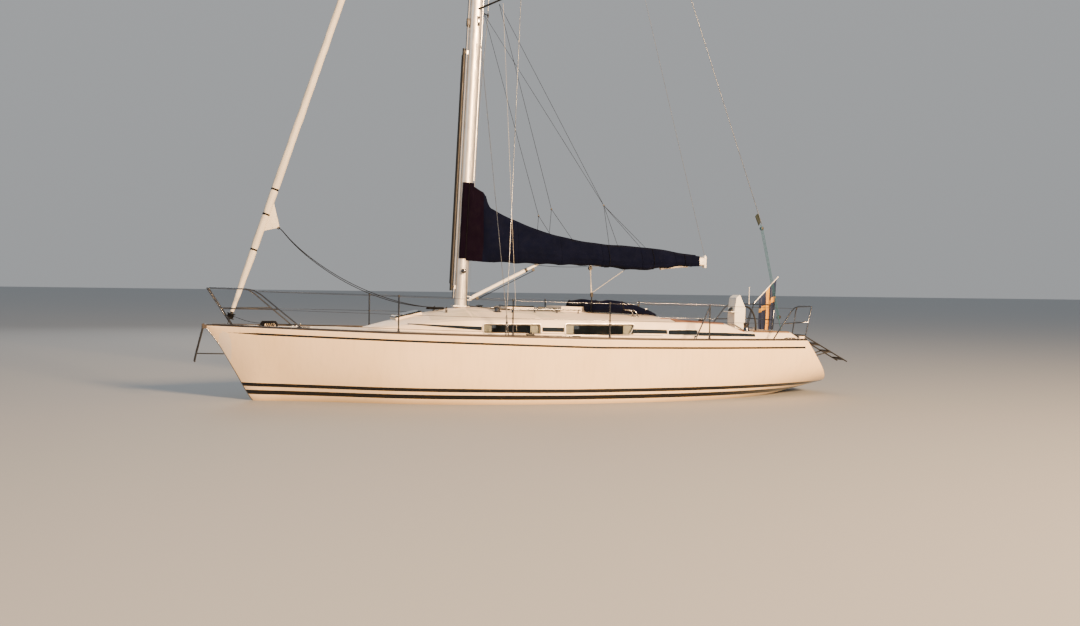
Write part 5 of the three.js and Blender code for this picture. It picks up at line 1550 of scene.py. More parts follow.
@dataclass
class Stage:
    """Camera, floor and studio light, from the photograph's own viewing angle."""

    focal_px: float = 1175.3
    frame_px: int = 1080
    place: Point = (6.788, 19.958, 1.991)
    yaw: float = -0.33336
    pitch: float = -0.02422
    roll: float = 0.01471
    sensor_mm: float = 36.0
    floor_half: float = 240.0
    floor_step: float = 40.0

    def camera(self) -> None:
        """Sets the camera at the photograph's viewpoint."""
        data = bpy.data.cameras.new("view")
        data.sensor_width = self.sensor_mm
        data.lens = self.focal_px * self.sensor_mm / self.frame_px
        data.clip_end = 500.0
        obj = bpy.data.objects.new("view", data)
        bpy.context.scene.collection.objects.link(obj)
        ahead = Vector(
            (
                math.sin(self.yaw) * math.cos(self.pitch),
                -math.cos(self.yaw) * math.cos(self.pitch),
                math.sin(self.pitch),
            )
        )
        right = ahead.cross(Vector((0, 0, 1))).normalized()
        up = right.cross(ahead)
        c, s = math.cos(self.roll), math.sin(self.roll)
        right, up = right * c + up * s, up * c - right * s
        turn = Matrix((right, up, -ahead)).transposed()
        obj.matrix_world = Matrix.Translation(self.place) @ turn.to_4x4()
        bpy.context.scene.camera = obj

    def light(self, name: str, at: Point, target: Point, size: float, watts: float, colour: str) -> None:
        """Adds one soft lamp.

        Args:
            name: its name.
            at: where it hangs.
            target: what it points at.
            size: its side.
            watts: its power.
            colour: its colour.
        """
        data = bpy.data.lights.new(name, "AREA")
        data.size, data.energy, data.color = size, watts, to_linear(colour)[:3]
        obj = bpy.data.objects.new(name, data)
        obj.location = at
        obj.rotation_euler = (Vector(target) - Vector(at)).to_track_quat("-Z", "Y").to_euler()
        bpy.context.scene.collection.objects.link(obj)

    def build(self) -> None:
        """Builds camera, floor, sky and lamps."""
        self.camera()
        floor = Shape()
        count = round(2 * self.floor_half / self.floor_step)
        places = [self.floor_half - self.floor_step * k for k in range(count + 1)]
        floor.skin([[(x, -y, 0.0) for y in places] for x in places], closed=False, caps=False)
        obj = floor.piece("floor", WHITE_MOULDING, body=None)
        plain = bpy.data.materials.new("y_floor")
        plain.use_nodes = True
        shader = plain.node_tree.nodes["Principled BSDF"]
        shader.inputs["Base Color"].default_value = to_linear("94989b")
        shader.inputs["Roughness"].default_value = 0.75
        obj.data.materials[0] = plain
        world = bpy.data.worlds.new("studio")
        world.use_nodes = True
        tree = world.node_tree
        back = tree.nodes["Background"]
        way = put(tree, "ShaderNodeTexCoord").outputs["Generated"]
        split = put(tree, "ShaderNodeSeparateXYZ", {}, {0: way})
        rise = put(
            tree,
            "ShaderNodeValToRGB",
            {"stops": [(0.0, to_linear("c9cbcd")), (0.5, to_linear("d6d9dc")), (1.0, to_linear("eef1f5"))]},
            {0: put(tree, "ShaderNodeMapRange", {1: -0.2, 2: 0.8}, {0: split.outputs["Z"]}).outputs[0]},
        )
        tree.links.new(rise.outputs[0], back.inputs["Color"])
        back.inputs["Strength"].default_value = 0.6
        bpy.context.scene.world = world
        self.light("key", (-10.0, 31.0, 13.0), (0.0, 0.0, 2.5), 6.0, 46500.0, "ffcf9a")
        self.light("fill", (22.0, 18.0, 12.0), (0.0, 0.0, 3.0), 14.0, 900.0, "e4ecf7")
        self.light("rim", (4.0, -26.0, 16.0), (0.0, 0.0, 4.0), 12.0, 1800.0, "f4f2ee")


# ---------------------------------------------------------------- spars and standing rigging


@dataclass
class Spars:
    """Mast, spreaders, boom, vang and pole, with the fittings that the photograph shows."""

    tip_low: tuple[float, float, float, float] = (5.2, 0.985, 0.5, 0.15)  # up, out, sweep, rise
    tip_high: tuple[float, float, float, float] = (9.33, 0.745, 0.36, 0.11)
    tricolour: Pairs = ((0.03, -0.01), (0.034, 0.0), (0.034, 0.055), (0.026, 0.07), (0.0, 0.075))
    winch: Pairs = (
        (0.042, -0.004), (0.042, 0.01), (0.03, 0.02), (0.027, 0.055), (0.036, 0.07), (0.036, 0.082),
        (0.014, 0.09), (0, 0.09),
    )
    tang: Pairs = ((-0.022, -0.09), (0.022, -0.09), (0.03, 0.08), (-0.03, 0.08))
    screw: Pairs = (
        (0.011, 0.01), (0.011, 0.05), (0.007, 0.055), (0.007, 0.1), (0.013, 0.105), (0.013, 0.25),
        (0.007, 0.255), (0.007, 0.3), (0.0095, 0.305), (0.0085, 0.36),
    )
    sheave: Pairs = ((0.0, 0), (0.034, 0), (0.037, 0.006), (0.034, 0.014), (0.0, 0.014))
    small_sheave: Pairs = ((0, -0.012), (0.026, -0.012), (0.028, 0), (0.026, 0.012), (0, 0.012))
    vang_collar: Pairs = (
        (0.0, -0.02), (0.036, -0.02), (0.038, 0.0), (0.036, 0.025), (0.026, 0.03), (0, 0.03)
    )
    vang_foot: Point = (1.181, 0, 1.73)
    vang_head: Point = (-0.07, 0, 2.358)

    def tip(self, row: tuple[float, float, float, float], s: int) -> Vector:
        """A spreader's tip."""
        up, out, sweep, rise = row
        return Lines.mast(0, 0, up) + Vector((-sweep, s * out, rise))

    def build(self) -> None:
        """Dresses the CAD spars and adds their fittings."""
        carry("mast", ANODISED, crease=30, ease=0.0015)
        carry("boom", ANODISED, crease=30, ease=0.003)
        carry("boom_vang", WHITE_MOULDING, crease=40)
        carry("spinnaker_pole", BLACK_ANODISED, crease=40)
        for name in ("lower_spreaders", "upper_spreaders"):
            carry(name, BLACK_ANODISED, crease=50, ease=0.003)
        for side, _ in SIDES:
            carry(f"{side}_shrouds", WIRE, crease=70)
        carry("backstay", WIRE, crease=70)
        carry("mainsheet_track", BLACK_ANODISED, ease=0.003)
        self.masthead()
        self.mast_fittings()
        self.chainplates()
        self.boom_fittings()

    def masthead(self) -> None:
        """Tri-colour lamp and its plate on the masthead."""
        head = Shape()
        top = Lines.mast(-0.06, 0.0, 14.995)
        head.lathe(self.tricolour, tuple(Lines.mast(-0.14, 0, 15.02)), 24)
        head.tube([tuple(Lines.mast(0.07, 0, 15.0)), tuple(Lines.mast(0.075, 0, 15.02))], [0.012, 0.01])
        head.block(
            tuple(top + Vector((-0.06, -0.035, 0.0))), tuple(top + Vector((0.16, 0.035, 0.018))), 0.004
        )
        head.piece("masthead_lamp", BLACK_PLASTIC)

    def mast_fittings(self) -> None:
        """Luff groove, steaming lamp, winches, shroud tangs and spreader boots."""
        track = Shape()
        low, high = 2.22, 14.9
        for y in (-0.012, 0.012):
            corners = ((y - 0.004, low), (y + 0.004, low), (y + 0.004, high), (y - 0.004, high))
            track.plate([tuple(Lines.mast(-0.1125, side, up)) for side, up in corners], (-0.006, 0.0, 0.0))
        track.piece("mast_luff_groove", ANODISED)
        lamp = Shape()
        foot = Lines.mast(0.112, 0, 4.905)
        lamp.block(
            tuple(foot + Vector((-0.006, -0.035, 0))), tuple(foot + Vector((0.055, 0.035, 0.125))), 0.01
        )
        lamp.lathe([(0.03, 0), (0.032, 0.02), (0.0, 0.03)], tuple(foot + Vector((0.02, 0, -0.02))), 24)
        lamp.piece("steaming_lamp", BLACK_PLASTIC)
        drums = Shape()
        for _, s in SIDES:
            drums.lathe(self.winch, tuple(Lines.mast(0.0, s * 0.069, 0.62)), 36, axis=(0, s, 0))
        drums.piece("mast_winches", STAINLESS_PAINTED_SHADE)
        tangs = Shape()
        for up in (5.0, 9.25, 12.74):
            for _, s in SIDES:
                at = Lines.mast(-0.03, s * 0.0705, up)
                tangs.plate(
                    [tuple(at + Vector((dx, 0, dz))) for dx, dz in self.tang], (0, s * 0.004, 0), 0.001
                )
        tangs.piece("shroud_tangs", STAINLESS_PAINTED_SHADE)
        for name, row in (("lower", self.tip_low), ("upper", self.tip_high)):
            boots = Shape()
            for _, s in SIDES:
                tip = self.tip(row, s)
                boots.tube(
                    [tuple(tip + Vector((0, 0, -0.045))), tuple(tip), tuple(tip + Vector((0, 0, 0.045)))],
                    [0.009, 0.019, 0.009],
                    sides=14,
                )
            boots.piece(f"{name}_spreader_boots", BLACK_PLASTIC)

    def chainplates(self) -> None:
        """Bottlescrews with their forks and locking pins at the shrouds' feet."""
        for side, s in SIDES:
            screws = Shape()
            foot = Vector((0.985, s * 1.5, Lines.deck(0.985, 1.5) + 0.0003))
            up = (self.tip(self.tip_low, s) - foot).normalized()
            lower = foot + Vector((-0.06, -s * 0.04, 0))
            up_lower = (Lines.mast(-0.03, s * 0.0766, 4.98) - lower).normalized()
            for start, way in ((foot, up), (lower, up_lower)):
                screws.tube(
                    [tuple(start + way * d) for _, d in self.screw], [r for r, _ in self.screw], sides=16
                )
                for d in (0.03, 0.33):
                    at = start + way * d
                    screws.tube(
                        [tuple(at + Vector((-0.017, 0, 0))), tuple(at + Vector((0.017, 0, 0)))],
                        0.004,
                        sides=10,
                    )
            screws.piece(f"{side}_bottlescrews", STAINLESS_PAINTED_SHADE, crease=50)

    def boom_fittings(self) -> None:
        """The boom's cream end cap, its mainsheet blocks, the vang's collar, blocks and tackle."""
        cap = Shape()
        cap.block((-3.4085, -0.052, 2.35), (-3.366, 0.052, 2.564), 0.008)
        cap.block((-3.4, -0.04, 2.54), (-3.375, 0.04, 2.585), 0.006)
        cap.piece("boom_end_cap", WHITE_MOULDING, body=BOOM_BODY)
        blocks = Shape()
        for x, z in ((-1.08, 2.30), (-1.8, 2.34)):
            for y in (-0.018, 0.018):
                blocks.lathe(self.sheave, (x, y - 0.007, z), 28, axis=(0, 1, 0))
            blocks.tube([(x, 0, z + 0.02), (x, 0, z + 0.06)], 0.006, sides=10)
            blocks.block((x - 0.012, -0.03, z - 0.012), (x + 0.012, 0.03, z + 0.032), 0.004)
        blocks.piece("mainsheet_boom_blocks", BLACK_PLASTIC, body=BOOM_BODY)
        collar = Shape()
        eye, head = Vector(self.vang_foot), Vector(self.vang_head)
        at, way = eye.lerp(head, 0.815), (head - eye).normalized()
        collar.lathe(self.vang_collar, tuple(at), 32, axis=tuple(way))
        collar.piece("vang_collar", BLACK_PLASTIC, body=BOOM_BODY)
        tackle = Shape()
        for spot in (
            eye.lerp(head, 0.1) + Vector((0, 0, -0.062)), eye.lerp(head, 0.93) + Vector((0, 0, -0.062))
        ):
            tackle.lathe(self.small_sheave, tuple(spot), 28, axis=(0, 1, 0))
            tackle.tube([tuple(spot), tuple(spot + Vector((0, 0, 0.04)))], 0.006, sides=10)
        tackle.piece("vang_blocks", BLACK_PLASTIC, body=BOOM_BODY)
        falls = Shape()
        a, b = eye.lerp(head, 0.1) + Vector((0, 0, -0.08)), eye.lerp(head, 0.93) + Vector((0, 0, -0.08))
        for y in (-0.016, 0.0, 0.016):
            falls.tube([tuple(a + Vector((0, y, 0))), tuple(b + Vector((0, y, 0)))], 0.004, sides=8)
        falls.piece("vang_tackle_rope", ROPE, body=BOOM_BODY)


@dataclass
class Lift:
    """One light line of the running rigging, taut or nearly so."""

    name: str
    points: tuple[Point, ...]
    radius: float = 0.004
    finish: Finish = ROPE
    to_boom: bool = False
    drop: float = 0.0
    body: str = HULL

    def build(self) -> None:
        """Sweeps the line; one that ends on the boom rides on no body."""
        shape = Shape()
        line: list[Point] = []
        for a, b in zip(self.points, self.points[1:]):
            leg = sag_line(a, b, self.drop, 16)
            line += leg[:-1]
        line.append(self.points[-1])
        shape.tube(line, self.radius, sides=8)
        obj = shape.piece(self.name, self.finish, body=None if self.to_boom else self.body)
        if self.to_boom:
            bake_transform(obj)


@dataclass
class RunningRigging:
    """Lazy jacks, topping lift, mainsheet, halyards and other light lines."""

    jack: float = 0.0038
    ring: Pairs = ((0.0, -0.012), (0.016, -0.008), (0.018, 0), (0.016, 0.008), (0, 0.012))

    def build(self) -> None:
        """Sweeps every line and the blocks at their joins."""
        self.lazy_jacks()
        self.boom_lines()
        self.mast_lines()
        self.deck_lines()

    def lazy_jacks(self) -> None:
        """The lazy jacks: from the mast to four rings, and from those to the boom."""
        port_top, board_top = (0.86, 0.45, 6.815), (0.86, -0.45, 6.815)
        port_c, port_d = (-0.24, 0.2, 3.335), (-1.243, 0.2, 3.438)
        board_b, board_a = (-0.138, -0.2, 3.233), (-1.405, -0.2, 3.468)
        legs = {
            "port_c1": (port_c, (-0.267, 0.03, 2.90)),
            "port_c2": (port_c, (-0.749, 0.03, 2.76)),
            "port_d1": (port_d, (-1.437, 0.03, 2.69)),
            "port_d2": (port_d, (-1.613, 0.03, 2.69)),
            "starboard_b1": (board_b, (-0.059, -0.03, 2.93)),
            "starboard_b2": (board_b, (-0.341, -0.03, 2.85)),
            "starboard_a1": (board_a, (-2.129, -0.03, 2.66)),
            "starboard_a2": (board_a, (-2.24, -0.03, 2.65)),
        }
        for name, (a, b) in legs.items():
            Lift(f"lazy_jack_{name}", (a, b), self.jack, ROPE, body=BOOM_BODY).build()
        for name, top, end in (
            ("port_c", port_top, port_c),
            ("port_d", port_top, port_d),
            ("starboard_a", board_top, board_a),
            ("starboard_b", board_top, board_b),
        ):
            Lift(f"lazy_jack_{name}", (top, end), self.jack, ROPE, to_boom=True).build()
        rings = Shape()
        for at in (port_c, port_d, board_a, board_b):
            rings.lathe(self.ring, at, 20, axis=(0, 1, 0))
        rings.piece("lazy_jack_rings", BLACK_PLASTIC, body=BOOM_BODY)

    @staticmethod
    def boom_lines() -> None:
        """Topping lift, mainsheet and outhaul."""
        head = tuple(Lines.mast(-0.2, 0.0, 14.98))
        Lift("topping_lift", (head, (-3.39, 0.0, 2.575)), 0.0035, WIRE, to_boom=True).build()
        for n, (y, foot) in enumerate(((0.022, -1.09), (-0.022, -1.13), (0.0, -1.11))):
            Lift(
                f"mainsheet_fall_{n}", ((foot, y, 1.85), (-1.08, y, 2.275)), 0.005, ROPE_WHITE, to_boom=True
            ).build()
        Lift(
            "mainsheet_to_aft_block", ((-1.13, 0.0, 1.86), (-1.8, 0.0, 2.31)), 0.005, ROPE_WHITE, to_boom=True
        ).build()
        Lift(
            "mainsheet_under_boom",
            ((-1.08, 0.012, 2.335), (-1.8, 0.012, 2.37)),
            0.005,
            ROPE_WHITE,
            body=BOOM_BODY,
        ).build()
        Lift(
            "outhaul_under_boom",
            ((-0.08, -0.01, 2.335), (-1.06, -0.01, 2.335)),
            0.004,
            ROPE,
            drop=0.02,
            body=BOOM_BODY,
        ).build()

    @staticmethod
    def mast_lines() -> None:
        """Halyards beside the mast, flag halyards and the pole's lift."""
        for n, (x, y, top) in enumerate(((0.14, 0.028, 14.9), (0.145, -0.03, 12.9), (0.135, 0.0, 12.8))):
            line = (tuple(Lines.mast(x, y, 0.14)), tuple(Lines.mast(x, y, top)))
            Lift(f"mast_halyard_{n}", line, 0.0045, (ROPE_WHITE, ROPE, ROPE_WHITE)[n]).build()
        for n, (y, up) in enumerate(((0.095, 4.6), (-0.095, 9.0))):
            line = ((1.30, y * 2.2, 1.585), tuple(Lines.mast(-0.02, y, 0.9)), tuple(Lines.mast(-0.02, y, up)))
            Lift(f"side_halyard_{n}", line, 0.0045, (ROPE, ROPE_WHITE)[n]).build()
        Lift("flag_halyard", ((0.80, 1.505, 1.22), (0.84, 0.62, 6.79)), 0.002, ROPE_WHITE).build()
        Lift("flag_halyard_far", ((0.80, -1.505, 1.22), (0.84, -0.62, 6.79)), 0.002, ROPE_WHITE).build()
        Lift("pole_lift", ((1.30, 0.0, 6.09), tuple(Lines.mast(0.118, 0, 7.2))), 0.004, ROPE).build()

    @staticmethod
    def deck_lines() -> None:
        """Control lines led aft over the roof, and their clutches."""
        deck_lines = Shape()
        for _, s in SIDES:
            for k in range(4):
                y0, y1 = s * (0.1 + 0.025 * k), s * (0.335 + 0.03 * k)
                path = [
                    (1.26, y0, Lines.roof(1.26, y0) + 0.03),
                    (1.0, s * (0.2 + 0.03 * k), Lines.roof(1.0, 0.25) + 0.014),
                    (0.62, y1, Lines.roof(0.62, y1) + 0.011),
                    (-0.35, y1 + s * 0.03, Lines.roof(-0.35, 0.4) + 0.011),
                ]
                deck_lines.tube(smooth_curve(path, 8), 0.005, sides=8)
        deck_lines.piece("control_lines", ROPE)
        clutches = Shape()
        for _, s in SIDES:
            for k in range(4):
                y = s * (0.366 + 0.03 * k)
                z = Lines.roof(-0.25, y)
                clutches.block((-0.34, y - 0.012, z - 0.004), (-0.2, y + 0.012, z + 0.045), 0.006)
                clutches.block((-0.31, y - 0.01, z + 0.045), (-0.22, y + 0.01, z + 0.056), 0.003)
        clutches.piece("rope_clutches", BLACK_PLASTIC)


@dataclass
class Headsail:
    """The rolled genoa on its furling gear, with its clew, tie bands and drum."""

    foot: Point = (5.318, 0.0, 1.2654)
    roll: tuple[tuple[float, float], ...] = (
        # along the stay, radius
        (0.215, 0.026),
        (0.52, 0.042),
        (1.1, 0.056),
        (2.3, 0.062),
        (4.5, 0.059),
        (8.0, 0.049),
        (11.2, 0.033),
        (12.3, 0.021),
    )
    clew: Point = (4.492, 0.0, 2.878)
    ties: tuple[float, ...] = (1.30, 1.92, 2.36)  # where the roll is tied, along the stay
    drum: Pairs = (
        (0.02, -0.01), (0.068, -0.006), (0.0705, 0.0), (0.045, 0.012), (0.045, 0.07), (0.0705, 0.082),
        (0.068, 0.088), (0.02, 0.1),
    )
    swivel: Pairs = ((0.016, 0), (0.024, 0.01), (0.022, 0.07), (0.015, 0.08))

    @staticmethod
    def head() -> Vector:
        """Where the stay meets the mast."""
        return Lines.mast(0.158, 0, 12.78)

    def axis(self, along: float) -> Vector:
        """A point on the stay."""
        foot = Vector(self.foot)
        return foot + (self.head() - foot).normalized() * along

    def radius(self, along: float) -> float:
        """The roll's radius at a place.

        Args:
            along: distance along the stay from its foot.

        Returns:
            The radius.
        """
        for (a, ra), (b, rb) in zip(self.roll, self.roll[1:]):
            if along <= b:
                return ra + (rb - ra) * max(0.0, along - a) / (b - a)
        return self.roll[-1][1]

    def build(self) -> None:
        """Builds the roll, its flap and its gear."""
        self.rolled()
        self.flap()
        carry("forestay", BLACK_ANODISED, crease=40)
        gear = Shape()
        way = (self.axis(1) - self.axis(0)).normalized()
        gear.lathe(self.drum, tuple(self.axis(0.1)), 40, axis=tuple(way))
        gear.lathe(self.swivel, tuple(self.axis(0.2)), 28, axis=tuple(way))
        gear.piece("furler_drum", BLACK_PLASTIC)
        wound = Shape()
        path = []
        side = Vector((0, 1, 0))
        third = way.cross(side)
        turns, per, r = 7, 12, 0.05
        for k in range(turns * per + 1):
            a = math.tau * k / per
            at = self.axis(0.118 + 0.045 * k / (turns * per))
            path.append(tuple(at + side * r * math.cos(a) + third * r * math.sin(a)))
        wound.tube(path, 0.005, sides=6)
        wound.piece("furling_line_turns", ROPE)
        lead = Shape()
        start = self.axis(0.14) + Vector((-0.03, 0.05, 0))
        stations = [tuple(start)]
        for x in (4.9, 4.2, 3.4, 2.7, 1.9, 0.9, 0.0, -0.8, -1.8):
            y = min(Lines.half_beam(x) - 0.12, 1.62)
            stations.append((x, y, Lines.deck(x, y) + 0.075))
        lead.tube(smooth_curve(stations, 6), 0.004, sides=8)
        lead.piece("furling_line", ROPE)

    def rolled(self) -> None:
        """The roll itself, its spiral edges standing proud between the wraps."""
        shape = Shape()
        way = (self.axis(1) - self.axis(0)).normalized()
        side = Vector((0, 1, 0))
        third = way.cross(side)
        rings, spacing = [], []
        count, sides = 420, 30
        for k in range(count + 1):
            along = 0.215 + 12.085 * k / count
            centre, base = self.axis(along), self.radius(along)
            ring = []
            for a in round_angles(sides):
                turn = (a / math.tau + along / 0.62) % 1.0
                wrap = 0.0032 * (1 - turn) ** 1.5 + 0.0016 * math.sin(9 * a + along * 7)
                lump = 0.0035 * noise.noise(Vector((along * 3.1, math.cos(a) * 1.3, math.sin(a) * 1.3)))
                r = base + wrap + lump
                for band in self.ties:
                    r -= 0.007 * math.exp(-(((along - band) / 0.03) ** 2))
                ring.append(tuple(centre + side * r * math.cos(a) + third * r * math.sin(a)))
            rings.append(ring)
            spacing.append(along)
        shape.skin(rings, spacing=spacing)
        obj = shape.piece("rolled_genoa", SAILCLOTH, stands_for=["furled_headsail"], crease=60)
        bands = Shape()
        for along in self.ties:
            r = self.radius(along) + 0.0005
            bands.lathe(
                [(r - 0.006, -0.016), (r, -0.014), (r + 0.001, 0.0), (r, 0.014), (r - 0.006, 0.016)],
                tuple(self.axis(along)),
                32,
                axis=tuple(way),
            )
        bands.piece("genoa_tie_bands", ROPE)

    def flap(self) -> None:
        """The clew's free corner, reinforced and a little bellied."""
        shape = Shape()
        clew = Vector(self.clew)
        low, high = self.on_stay(2.80), self.on_stay(3.39)
        steps = 18
        rows = []
        for i in range(steps + 1):
            t = i / steps * 0.995
            a, b = low.lerp(clew, t), high.lerp(clew, t)
            row = []
            for k in range(steps + 1):
                u = k / steps
                p = a.lerp(b, u)
                wave = 0.004 * math.sin(14 * u + 5 * t) * t * (1 - t)
                row.append((p.x, 0.012 * math.sin(math.pi * t) * math.sin(math.pi * u) + wave, p.z))
            rows.append(row)
        shape.cloth(rows, 0.0022)
        flap = shape.piece("genoa_clew_corner", SAILCLOTH, crease=60)
        self.clew_fittings(low, high)

    def clew_fittings(self, low: Vector, high: Vector) -> None:
        """The clew's patches and ring.

        Args:
            low: where the flap's lower edge leaves the roll.
            high: where its upper edge does.
        """
        clew = Vector(self.clew)
        patch = Shape()
        rings = []
        for i in range(9):
            t = 0.62 + 0.33 * i / 8
            a, b = low.lerp(clew, t), high.lerp(clew, t)
            rings.append([(a.x, -0.0092, a.z), (b.x, -0.0092, b.z), (b.x, 0.0142, b.z), (a.x, 0.0142, a.z)])
        patch.skin(rings)
        patch.piece("genoa_clew_patch", SAILCLOTH)
        x, z, r = clew.x + 0.03, clew.z + 0.005, 0.019
        circle = [(x + r * math.cos(a), 0.001, z + r * math.sin(a)) for a in round_angles(24)]
        Shape().tube(circle, 0.006, sides=10, loop=True).piece("genoa_clew_ring", STAINLESS_PAINTED_SHADE)

    def on_stay(self, z: float) -> Vector:
        """The stay's point at height z."""
        foot, head = Vector(self.foot), self.head()
        return foot.lerp(head, (z - foot.z) / (head.z - foot.z))


# ---------------------------------------------------------------- canvas, cords and cloth


@dataclass
class BoomCover:
    """The sail cover over the flaked mainsail: sculpted canvas, laced under the boom."""

    rows: Table = Table(
        [
            # x, bottom, top, half width
            (985, 2400, 3590, 60),
            (945, 2396, 3570, 84),
            (885, 2394, 3390, 104),
            (747, 2389, 3270, 115),
            (600, 2384, 3190, 124),
            (280, 2376, 3075, 142),
            (-100, 2371, 2940, 152),
            (-480, 2366, 2845, 160),
            (-1260, 2352, 2735, 164),
            (-2060, 2296, 2690, 150),
            (-2500, 2320, 2655, 130),
            (-2880, 2360, 2600, 106),
            (-3260, 2376, 2562, 70),
        ]
    )
    columns: int = 230
    round_steps: int = 26
    seams: tuple[float, ...] = (0.33, -0.48, -1.26, -2.06, -2.75)
    front: float = 0.985
    back: float = -3.26
    boom_low: float = 2.36
    boom_high: float = 2.575
    boom_half: float = 0.0615  # the cloth's least half width beside the boom
    hook_pitch: float = 0.42

    @staticmethod
    def girth(h: float) -> float:
        """Half width at a height share, as a part of the widest.

        Args:
            h: 0 at the cover's lower edge, 1 at its upper one.

        Returns:
            The share of the widest half width.
        """
        knots = [
            (0.0, 0.62), (0.1, 0.86), (0.3, 1.0), (0.5, 0.9), (0.7, 0.66), (0.86, 0.42), (0.95, 0.26),
            (1.0, 0.1),
        ]
        for (h0, w0), (h1, w1) in zip(knots, knots[1:]):
            if h <= h1:
                t = (h - h0) / (h1 - h0)
                return w0 + (w1 - w0) * t
        return 0.1

    def fold(self, x: float, z: float, side: float) -> float:
        """How far folds push the cloth out at a point, in metres.

        Args:
            x: where along the boom.
            z: its height.
            side: 1 to port, -1 to starboard.

        Returns:
            The push, outwards when positive.
        """
        lumps = 0.017 * noise.noise(Vector((x * 2.0, z * 3.4, side * 5)))
        flakes = 0.006 * math.sin(z * 62 + 3 * noise.noise(Vector((x * 1.6, z * 2, side))))
        slant = x * 4.6 + z * 3.4 + 1.2 * noise.noise(Vector((x * 1.3, z * 1.3, side * 2)))
        ridge = (1 - abs(noise.noise(Vector((slant, z * 1.3, side * 9))))) ** 6
        fine = 0.003 * noise.noise(Vector((x * 19, z * 8, side * 3)))
        dip = sum(-0.006 * math.exp(-(((x - seam) / 0.012) ** 2)) for seam in self.seams)
        return lumps + flakes * 0.6 + 0.011 * ridge + fine + dip

    def ring(self, x: float) -> list[Point]:
        """The cover's section.

        Args:
            x: where along the boom.

        Returns:
            The section's points, up the port side and down the starboard one.
        """
        _, low, high, half = self.rows.read(x * 1000)
        low, high, half = low / 1000, high / 1000, half / 1000
        scallop = 0.018 * abs(math.sin((x - 0.33) * math.pi / self.hook_pitch)) if -3.1 < x < 0.8 else 0.0
        low += scallop
        low -= 0.02 if x > -2.1 else max(0.0, 0.02 * (1 - (-2.1 - x) / 0.3))
        peak = 0.012 * noise.noise(Vector((x * 2.6, 1.0, 7.0)))
        outline: list[tuple[float, float]] = []
        n = self.round_steps
        for i in range(n + 1):
            h = (i / n) ** 0.9
            z = low + (high + peak - low) * h
            w = half * self.girth(h)
            if self.boom_low < z < self.boom_high:
                w = max(w, self.boom_half + 0.001)
            outline.append((w, z))
        port = [(x, w + self.limit(x, z, 1, w), z) for w, z in outline]
        board = [(x, -(w + self.limit(x, z, -1, w)), z) for w, z in reversed(outline)]
        return [*port, (x, 0.0, high + peak + 0.006), *board]

    def limit(self, x: float, z: float, side: float, w: float) -> float:
        """The fold's push, kept clear of the boom and softer at both ends."""
        ends = min(1.0, max(0.15, (self.front - x) / 0.25)) * min(1.0, max(0.25, (x - self.back) / 0.5))
        least = self.boom_half if self.boom_low < z < self.boom_high else 0.012
        return max(self.fold(x, z, side) * ends, least - w)

    def build(self) -> None:
        """Builds the cover, its hem, lacing, seams, and the sail that shows under it."""
        shape = Shape()
        rings = [
            self.ring(self.front - (self.front - self.back) * (k / self.columns))
            for k in range(self.columns + 1)
        ]
        shape.skin(rings)
        cover = shape.piece("boom_sail_cover", CANVAS, body=BOOM_BODY, stands_for=["sail_cover"], crease=75)
        self.stitching(rings)
        self.lacing()
        self.peeking_sail()
        self.ties()

    def stitching(self, rings: list[list[Point]]) -> None:
        """Raised seams between the cover's panels, and the zip flap along its top.

        Args:
            rings: the cover's sections.
        """
        shape = Shape()
        for seam in self.seams:
            k = round((self.front - seam) / (self.front - self.back) * self.columns)
            ring = rings[k]
            lifted = [(x, y * 1.006 + math.copysign(0.0015, y), z) for x, y, z in ring[1:-1]]
            shape.tube(lifted, 0.0028, sides=6, wide=2.6)
        top = [
            (ring[self.round_steps + 1][0], 0.0, ring[self.round_steps + 1][2] + 0.003)
            for ring in rings[3:-2:2]
        ]
        shape.tube(top, 0.005, sides=8, wide=2.2)
        shape.piece("boom_cover_seams", CANVAS, body=BOOM_BODY, crease=70)

    def lacing(self) -> None:
        """Hooks along the hem and the shock cord between them under the boom."""
        hooks, cord = Shape(), Shape()
        for x in [0.75 - self.hook_pitch * k for k in range(10)]:
            low = self.rows.read(x * 1000)[1] / 1000
            for s in (1, -1):
                hooks.block(
                    (x - 0.014, s * 0.068 - 0.006, low + 0.012),
                    (x + 0.014, s * 0.068 + 0.006, low + 0.04),
                    0.003,
                )
            cord.tube(
                smooth_curve(
                    [
                        (x, 0.07, low + 0.016),
                        (x - 0.05, 0.03, low - 0.002),
                        (x - 0.1, -0.03, low - 0.002),
                        (x - 0.15, -0.07, low + 0.016),
                    ],
                    5,
                ),
                0.003,
                sides=6,
            )
        hooks.piece("cover_hooks", BLACK_PLASTIC, body=BOOM_BODY)
        cord.piece("cover_lacing", ROPE, body=BOOM_BODY)

    def peeking_sail(self) -> None:
        """The folded sail's foot that shows below the cover's after half."""
        shape = Shape()
        rings = []
        for k in range(60):
            x = -2.48 - 0.55 * k / 59
            low = self.rows.read(x * 1000)[1] / 1000
            deep = 0.03 + 0.012 * noise.noise(Vector((x * 5, 0, 3)))
            ring = []
            for i, a in enumerate(round_angles(16)):
                y = (0.046 + 0.012 * noise.noise(Vector((x * 7, i * 0.4, 0)))) * math.cos(a)
                z = low + 0.012 + (deep + 0.02) * math.sin(a) * 0.6
                ring.append((x, y, min(z, low + 0.03)))
            rings.append(ring)
        shape.skin(rings)
        sail = shape.piece("flaked_mainsail", SAILCLOTH, body=BOOM_BODY, crease=75)

    def ties(self) -> None:
        """Webbing ties round the cover's after half."""
        shape = Shape()
        for x in (-1.4, -2.3, -2.95):
            ring = self.ring(x)
            shape.tube(
                [(px, py * 1.01 + math.copysign(0.003, py), pz) for px, py, pz in ring],
                0.0035,
                sides=6,
                wide=4.0,
                loop=True,
            )
        shape.piece("cover_ties", ROPE, body=BOOM_BODY)


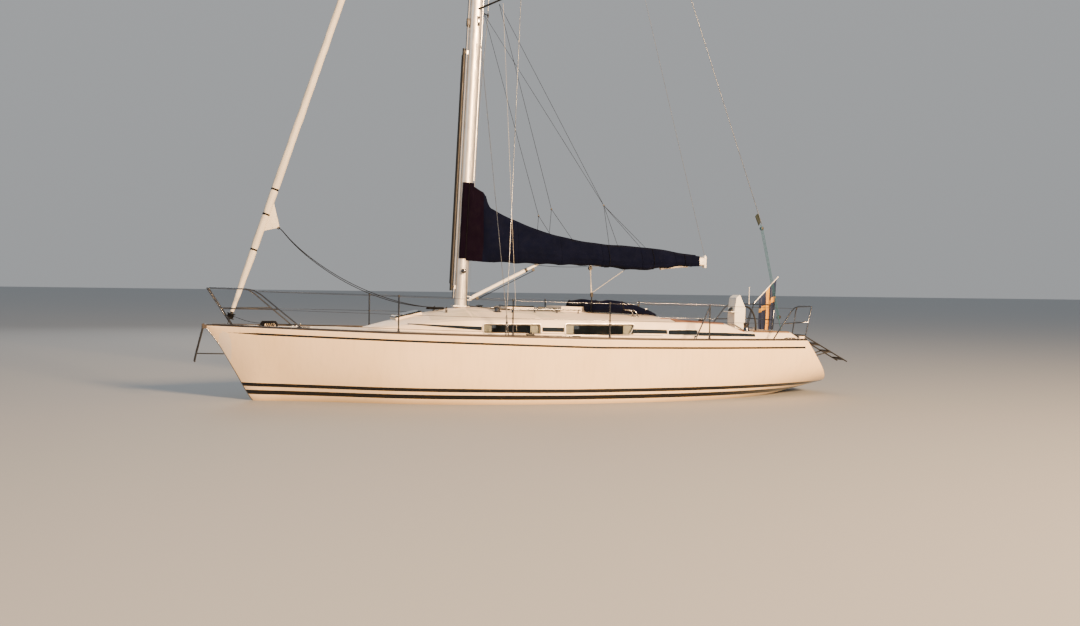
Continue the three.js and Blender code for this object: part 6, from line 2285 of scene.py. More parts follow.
@dataclass
class MastCollar:
    """The cover's front, laced round the mast above the boom."""

    low: float = 0.838
    clear: float = 1.02  # above the boom, on the after side
    high: float = 2.17
    mast_long: float = 0.114  # half the mast's section
    mast_wide: float = 0.071

    def build(self) -> None:
        """Builds the collar and the front panel."""
        shape = Shape()
        steps, levels = 54, 46
        start = math.asin(0.062 / 0.09)
        rings = []
        for face, grow in (("outer", 0.0165), ("inner", 0.004)):
            for j in range(levels + 1) if face == "outer" else range(levels, -1, -1):
                ring = []
                for i in range(steps + 1):
                    a = start + (math.tau - 2 * start) * i / steps
                    aft = max(0.0, -math.cos(a))
                    foot = self.low if aft < 0.3 else self.clear
                    up = foot + (self.high - foot) * j / levels
                    push = 0.0
                    if face == "outer":
                        gather = math.sin(a * 13 + 2.4 * noise.noise(Vector((up * 2.4, a, 0))))
                        push = 0.0022 * gather + 0.004 * noise.noise(Vector((up * 6, a * 2, 4)))
                    x = (self.mast_long + grow + push) * math.cos(a)
                    y = (self.mast_wide + grow + push) * math.sin(a)
                    if x > 0.09:
                        y = math.copysign(max(abs(y), 0.061), y)
                    ring.append(tuple(Lines.mast(x, y, up)))
                rings.append(ring)
        rings.append(rings[0])
        shape.skin(rings, closed=False, caps=False)
        collar = shape.piece("mast_collar", CANVAS_FRONT, stands_for=["mast_cover"], crease=75, weld=0.0002)
        self.front_panel()

    def front_panel(self) -> None:
        """The cloth between mast and boom."""
        shape = Shape()
        rings = []
        columns, levels = 22, 60
        mast_foot = Lines.mast(-0.03, 0.0, 0.9)
        for k in range(columns + 1):
            t = k / columns
            x_top = Lines.mast(-0.03, 0.0, 2.165).x
            section = []
            for i in range(levels + 1):
                h = i / levels
                low = 2.398 + (2.378 - 2.398) * t
                high = 3.735 + (3.598 - 3.735) * t
                z = low + (high - low) * h
                front = mast_foot.x + (x_top - mast_foot.x) * h
                x = front + (0.962 - front) * t
                w = 0.0885 + (0.07 * BoomCover.girth(h) - 0.0885) * min(1.0, 1.35 * t)
                fold = 0.007 * noise.noise(Vector((x * 9, z * 2.6, 1.0))) + 0.004 * math.sin(z * 21 + x * 30)
                w = max(w + fold * math.sin(math.pi * t), 0.0615 if z < 2.575 else 0.008)
                section.append((x, w, z))
            rings.append([*section, *((x, -w, z) for x, w, z in reversed(section))])
        shape.skin(rings)
        panel = shape.piece("cover_front_panel", CANVAS_FRONT, body=None, crease=75)
        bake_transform(panel)


@dataclass
class Sprayhood:
    """The folded sprayhood: a thick roll of canvas and steel hoops round the hatch's end."""

    rows: tuple[tuple[float, float, float, float], ...] = (
        # x, y, high, half width
        (-2.12, 0.6, 0.036, 0.04),
        (-1.98, 0.61, 0.09, 0.07),
        (-1.72, 0.62, 0.18, 0.098),
        (-1.42, 0.62, 0.235, 0.108),
        (-1.17, 0.6, 0.25, 0.112),
        (-0.96, 0.585, 0.205, 0.105),
        (-0.865, 0.48, 0.14, 0.09),
        (-0.87, 0.26, 0.068, 0.08),
        (-0.875, 0.0, 0.056, 0.078),
    )
    count: int = 120
    strapped: tuple[int, ...] = (22, 40, 80, 98)  # the rings that are strapped down

    def under(self, x: float, y: float) -> float:
        """Height of what the roll lies on.

        Args:
            x: where along the boat.
            y: where across it.

        Returns:
            The height of the sliding hatch where it is, else of the coachroof.
        """
        if abs(y) < 0.425 and x < -0.355:
            x0 = max(x, -1.3)
            slope = (Lines.roof_top(-0.74) - Lines.roof_top(-0.94)) / 0.2
            return Lines.roof_top(-0.84) + 0.062 + (x0 + 0.84) * slope
        return Lines.roof(x, y)

    def line(self) -> list[tuple[float, float, float, float]]:
        """The roll's course round the hatch, from the port end to the starboard one.

        Returns:
            X, y, height and half width at each ring.
        """
        table = Table([(-i, *row) for i, row in enumerate(self.rows)])
        out: list[tuple[float, float, float, float]] = []
        for k in range(self.count + 1):
            u = 2 * (len(self.rows) - 1) * k / self.count
            mirrored = u > len(self.rows) - 1
            v = 2 * (len(self.rows) - 1) - u if mirrored else u
            _, x, y, high, half = table.read(-v)
            out.append((x, -abs(y) if mirrored else abs(y), high, half))
        return out

    def build(self) -> None:
        """Builds the roll, its straps and hoop ends."""
        rings = self.roll()
        self.straps(rings)
        self.hoops()

    def roll(self) -> list[list[Point]]:
        """The rolled canvas, creased, and drawn in where it is strapped.

        Returns:
            Its rings.
        """
        rings = []
        line = self.line()
        for k, (x, y, high, half) in enumerate(line):
            a, b = line[max(0, k - 1)], line[min(self.count, k + 1)]
            along = Vector((b[0] - a[0], b[1] - a[1], 0)).normalized()
            across = Vector((-along.y, along.x, 0))
            low = max(
                self.under(x + across.x * q * half, y + across.y * q * half)
                for q in (-0.9, -0.5, 0, 0.5, 0.9)
            )
            ring = []
            for t in round_angles(40):
                c, s = math.cos(t), math.sin(t)
                crease = (1 - abs(noise.noise(Vector((k * 0.07 + c * 0.5, c * 2.2, s * 2.2))))) ** 5
                roll = 0.007 * math.sin(5 * t + k * 0.11 + 2 * noise.noise(Vector((k * 0.05, 0, 0))))
                push = 0.014 * noise.noise(Vector((x * 4, y * 4, s * 2 + c))) + 0.01 * crease - 0.008 + roll
                strap = sum(math.exp(-(((k - at) / 1.6) ** 2)) for at in self.strapped)
                r = 1 - 0.06 * strap
                p = Vector((x, y, 0)) + across * ((half - 0.004) * r * c + push * c)
                up = max(-0.9, s) * (high / 2 - 0.004) * r + push * max(s, 0)
                ring.append((p.x, p.y, low + 0.003 + high / 2 + up))
            rings.append(self.clear_post(ring))
        shape = Shape()
        shape.skin(rings)
        hood = shape.piece("folded_sprayhood", CANVAS, stands_for=["sprayhood"], crease=75)
        return rings

    def straps(self, rings: list[list[Point]]) -> None:
        """Webbing straps round the roll.

        Args:
            rings: the roll's rings.
        """
        straps = Shape()
        for at in self.strapped:
            ring = [tuple(Vector(p) + Vector((0, 0, 0.003))) for p in rings[at]]
            middle = sum((Vector(p) for p in ring), Vector()) / len(ring)
            straps.tube(
                [tuple(middle + (Vector(p) - middle) * 1.02) for p in ring],
                0.0022,
                sides=6,
                wide=6.0,
                loop=True,
            )
        straps.piece("sprayhood_straps", ROPE)

    def hoops(self) -> None:
        """The ends of the folded hoops, on their feet beside the roll."""
        hoops = Shape()
        for _, s in SIDES:
            for n in range(2):
                x, y = -1.62 - 0.08 * n, s * (0.728 + 0.004 * n)
                z = Lines.roof(x, y)
                hoops.tube(
                    smooth_curve(
                        [
                            (x, y, z - 0.004),
                            (x, y, z + 0.05),
                            (x + 0.04, y - s * 0.012, z + 0.1),
                            (x + 0.22, y - s * 0.02, z + 0.135),
                        ],
                        6,
                    ),
                    0.0105,
                    sides=12,
                )
                hoops.block((x - 0.03, y - 0.016, z - 0.006), (x + 0.03, y + 0.016, z + 0.012), 0.003)
        hoops.piece("sprayhood_hoop_ends", STAINLESS_PAINTED_SHADE)

    @staticmethod
    def clear_post(ring: list[Point]) -> list[Point]:
        """Keeps the roll clear of the mainsheet's post and track.

        Args:
            ring: one section of the roll.

        Returns:
            The section, flattened where it would reach them.
        """
        out = []
        for x, y, z in ring:
            if abs(y) < 0.41 and x < -1.04:
                x = -1.04
            out.append((x, y, z))
        return out


@dataclass
class Ropes:
    """Free cordage: the jib's sheets, the halyard tail's hank and the coil on the foredeck."""

    sheet_r: float = 0.006
    sheet_route: tuple[tuple[float, float, float], ...] = (
        # x, share of the way out to the lead post, z
        (4.503, 0, 2.874),
        (4.44, 0.01, 2.818),
        (4.33, 0.04, 2.692),
        (4.15, 0.1, 2.518),
        (3.95, 0.17, 2.357),
        (3.75, 0.24, 2.216),
        (3.55, 0.31, 2.091),
        (3.35, 0.38, 1.981),
        (3.15, 0.45, 1.885),
        (2.95, 0.53, 1.802),
        (2.75, 0.6, 1.731),
        (2.55, 0.68, 1.672),
        (2.35, 0.75, 1.626),
        (2.15, 0.83, 1.592),
        (1.95, 0.91, 1.571),
        (1.8, 0.96, 1.563),
        (1.722, 1, 1.5584),
    )
    lead_post: Pairs = (
        (0.017, -0.1), (0.02, -0.02), (0.013, -0.012), (0.013, 0.012), (0.02, 0.02), (0.012, 0.026),
        (0, 0.026),
    )

    clew_y: float = 0.0114
    lead_y: float = 0.43
    coil_x: float = 4.65
    hank_at: tuple[float, float] = (1.835, 0.09)

    @staticmethod
    def length(path: Sequence[Point]) -> float:
        """Length along a path."""
        return sum((Vector(b) - Vector(a)).length for a, b in zip(path, path[1:]))

    @staticmethod
    def layered(t: float, radii: Sequence[float], layers: int, hold: float) -> tuple[int, float, float]:
        """Where the rope lies in a coil of three turns a layer, wound inwards and outwards by turns.

        Args:
            t: turns so far.
            radii: the three radii, from the outer one in.
            layers: how many layers there are.
            hold: share of each turn before the rope moves over to its next radius.

        Returns:
            The layer, the radius, and how far the rope has climbed towards the next layer, up to 1.
        """
        layer = min(layers - 1, int(t / 3))
        inward = t - 3 * layer
        order = [0, 1, 2] if layer % 2 == 0 else [2, 1, 0]
        i = min(2, int(inward))
        a, b = radii[order[i]], radii[order[min(2, i + 1)]]
        share = max(0.0, (inward - i - hold) / (1 - hold))
        return layer, a + (b - a) * share, share if i == 2 and layer < layers - 1 else 0.0

    def lay(
        self, name: str, path: list[Point], radius: float, finish: Finish, node: str, lay: str, end: str
    ) -> None:
        """Args:
            name: the piece's name.
            path: its centreline.
            radius: its radius.
            finish: its finish.
            node: the CAD node that it stands for.
            lay: how it lies; not used.
            end: what its far end is; not used.
        """
        obj = Shape().tube(path, radius, sides=10).piece(name, finish, stands_for=[node])
        LOG.info("cord %s: %.2f m", name, self.length(path))

    def build(self) -> None:
        """Lays every cord and the small fittings at their ends."""
        for side, s in SIDES:
            out = self.lead_y - self.clew_y
            path = [(x, s * (self.clew_y + share * out), z) for x, share, z in self.sheet_route]
            self.lay(
                f"{side}_genoa_sheet", smooth_curve(path, 2), self.sheet_r, ROPE, f"{side}_jib_sheet",
                "hanging", "object",
            )
        knots = Shape()
        for _, s in SIDES:
            loop = [
                (
                    4.507 + 0.018 * math.cos(a),
                    s * self.clew_y + 0.006 * math.sin(a * 2),
                    2.868 + 0.018 * math.sin(a),
                )
                for a in round_angles(20)
            ]
            knots.tube(loop, 0.0058, sides=8, loop=True)
        knots.piece("sheet_bowlines", ROPE)
        leads = Shape()
        for _, s in SIDES:
            leads.lathe(self.lead_post, (1.722, s * self.lead_y, 1.5584), 28)
        leads.piece("sheet_lead_posts", STAINLESS_PAINTED_SHADE)
        self.lay("halyard_tail_hank", self.hank(), 0.006, ROPE, "halyard_hank", "coiled", "bare")
        self.lay("mooring_rope_coil", self.coil(), 0.007, ROPE, "foredeck_coil", "coiled", "bare")
        self.seize()

    def hank(self) -> list[Point]:
        """The halyard tail's hank on the roof: long flat turns in three layers.

        Returns:
            The rope's centreline.
        """
        middle_x, middle_y = self.hank_at
        straight, pitch, radii = 0.092, 0.0128, [0.0575, 0.0445, 0.0315]
        floor = max(Lines.roof(1.69, 0.03), Lines.roof(1.98, 0.03), Lines.roof(1.69, 0.15)) + 0.0075
        path: list[Point] = []
        turns, per = 9, 28
        for n in range(turns * per + 1):
            t = n / per
            layer, r, lift = self.layered(t, radii, 3, 0.7)
            c, s = math.cos(math.tau * (t % 1.0)), math.sin(math.tau * (t % 1.0))
            x = middle_x + math.copysign(straight, c) * min(1.0, abs(c) * 1.6) + r * c
            y = middle_y + r * s
            path.append((x, y, floor + (layer + lift) * pitch))
        start = path[0]
        lead = [
            (start[0] - 0.004, start[1] - 0.07, start[2] + 0.001),
            (start[0] - 0.001, start[1] - 0.035, start[2]),
        ]
        return [*lead, *path]

    def coil(self) -> list[Point]:
        """The foredeck coil: eighteen turns, three side by side in six layers.

        Returns:
            The rope's centreline.
        """
        random.seed(11)
        radii = [0.1405, 0.126, 0.1115]
        insets = [0.0, 0.0, 0.0, 0.006, 0.014, 0.026, 0.026]
        pitch, per = 0.0147, 30

        def deck(x: float, y: float) -> float:
            """Height of the rope's middle when it lies on the deck."""
            return Lines.deck(x, y) + 0.0082

        path: list[Point] = [
            (4.738, 0.160, 1.262), (4.757, 0.1595, 1.2615), (4.774, 0.152, 1.2585), (4.7855, 0.133, 1.2545)
        ]
        path += [(4.790, 0.1, 1.2515), (4.7915, 0.05, deck(4.7915, 0.05))]
        turns = 18
        wobble = [random.uniform(-0.0006, 0.0006) for _ in range(turns * 4 + 2)]
        for n in range(turns * per + 1):
            t = n / per
            layer, r, lift = self.layered(t, radii, 6, 0.75)
            inset = insets[layer] + (insets[layer + 1] - insets[layer]) * lift
            r += wobble[int(t * 4)] - inset
            x, y = self.coil_x + r * math.cos(-math.tau * t), r * math.sin(-math.tau * t)
            path.append((x, y, deck(x, y) + (layer + lift) * pitch))
        return path

    def seize(self) -> None:
        """Short lashings that hold the hank and the coil, and the mooring rope's turns on its cleats."""
        ties = Shape()
        for x in (1.80, 1.87):
            ring = [
                (
                    x,
                    self.hank_at[1] + 0.069 * math.cos(a),
                    Lines.roof(1.83, 0.05) + 0.0225 + 0.0255 * math.sin(a),
                )
                for a in round_angles(28)
            ]
            ties.tube(ring, 0.004, sides=8, loop=True)
        ties.piece("hank_lashing", ROPE)
        bands = Shape()
        for angle in (2.2, 4.1):
            c, s = math.cos(angle), math.sin(angle)
            ring = []
            for a in round_angles(24):
                r = 0.126 + 0.0285 * math.cos(a) - 0.026 * max(0.0, math.sin(a)) ** 2
                x, y = self.coil_x + r * c, r * s
                ring.append((x, y, Lines.deck(x, y) + 0.0452 + 0.0472 * math.sin(a)))
            bands.tube(ring, 0.0032, sides=8, loop=True)
        bands.piece("coil_lashings", ROPE)
        turns = Shape()
        for _, s in SIDES:
            for k in range(9):
                x = 4.578 + 0.0165 * k + 0.004 * (k % 2)
                low, high = Lines.deck(x, s * 0.165) + 0.0072, 1.2925
                tilt = 0.012 if k % 2 else -0.012
                loop = [
                    (x - tilt, 0.1455, low),
                    (x, 0.1445, (low + high) / 2),
                    (x + tilt, 0.152, high),
                    (x + tilt, 0.178, high),
                ]
                loop += [(x, 0.1855, (low + high) / 2), (x - tilt, 0.1845, low)]
                turns.tube(smooth_curve([(a, s * b, c) for a, b, c in loop], 4), 0.0066, sides=8)
        turns.piece("mooring_turns_on_cleats", ROPE)


@dataclass
class Cloths:
    """Thin hung cloth: curtains, ensign and the small pennant."""

    curtain_drop: float = 0.176

    def build(self) -> None:
        """Hangs each sheet."""
        for side, s in SIDES:
            self.curtains(side, s)
        self.ensign()
        self.pennant()

    def curtains(self, side: str, s: int) -> None:
        """Gathered curtains at both ends of the cut-through panes.

        Args:
            side: port or starboard.
            s: 1 for port, -1 for starboard.
        """
        spans = [(1.222, 1.06), (0.4, 0.228), (-0.208, -0.38), (-1.29, -1.476)]
        for n, (front, back) in enumerate(spans):
            shape = Shape()
            steps, levels = 72, 18
            y0 = (Lines.wall(front, 1.26) - 0.04 + Lines.wall(back, 1.26) - 0.04) / 2 - 0.0125
            rows = []
            for j in range(levels + 1):
                z = 1.3 - self.curtain_drop * j / levels
                row = []
                for i in range(steps + 1):
                    t = i / steps
                    x = front - 0.003 + (back + 0.003 - front + 0.003) * t
                    swell = 0.6 + 0.4 * j / levels
                    wave = 0.0052 * swell * math.sin(
                        t * math.tau * 7.5 + 0.5 * noise.noise(Vector((n, j * 0.2, t * 3)))
                    )
                    row.append((x, s * (y0 + wave), z))
                rows.append(row)
            shape.cloth(rows, 0.0005, s)
            obj = shape.piece(f"{side}_curtain_{n}", CURTAIN, crease=80)
            width = Ropes.length(rows[levels // 2])
            LOG.info("curtain %s %d: flat width %.3f m", side, n, width)
        rail = Shape()
        points = [(x, s * (Lines.wall(x, 1.3) - 0.04 - 0.0056), 1.297) for x in (1.222, 0.15, -1.0, -1.476)]
        rail.tube(points, 0.004, sides=10)
        obj = rail.piece(f"{side}_curtain_rail", WHITE_MOULDING)
        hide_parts(f"{side}_curtains")

    def ensign(self) -> None:
        """The ensign, hanging in folds from its staff: blue with a yellow cross."""
        head, along = Vector((-5.58, -1.076, 2.185)), Vector((0.4, 0.0, -0.3985))
        shape = Shape()
        steps, levels = 110, 44
        rows = []
        for j in range(levels + 1):
            v = j / levels
            row = []
            for i in range(steps + 1):
                u = i / steps
                top = head + along * u
                low = 1.095 + 0.05 * (1 - u) ** 2 + 0.022 * math.sin(u * 7)
                z = top.z - 0.012 - (top.z - 0.012 - low) * v
                open_out = min(1.0, 0.12 + v * 2.4)
                wave = math.sin(math.tau * 3.6 * u + 0.9 * v + 0.6 * math.sin(3 * v + 4 * u))
                y = -1.076 + 0.034 * open_out * wave + 0.006 * math.sin(9 * v + 5 * u) * v
                x = top.x + (
                    0.075 * (0.5 - u) + 0.03
                ) * v + 0.014 * math.cos(math.tau * 3.6 * u + 0.5) * open_out
                row.append((x, y, z))
            rows.append(row)
        shape.cloth(rows, 0.0006)
        obj = shape.piece("ensign_cloth", [BUNTING, YELLOW_BUNTING], stands_for=["ensign"], crease=80)
        width = 2 * (steps + 1)
        for face in obj.data.polygons:
            places = [divmod(i, width) for i in face.vertices]
            down = sum(j for j, _ in places) / len(places) / levels
            across = sum(min(k, width - 1 - k) for _, k in places) / len(places) / steps
            face.material_index = 1 if abs(down - 0.375) < 0.0625 or abs(across - 0.5) < 0.1 else 0

    def pennant(self) -> None:
        """The small dark-green pennant on the backstay."""
        top, low = Vector((-4.53, 0.0, 3.415)), Vector((-4.585, 0.0, 3.235))
        shape = Shape()
        rows = []
        steps, levels = 14, 20
        for j in range(levels + 1):
            v = j / levels
            at = top.lerp(low, v)
            row = []
            for i in range(steps + 1):
                u = i / steps
                x = at.x + 0.008 + 0.075 * u * (1 - 0.45 * v)
                z = at.z - 0.04 * u * u - 0.02 * u
                y = 0.009 * math.sin(u * 9 + v * 2) * u
                row.append((x, y, z))
            rows.append(row)
        shape.cloth(rows, 0.0008)
        obj = shape.piece("backstay_pennant", GREEN_BUNTING, crease=80)


# ---------------------------------------------------------------- windows, rails and stern gear


@dataclass
class Glazing:
    """The dark strip along the cabin sides: two see-through panes, one blind pane, bands between."""

    strip: Table = Table(
        [
            # x, bottom, top
            (2460, 1296, 1310),
            (1232, 1204, 1268),
            (1225, 1204, 1268),
            (225, 1196, 1264),
            (218, 1190, 1264),
            (-198, 1184, 1258),
            (-1480, 1164, 1238),
            (-1487, 1164, 1236),
            (-2113, 1154, 1226),
            (-2710, 1130, 1226),
            (-2717, 1120, 1184),
            (-3560, 1108, 1166),
            (-3700, 1104, 1160),
            (-3960, 1098, 1150),
        ],
        False,
    )
    corner: float = 0.042

    def build(self) -> None:
        """Builds both sides."""
        for side, s in SIDES:
            panes = Shape()
            self.pane(panes, s, 1.229, 0.221, 1.146, 1.326, 0.0)
            self.pane(panes, s, -0.201, -1.485, 1.124, 1.334, 0.1)
            glass = panes.piece(
                f"{side}_cabin_panes", CLEAR_ACRYLIC, stands_for=[f"{side}_cabin_windows"], crease=50
            )
            bands = Shape()
            for front, back in ((2.44, 1.246), (0.204, -0.186), (-1.44, -2.104), (-2.726, -3.9)):
                self.band(bands, s, front, back)
            self.pane(bands, s, -2.117, -2.714, 1.127, 1.235, 0.0)
            bands.piece(f"{side}_window_bands", ACRYLIC, crease=50)

    def pane(
        self, shape: Shape, s: int, front: float, back: float, low: float, high: float, slant: float
    ) -> None:
        """Adds one round-cornered pane that follows the cabin side.

        Args:
            shape: the mesh it is added to.
            s: 1 for port, -1 for starboard.
            front: its forward end.
            back: its after end.
            low: its lower edge.
            high: its upper edge.
            slant: how far the after end's lower corner stands forward of its upper one.
        """
        r, rows = self.corner, 7
        ends = [r * (1 - math.cos(math.pi / 2 * k / 6)) for k in range(7)]
        length = front - back
        stations = [
            *ends,
            *[r + (length - 2 * r) * k / 24 for k in range(1, 24)],
            *[length - e for e in reversed(ends)],
        ]
        rings = []
        for d in stations:
            near = min(d, length - d)
            cut = r - math.sqrt(max(0.0, r * r - (r - near) ** 2)) if near < r else 0.0
            cut = min(cut, r * 0.985)
            line = []
            for i in range(rows):
                z = low + cut + (high - low - 2 * cut) * i / (rows - 1)
                lean = slant * (0.8 - (z - low) / (high - low)) * (d / length) ** 2
                line.append((front - d + lean, z))
            outer = [(x, s * (Lines.wall(x, z) + 0.005), z) for x, z in line]
            inner = [(x, s * (Lines.wall(x, z) - 0.004), z) for x, z in reversed(line)]
            rings.append(outer + inner)
        shape.skin(rings)

    def band(self, shape: Shape, s: int, front: float, back: float) -> None:
        """Adds one length of the opaque band.

        Args:
            shape: the mesh it is added to.
            s: 1 for port, -1 for starboard.
            front: its forward end.
            back: its after end.
        """
        rings = []
        count = max(4, int((front - back) / 0.04))
        for k in range(count + 1):
            x = front + (back - front) * k / count
            _, low, high = self.strip.read(x * 1000)
            low, high = low / 1000, high / 1000
            zs = [low, (low + high) / 2, high]
            outer = [(x, s * (Lines.wall(x, z) + 0.0045), z) for z in zs]
            inner = [(x, s * (Lines.wall(x, z) - 0.001), z) for z in reversed(zs)]
            rings.append(outer + inner)
        shape.skin(rings)


@dataclass
class Rails:
    """Pulpit, pushpits and guardrails, with the bases and caps of their posts."""

    wires: tuple[float, float] = (0.6, 0.31)  # above the deck
    posts: Pairs = ((2.73, 1.26), (0.89, 1.575), (-0.8, 1.655), (-2.735, 1.53), (-2.455, 1.54))
    socket: Pairs = (
        (0, 0.001), (0.036, 0.001), (0.036, 0.007), (0.022, 0.01), (0.0185, 0.016), (0.0185, 0.075),
        (0.0145, 0.078), (0, 0.078),
    )
    bolt: Pairs = ((0, 0.006), (0.0045, 0.006), (0.0035, 0.0095), (0, 0.0105))
    foot: Pairs = ((0, 0.001), (0.033, 0.001), (0.033, 0.007), (0.02, 0.012), (0, 0.012))
    cap: Pairs = ((0, 0.0), (0.0155, 0.0), (0.0155, 0.018), (0.011, 0.026), (0, 0.028))
    collar: Pairs = ((0.0135, -0.01), (0.0155, -0.008), (0.0155, 0.008), (0.0135, 0.01))

    def build(self) -> None:
        """Finishes the rails and adds their fittings."""
        carry("pulpit", STAINLESS_PAINTED_SHADE, crease=60)
        for side, s in SIDES:
            carry(f"{side}_guardrail", STAINLESS_PAINTED_SHADE, crease=60)
            carry(f"{side}_pushpit", STAINLESS_PAINTED_SHADE, crease=60)
            bases = Shape()
            for x, y in self.posts:
                z = Lines.deck(x, s * y)
                bases.lathe(self.socket, (x, s * y, z), 28)
                for dx, dy in ((0.027, 0), (-0.027, 0), (0, 0.027), (0, -0.027)):
                    bases.lathe(self.bolt, (x + dx, s * y + dy, z), 10)
            for x, y in ((5.235, 0.15), (4.172, 0.64), (-4.11, 1.33), (-4.905, 1.11), (-5.07, 0.388)):
                bases.lathe(self.foot, (x, s * y, Lines.deck(x, s * y)), 26)
            bases.piece(f"{side}_rail_bases", STAINLESS_PAINTED_SHADE)
            caps = Shape()
            for x, y in self.posts[:4]:
                for profile, up in zip((self.cap, self.collar), self.wires):
                    caps.lathe(profile, (x, s * y, Lines.deck(x, s * y) + up), 20)
            caps.piece(f"{side}_stanchion_caps", BLACK_PLASTIC)


@dataclass
class Openings:
    """Hatches, doors and lids with their rims, handles and hinges."""

    knob: Pairs = (
        (0, 0), (0.018, 0), (0.018, 0.003), (0.007, 0.006), (0.007, 0.016), (0.014, 0.022), (0.014, 0.03),
        (0.009, 0.034), (0, 0.035),
    )
    latch: Pairs = ((0, 0), (0.026, 0), (0.026, 0.003), (0.02, 0.005), (0, 0.005))
    handle: Pairs = ((0, 0), (0.02, 0), (0.02, 0.006), (0.012, 0.012), (0, 0.013))
    rim_inset: float = 0.016
    rim_round: float = 0.05

    def build(self) -> None:
        """Builds every opening's fittings, each on its own moving body."""
        for name in ("fore_hatch", "saloon_hatch"):
            self.deck_hatch(name)
        carry("companionway_hatch", ACRYLIC, crease=30, ease=0.004)
        slide = Shape()
        slide.block((-2.172, -0.13, 1.556), (-2.132, 0.13, 1.578), 0.006)
        slide.piece("companionway_slide_grip", ANODISED, body="companionway_hatch_body")
        for side, s in SIDES:
            carry(f"companionway_door_{side}", VARNISH, crease=30, ease=0.003)
            knob = Shape()
            knob.lathe(self.knob, (-2.15, s * 0.04, 1.2), 30, (-1, 0, 0))
            y0, y1 = sorted((s * 0.282, s * 0.312))
            for z in (1.0, 1.36):
                knob.block((-2.1535, y0, z - 0.03), (-2.1495, y1, z + 0.03), 0.001)
            knob.piece(f"{side}_door_fittings", BRONZE, body=f"{side}_door_body")
            slats = Shape()
            y0, y1 = sorted((s * 0.075, s * 0.25))
            for k in range(7):
                z = 1.245 + 0.022 * k
                slats.block((-2.1535, y0, z), (-2.1495, y1, z + 0.012), 0.0015)
            slats.piece(f"{side}_door_louvres", VARNISH, body=f"{side}_door_body")
        carry("anchor_locker_lid", DECK_GELCOAT, crease=30, ease=0.003)
        latch = Shape()
        latch.lathe(self.latch, (4.872, 0.0, 1.2455), 32)
        latch.block((4.856, -0.004, 1.25), (4.888, 0.004, 1.2535), 0.0012)
        latch.piece("anchor_lid_latch", STAINLESS_PAINTED_SHADE, body="anchor_lid_body")

    def deck_hatch(self, name: str) -> None:
        """Adds a metal rim, hinges and two handles to one deck hatch.

        Args:
            name: the hatch's node.
        """
        carry(name, ACRYLIC, crease=30, ease=0.004)
        low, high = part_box(name)
        node = bpy.data.objects[name]
        tops = [node.matrix_world @ v.co for v in node.data.vertices]

        def top(x: float, y: float) -> float:
            """The lid's height near a point."""
            near = sorted(tops, key=lambda p: (p.x - x) ** 2 + (p.y - y) ** 2)[:6]
            return max(p.z for p in near)

        zf, zb = top(high[0], 0.0), top(low[0], 0.0)
        slope = (zf - zb) / (high[0] - low[0])
        rim, inner, r = [], self.rim_inset, self.rim_round
        x0, x1, y1 = low[0] + inner, high[0] - inner, high[1] - inner
        for cx, cy, start in (
            (x1 - r, y1 - r, 0), (x0 + r, y1 - r, 90), (x0 + r, -y1 + r, 180), (x1 - r, -y1 + r, 270)
        ):
            for k in range(9):
                a = math.radians(start + 90 * k / 8)
                x, y = cx + r * math.cos(a), cy + r * math.sin(a)
                rim.append((x, y, zb + slope * (x - low[0]) + 0.0005))
        frame = Shape()
        frame.tube(rim, 0.0055, sides=8, wide=2.2, loop=True)
        for s in (1, -1):
            x = high[0] - 0.03
            frame.block(
                (x - 0.03, s * 0.13 - 0.02, zf - 0.002), (x + 0.026, s * 0.13 + 0.02, zf + 0.009), 0.003
            )
        frame.piece(f"{name}_rim", ANODISED, body=f"{name}_body")
        knobs = Shape()
        for s in (1, -1):
            x = low[0] + 0.055
            knobs.lathe(self.handle, (x, s * 0.12, zb + slope * 0.055), 24)
        knobs.piece(f"{name}_handles", BLACK_PLASTIC, body=f"{name}_body")


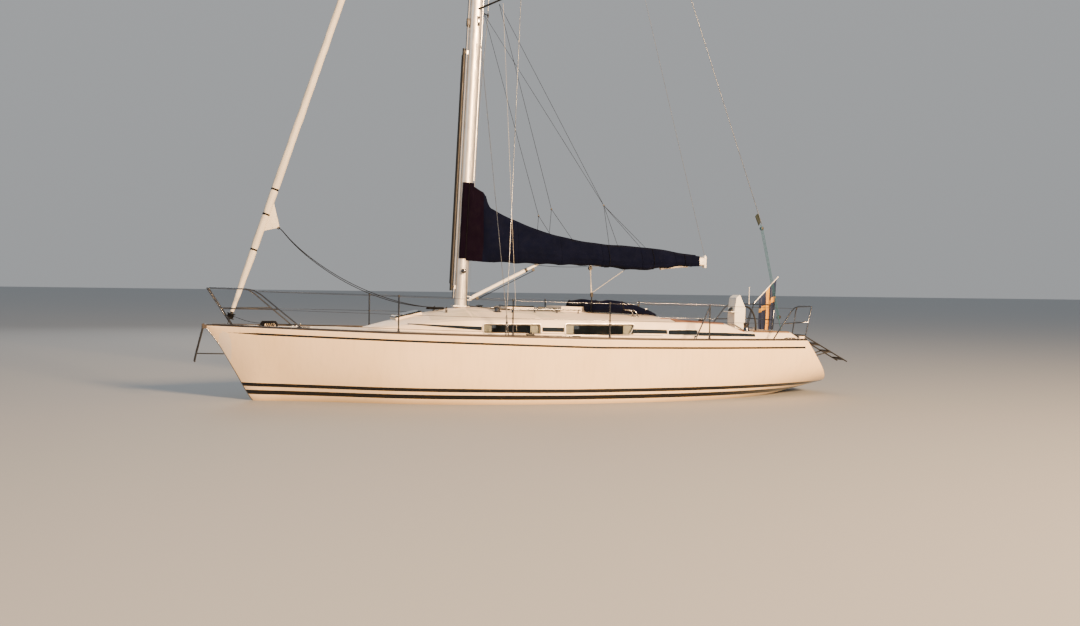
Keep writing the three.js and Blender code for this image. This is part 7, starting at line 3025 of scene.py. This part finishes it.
@dataclass
class SternGear:
    """Helm, winches, staff, aerial, ladders and the backstay's tackle."""

    compass: Pairs = ((0, 0), (0.062, 0), (0.064, 0.012), (0.058, 0.03), (0.05, 0.034), (0, 0.034))
    dial: Pairs = ((0, 0), (0.05, 0), (0.052, 0.006), (0.046, 0.012), (0.042, 0.0095), (0, 0.0095))
    dome: Pairs = ((0.05, 0.033), (0.047, 0.05), (0.037, 0.066), (0.02, 0.076), (0, 0.079))
    hub: Pairs = (
        (0, 0), (0.034, 0), (0.036, 0.008), (0.03, 0.016), (0.014, 0.022), (0.014, 0.03), (0, 0.033)
    )
    ball: Pairs = ((0, 0), (0.011, 0), (0.013, 0.006), (0.009, 0.016), (0, 0.018))
    sheave: Pairs = ((0, -0.005), (0.026, -0.005), (0.029, 0), (0.026, 0.005), (0, 0.005))
    rib: Pairs = ((0.0465, 0.044), (0.044, 0.058), (0.0425, 0.085), (0.044, 0.105), (0.049, 0.115))
    winch: Pairs = (
        (0, 0.0), (0.066, 0.0), (0.066, 0.012), (0.062, 0.026), (0.05, 0.033), (0.0465, 0.044),
        (0.0435, 0.06), (0.042, 0.085), (0.0435, 0.106), (0.05, 0.117), (0.0585, 0.122), (0.0585, 0.128),
        (0.048, 0.131), (0.048, 0.136), (0.06, 0.139), (0.06, 0.146), (0.05, 0.15), (0.034, 0.151),
        (0.033, 0.158), (0.014, 0.16), (0.011, 0.15), (0, 0.15),
    )
    wheel_centre: tuple[float, float] = (-4.29, 1.235)
    wheel_radius: float = 0.39

    def build(self) -> None:
        """Builds the gear round the cockpit and both ladders."""
        carry("steering_pedestal", WHITE_MOULDING, crease=35, ease=0.006)
        carry("steering_wheel", STAINLESS_PAINTED_SHADE, crease=60)
        self.helm()
        self.winches()
        carry("flagstaff", WHITE_MOULDING, crease=50)
        carry("bow_ladder", BLACK_ANODISED, crease=50)
        carry("stern_ladder", BLACK_ANODISED, crease=50)
        carry("backstay_tackle", ROPE_BLUE, crease=50)
        self.details()

    def helm(self) -> None:
        """Compass and dials on the pedestal, and the wheel's hub and rim cover."""
        black = Shape()
        black.lathe(self.compass, (-3.975, 0.0, 1.5385), 40)
        for y in (-0.062, 0.062):
            black.lathe(self.dial, (-4.2015, y, 1.42), 40, (-1, 0, 0.02))
        black.piece("helm_instruments", BLACK_PLASTIC)
        dome = Shape()
        dome.lathe(self.dome, (-3.975, 0.0, 1.5385), 40)
        dome.piece("compass_dome", ACRYLIC)
        hub = Shape()
        hub.lathe(self.hub, (-4.309, 0.0, 1.235), 40, (-1, 0, 0))
        hub.piece("wheel_hub_cap", STAINLESS_PAINTED_SHADE, body="wheel_body")
        rim = Shape()
        count = 140
        (x, z), r = self.wheel_centre, self.wheel_radius
        ring = [(x, r * math.cos(a), z + r * math.sin(a)) for a in round_angles(count)]
        radii = [0.0163 + (0.0006 if k % 2 else 0.0) for k in range(count)]
        rim.tube(ring, radii, sides=12, loop=True)
        rim.piece("wheel_rim_cover", RUBBER, body="wheel_body")

    def winches(self) -> None:
        """Turned sheet winches with gripping ribs and self-tailing jaws."""
        for side, s in SIDES:
            at = (-3.8, s * 0.905, 1.198)
            body = Shape()
            body.lathe(self.winch, at, 56)
            for a in round_angles(20):
                c, n = math.cos(a), math.sin(a)
                body.tube([(at[0] + r * c, at[1] + r * n, at[2] + h) for r, h in self.rib], 0.0016, sides=5)
            winch = body.piece(f"{side}_sheet_winch", STAINLESS_PAINTED_SHADE, stands_for=[f"{side}_winch"], crease=40)
            arm = Shape()
            x, y, z = at[0], at[1] - s * 0.062, at[2]
            arm.block((x - 0.012, y - 0.006, z + 0.125), (x + 0.012, y + 0.006, z + 0.152), 0.003)
            arm.piece(f"{side}_winch_tailer", BLACK_PLASTIC)

    def details(self) -> None:
        """Aerial with its ball top, staff socket, tackle blocks and ladder pads."""
        white = Shape()
        white.tube(
            [(-4.97, -1.1, 1.66), (-4.97, -1.1, 1.7), (-4.97, -1.1, 1.99)], [0.012, 0.007, 0.005], sides=14
        )
        white.lathe(self.ball, (-4.97, -1.1, 1.985), 20)
        white.piece("stern_aerial", WHITE_MOULDING)
        blocks = Shape()
        for x, z in ((-4.604, 3.13), (-5.017, 1.43)):
            for y in (-0.022, 0.022):
                blocks.lathe(self.sheave, (x, y, z), 30, (0, 1, 0))
            blocks.block((x - 0.012, -0.028, z - 0.035), (x + 0.012, 0.028, z + 0.035), 0.004)
        blocks.piece("backstay_tackle_blocks", BLACK_PLASTIC)
        foot = Vector((-5.062, -1.076, 1.669))
        socket = Shape()
        way = Vector((-0.545, 0, 0.543)).normalized()
        socket.tube([tuple(foot - way * 0.012), tuple(foot + way * 0.09)], 0.0215, sides=18)
        socket.tube([tuple(foot - way * 0.012), tuple(foot - way * 0.02)], [0.0215, 0.012], sides=18)
        socket.piece("flagstaff_socket", STAINLESS_PAINTED_SHADE)
        pads = Shape()
        for k in range(3):
            t = 0.32 + 0.28 * k
            x, z = -5.078 + (-6.03 + 5.078) * t, 1.112 + (0.615 - 1.112) * t
            pads.block((x - 0.022, 0.5, z + 0.012), (x + 0.022, 0.76, z + 0.017), 0.002)
        pads.piece("stern_ladder_grips", RUBBER, body="stern_ladder_body")


def main() -> None:
    """Builds the yacht's sub-assemblies in order and logs each piece."""
    logging.basicConfig(level=logging.INFO, format="%(message)s")
    Stage().build()
    rig = (Spars, RunningRigging, Headsail, Ropes, BoomCover, MastCollar, Sprayhood, Cloths)
    for part in (HullSkin, Deck, Interior, *rig, Glazing, Rails, Openings, SternGear):
        LOG.info("building %s", part.__name__)
        part().build()


if __name__ == "__main__":
    main()
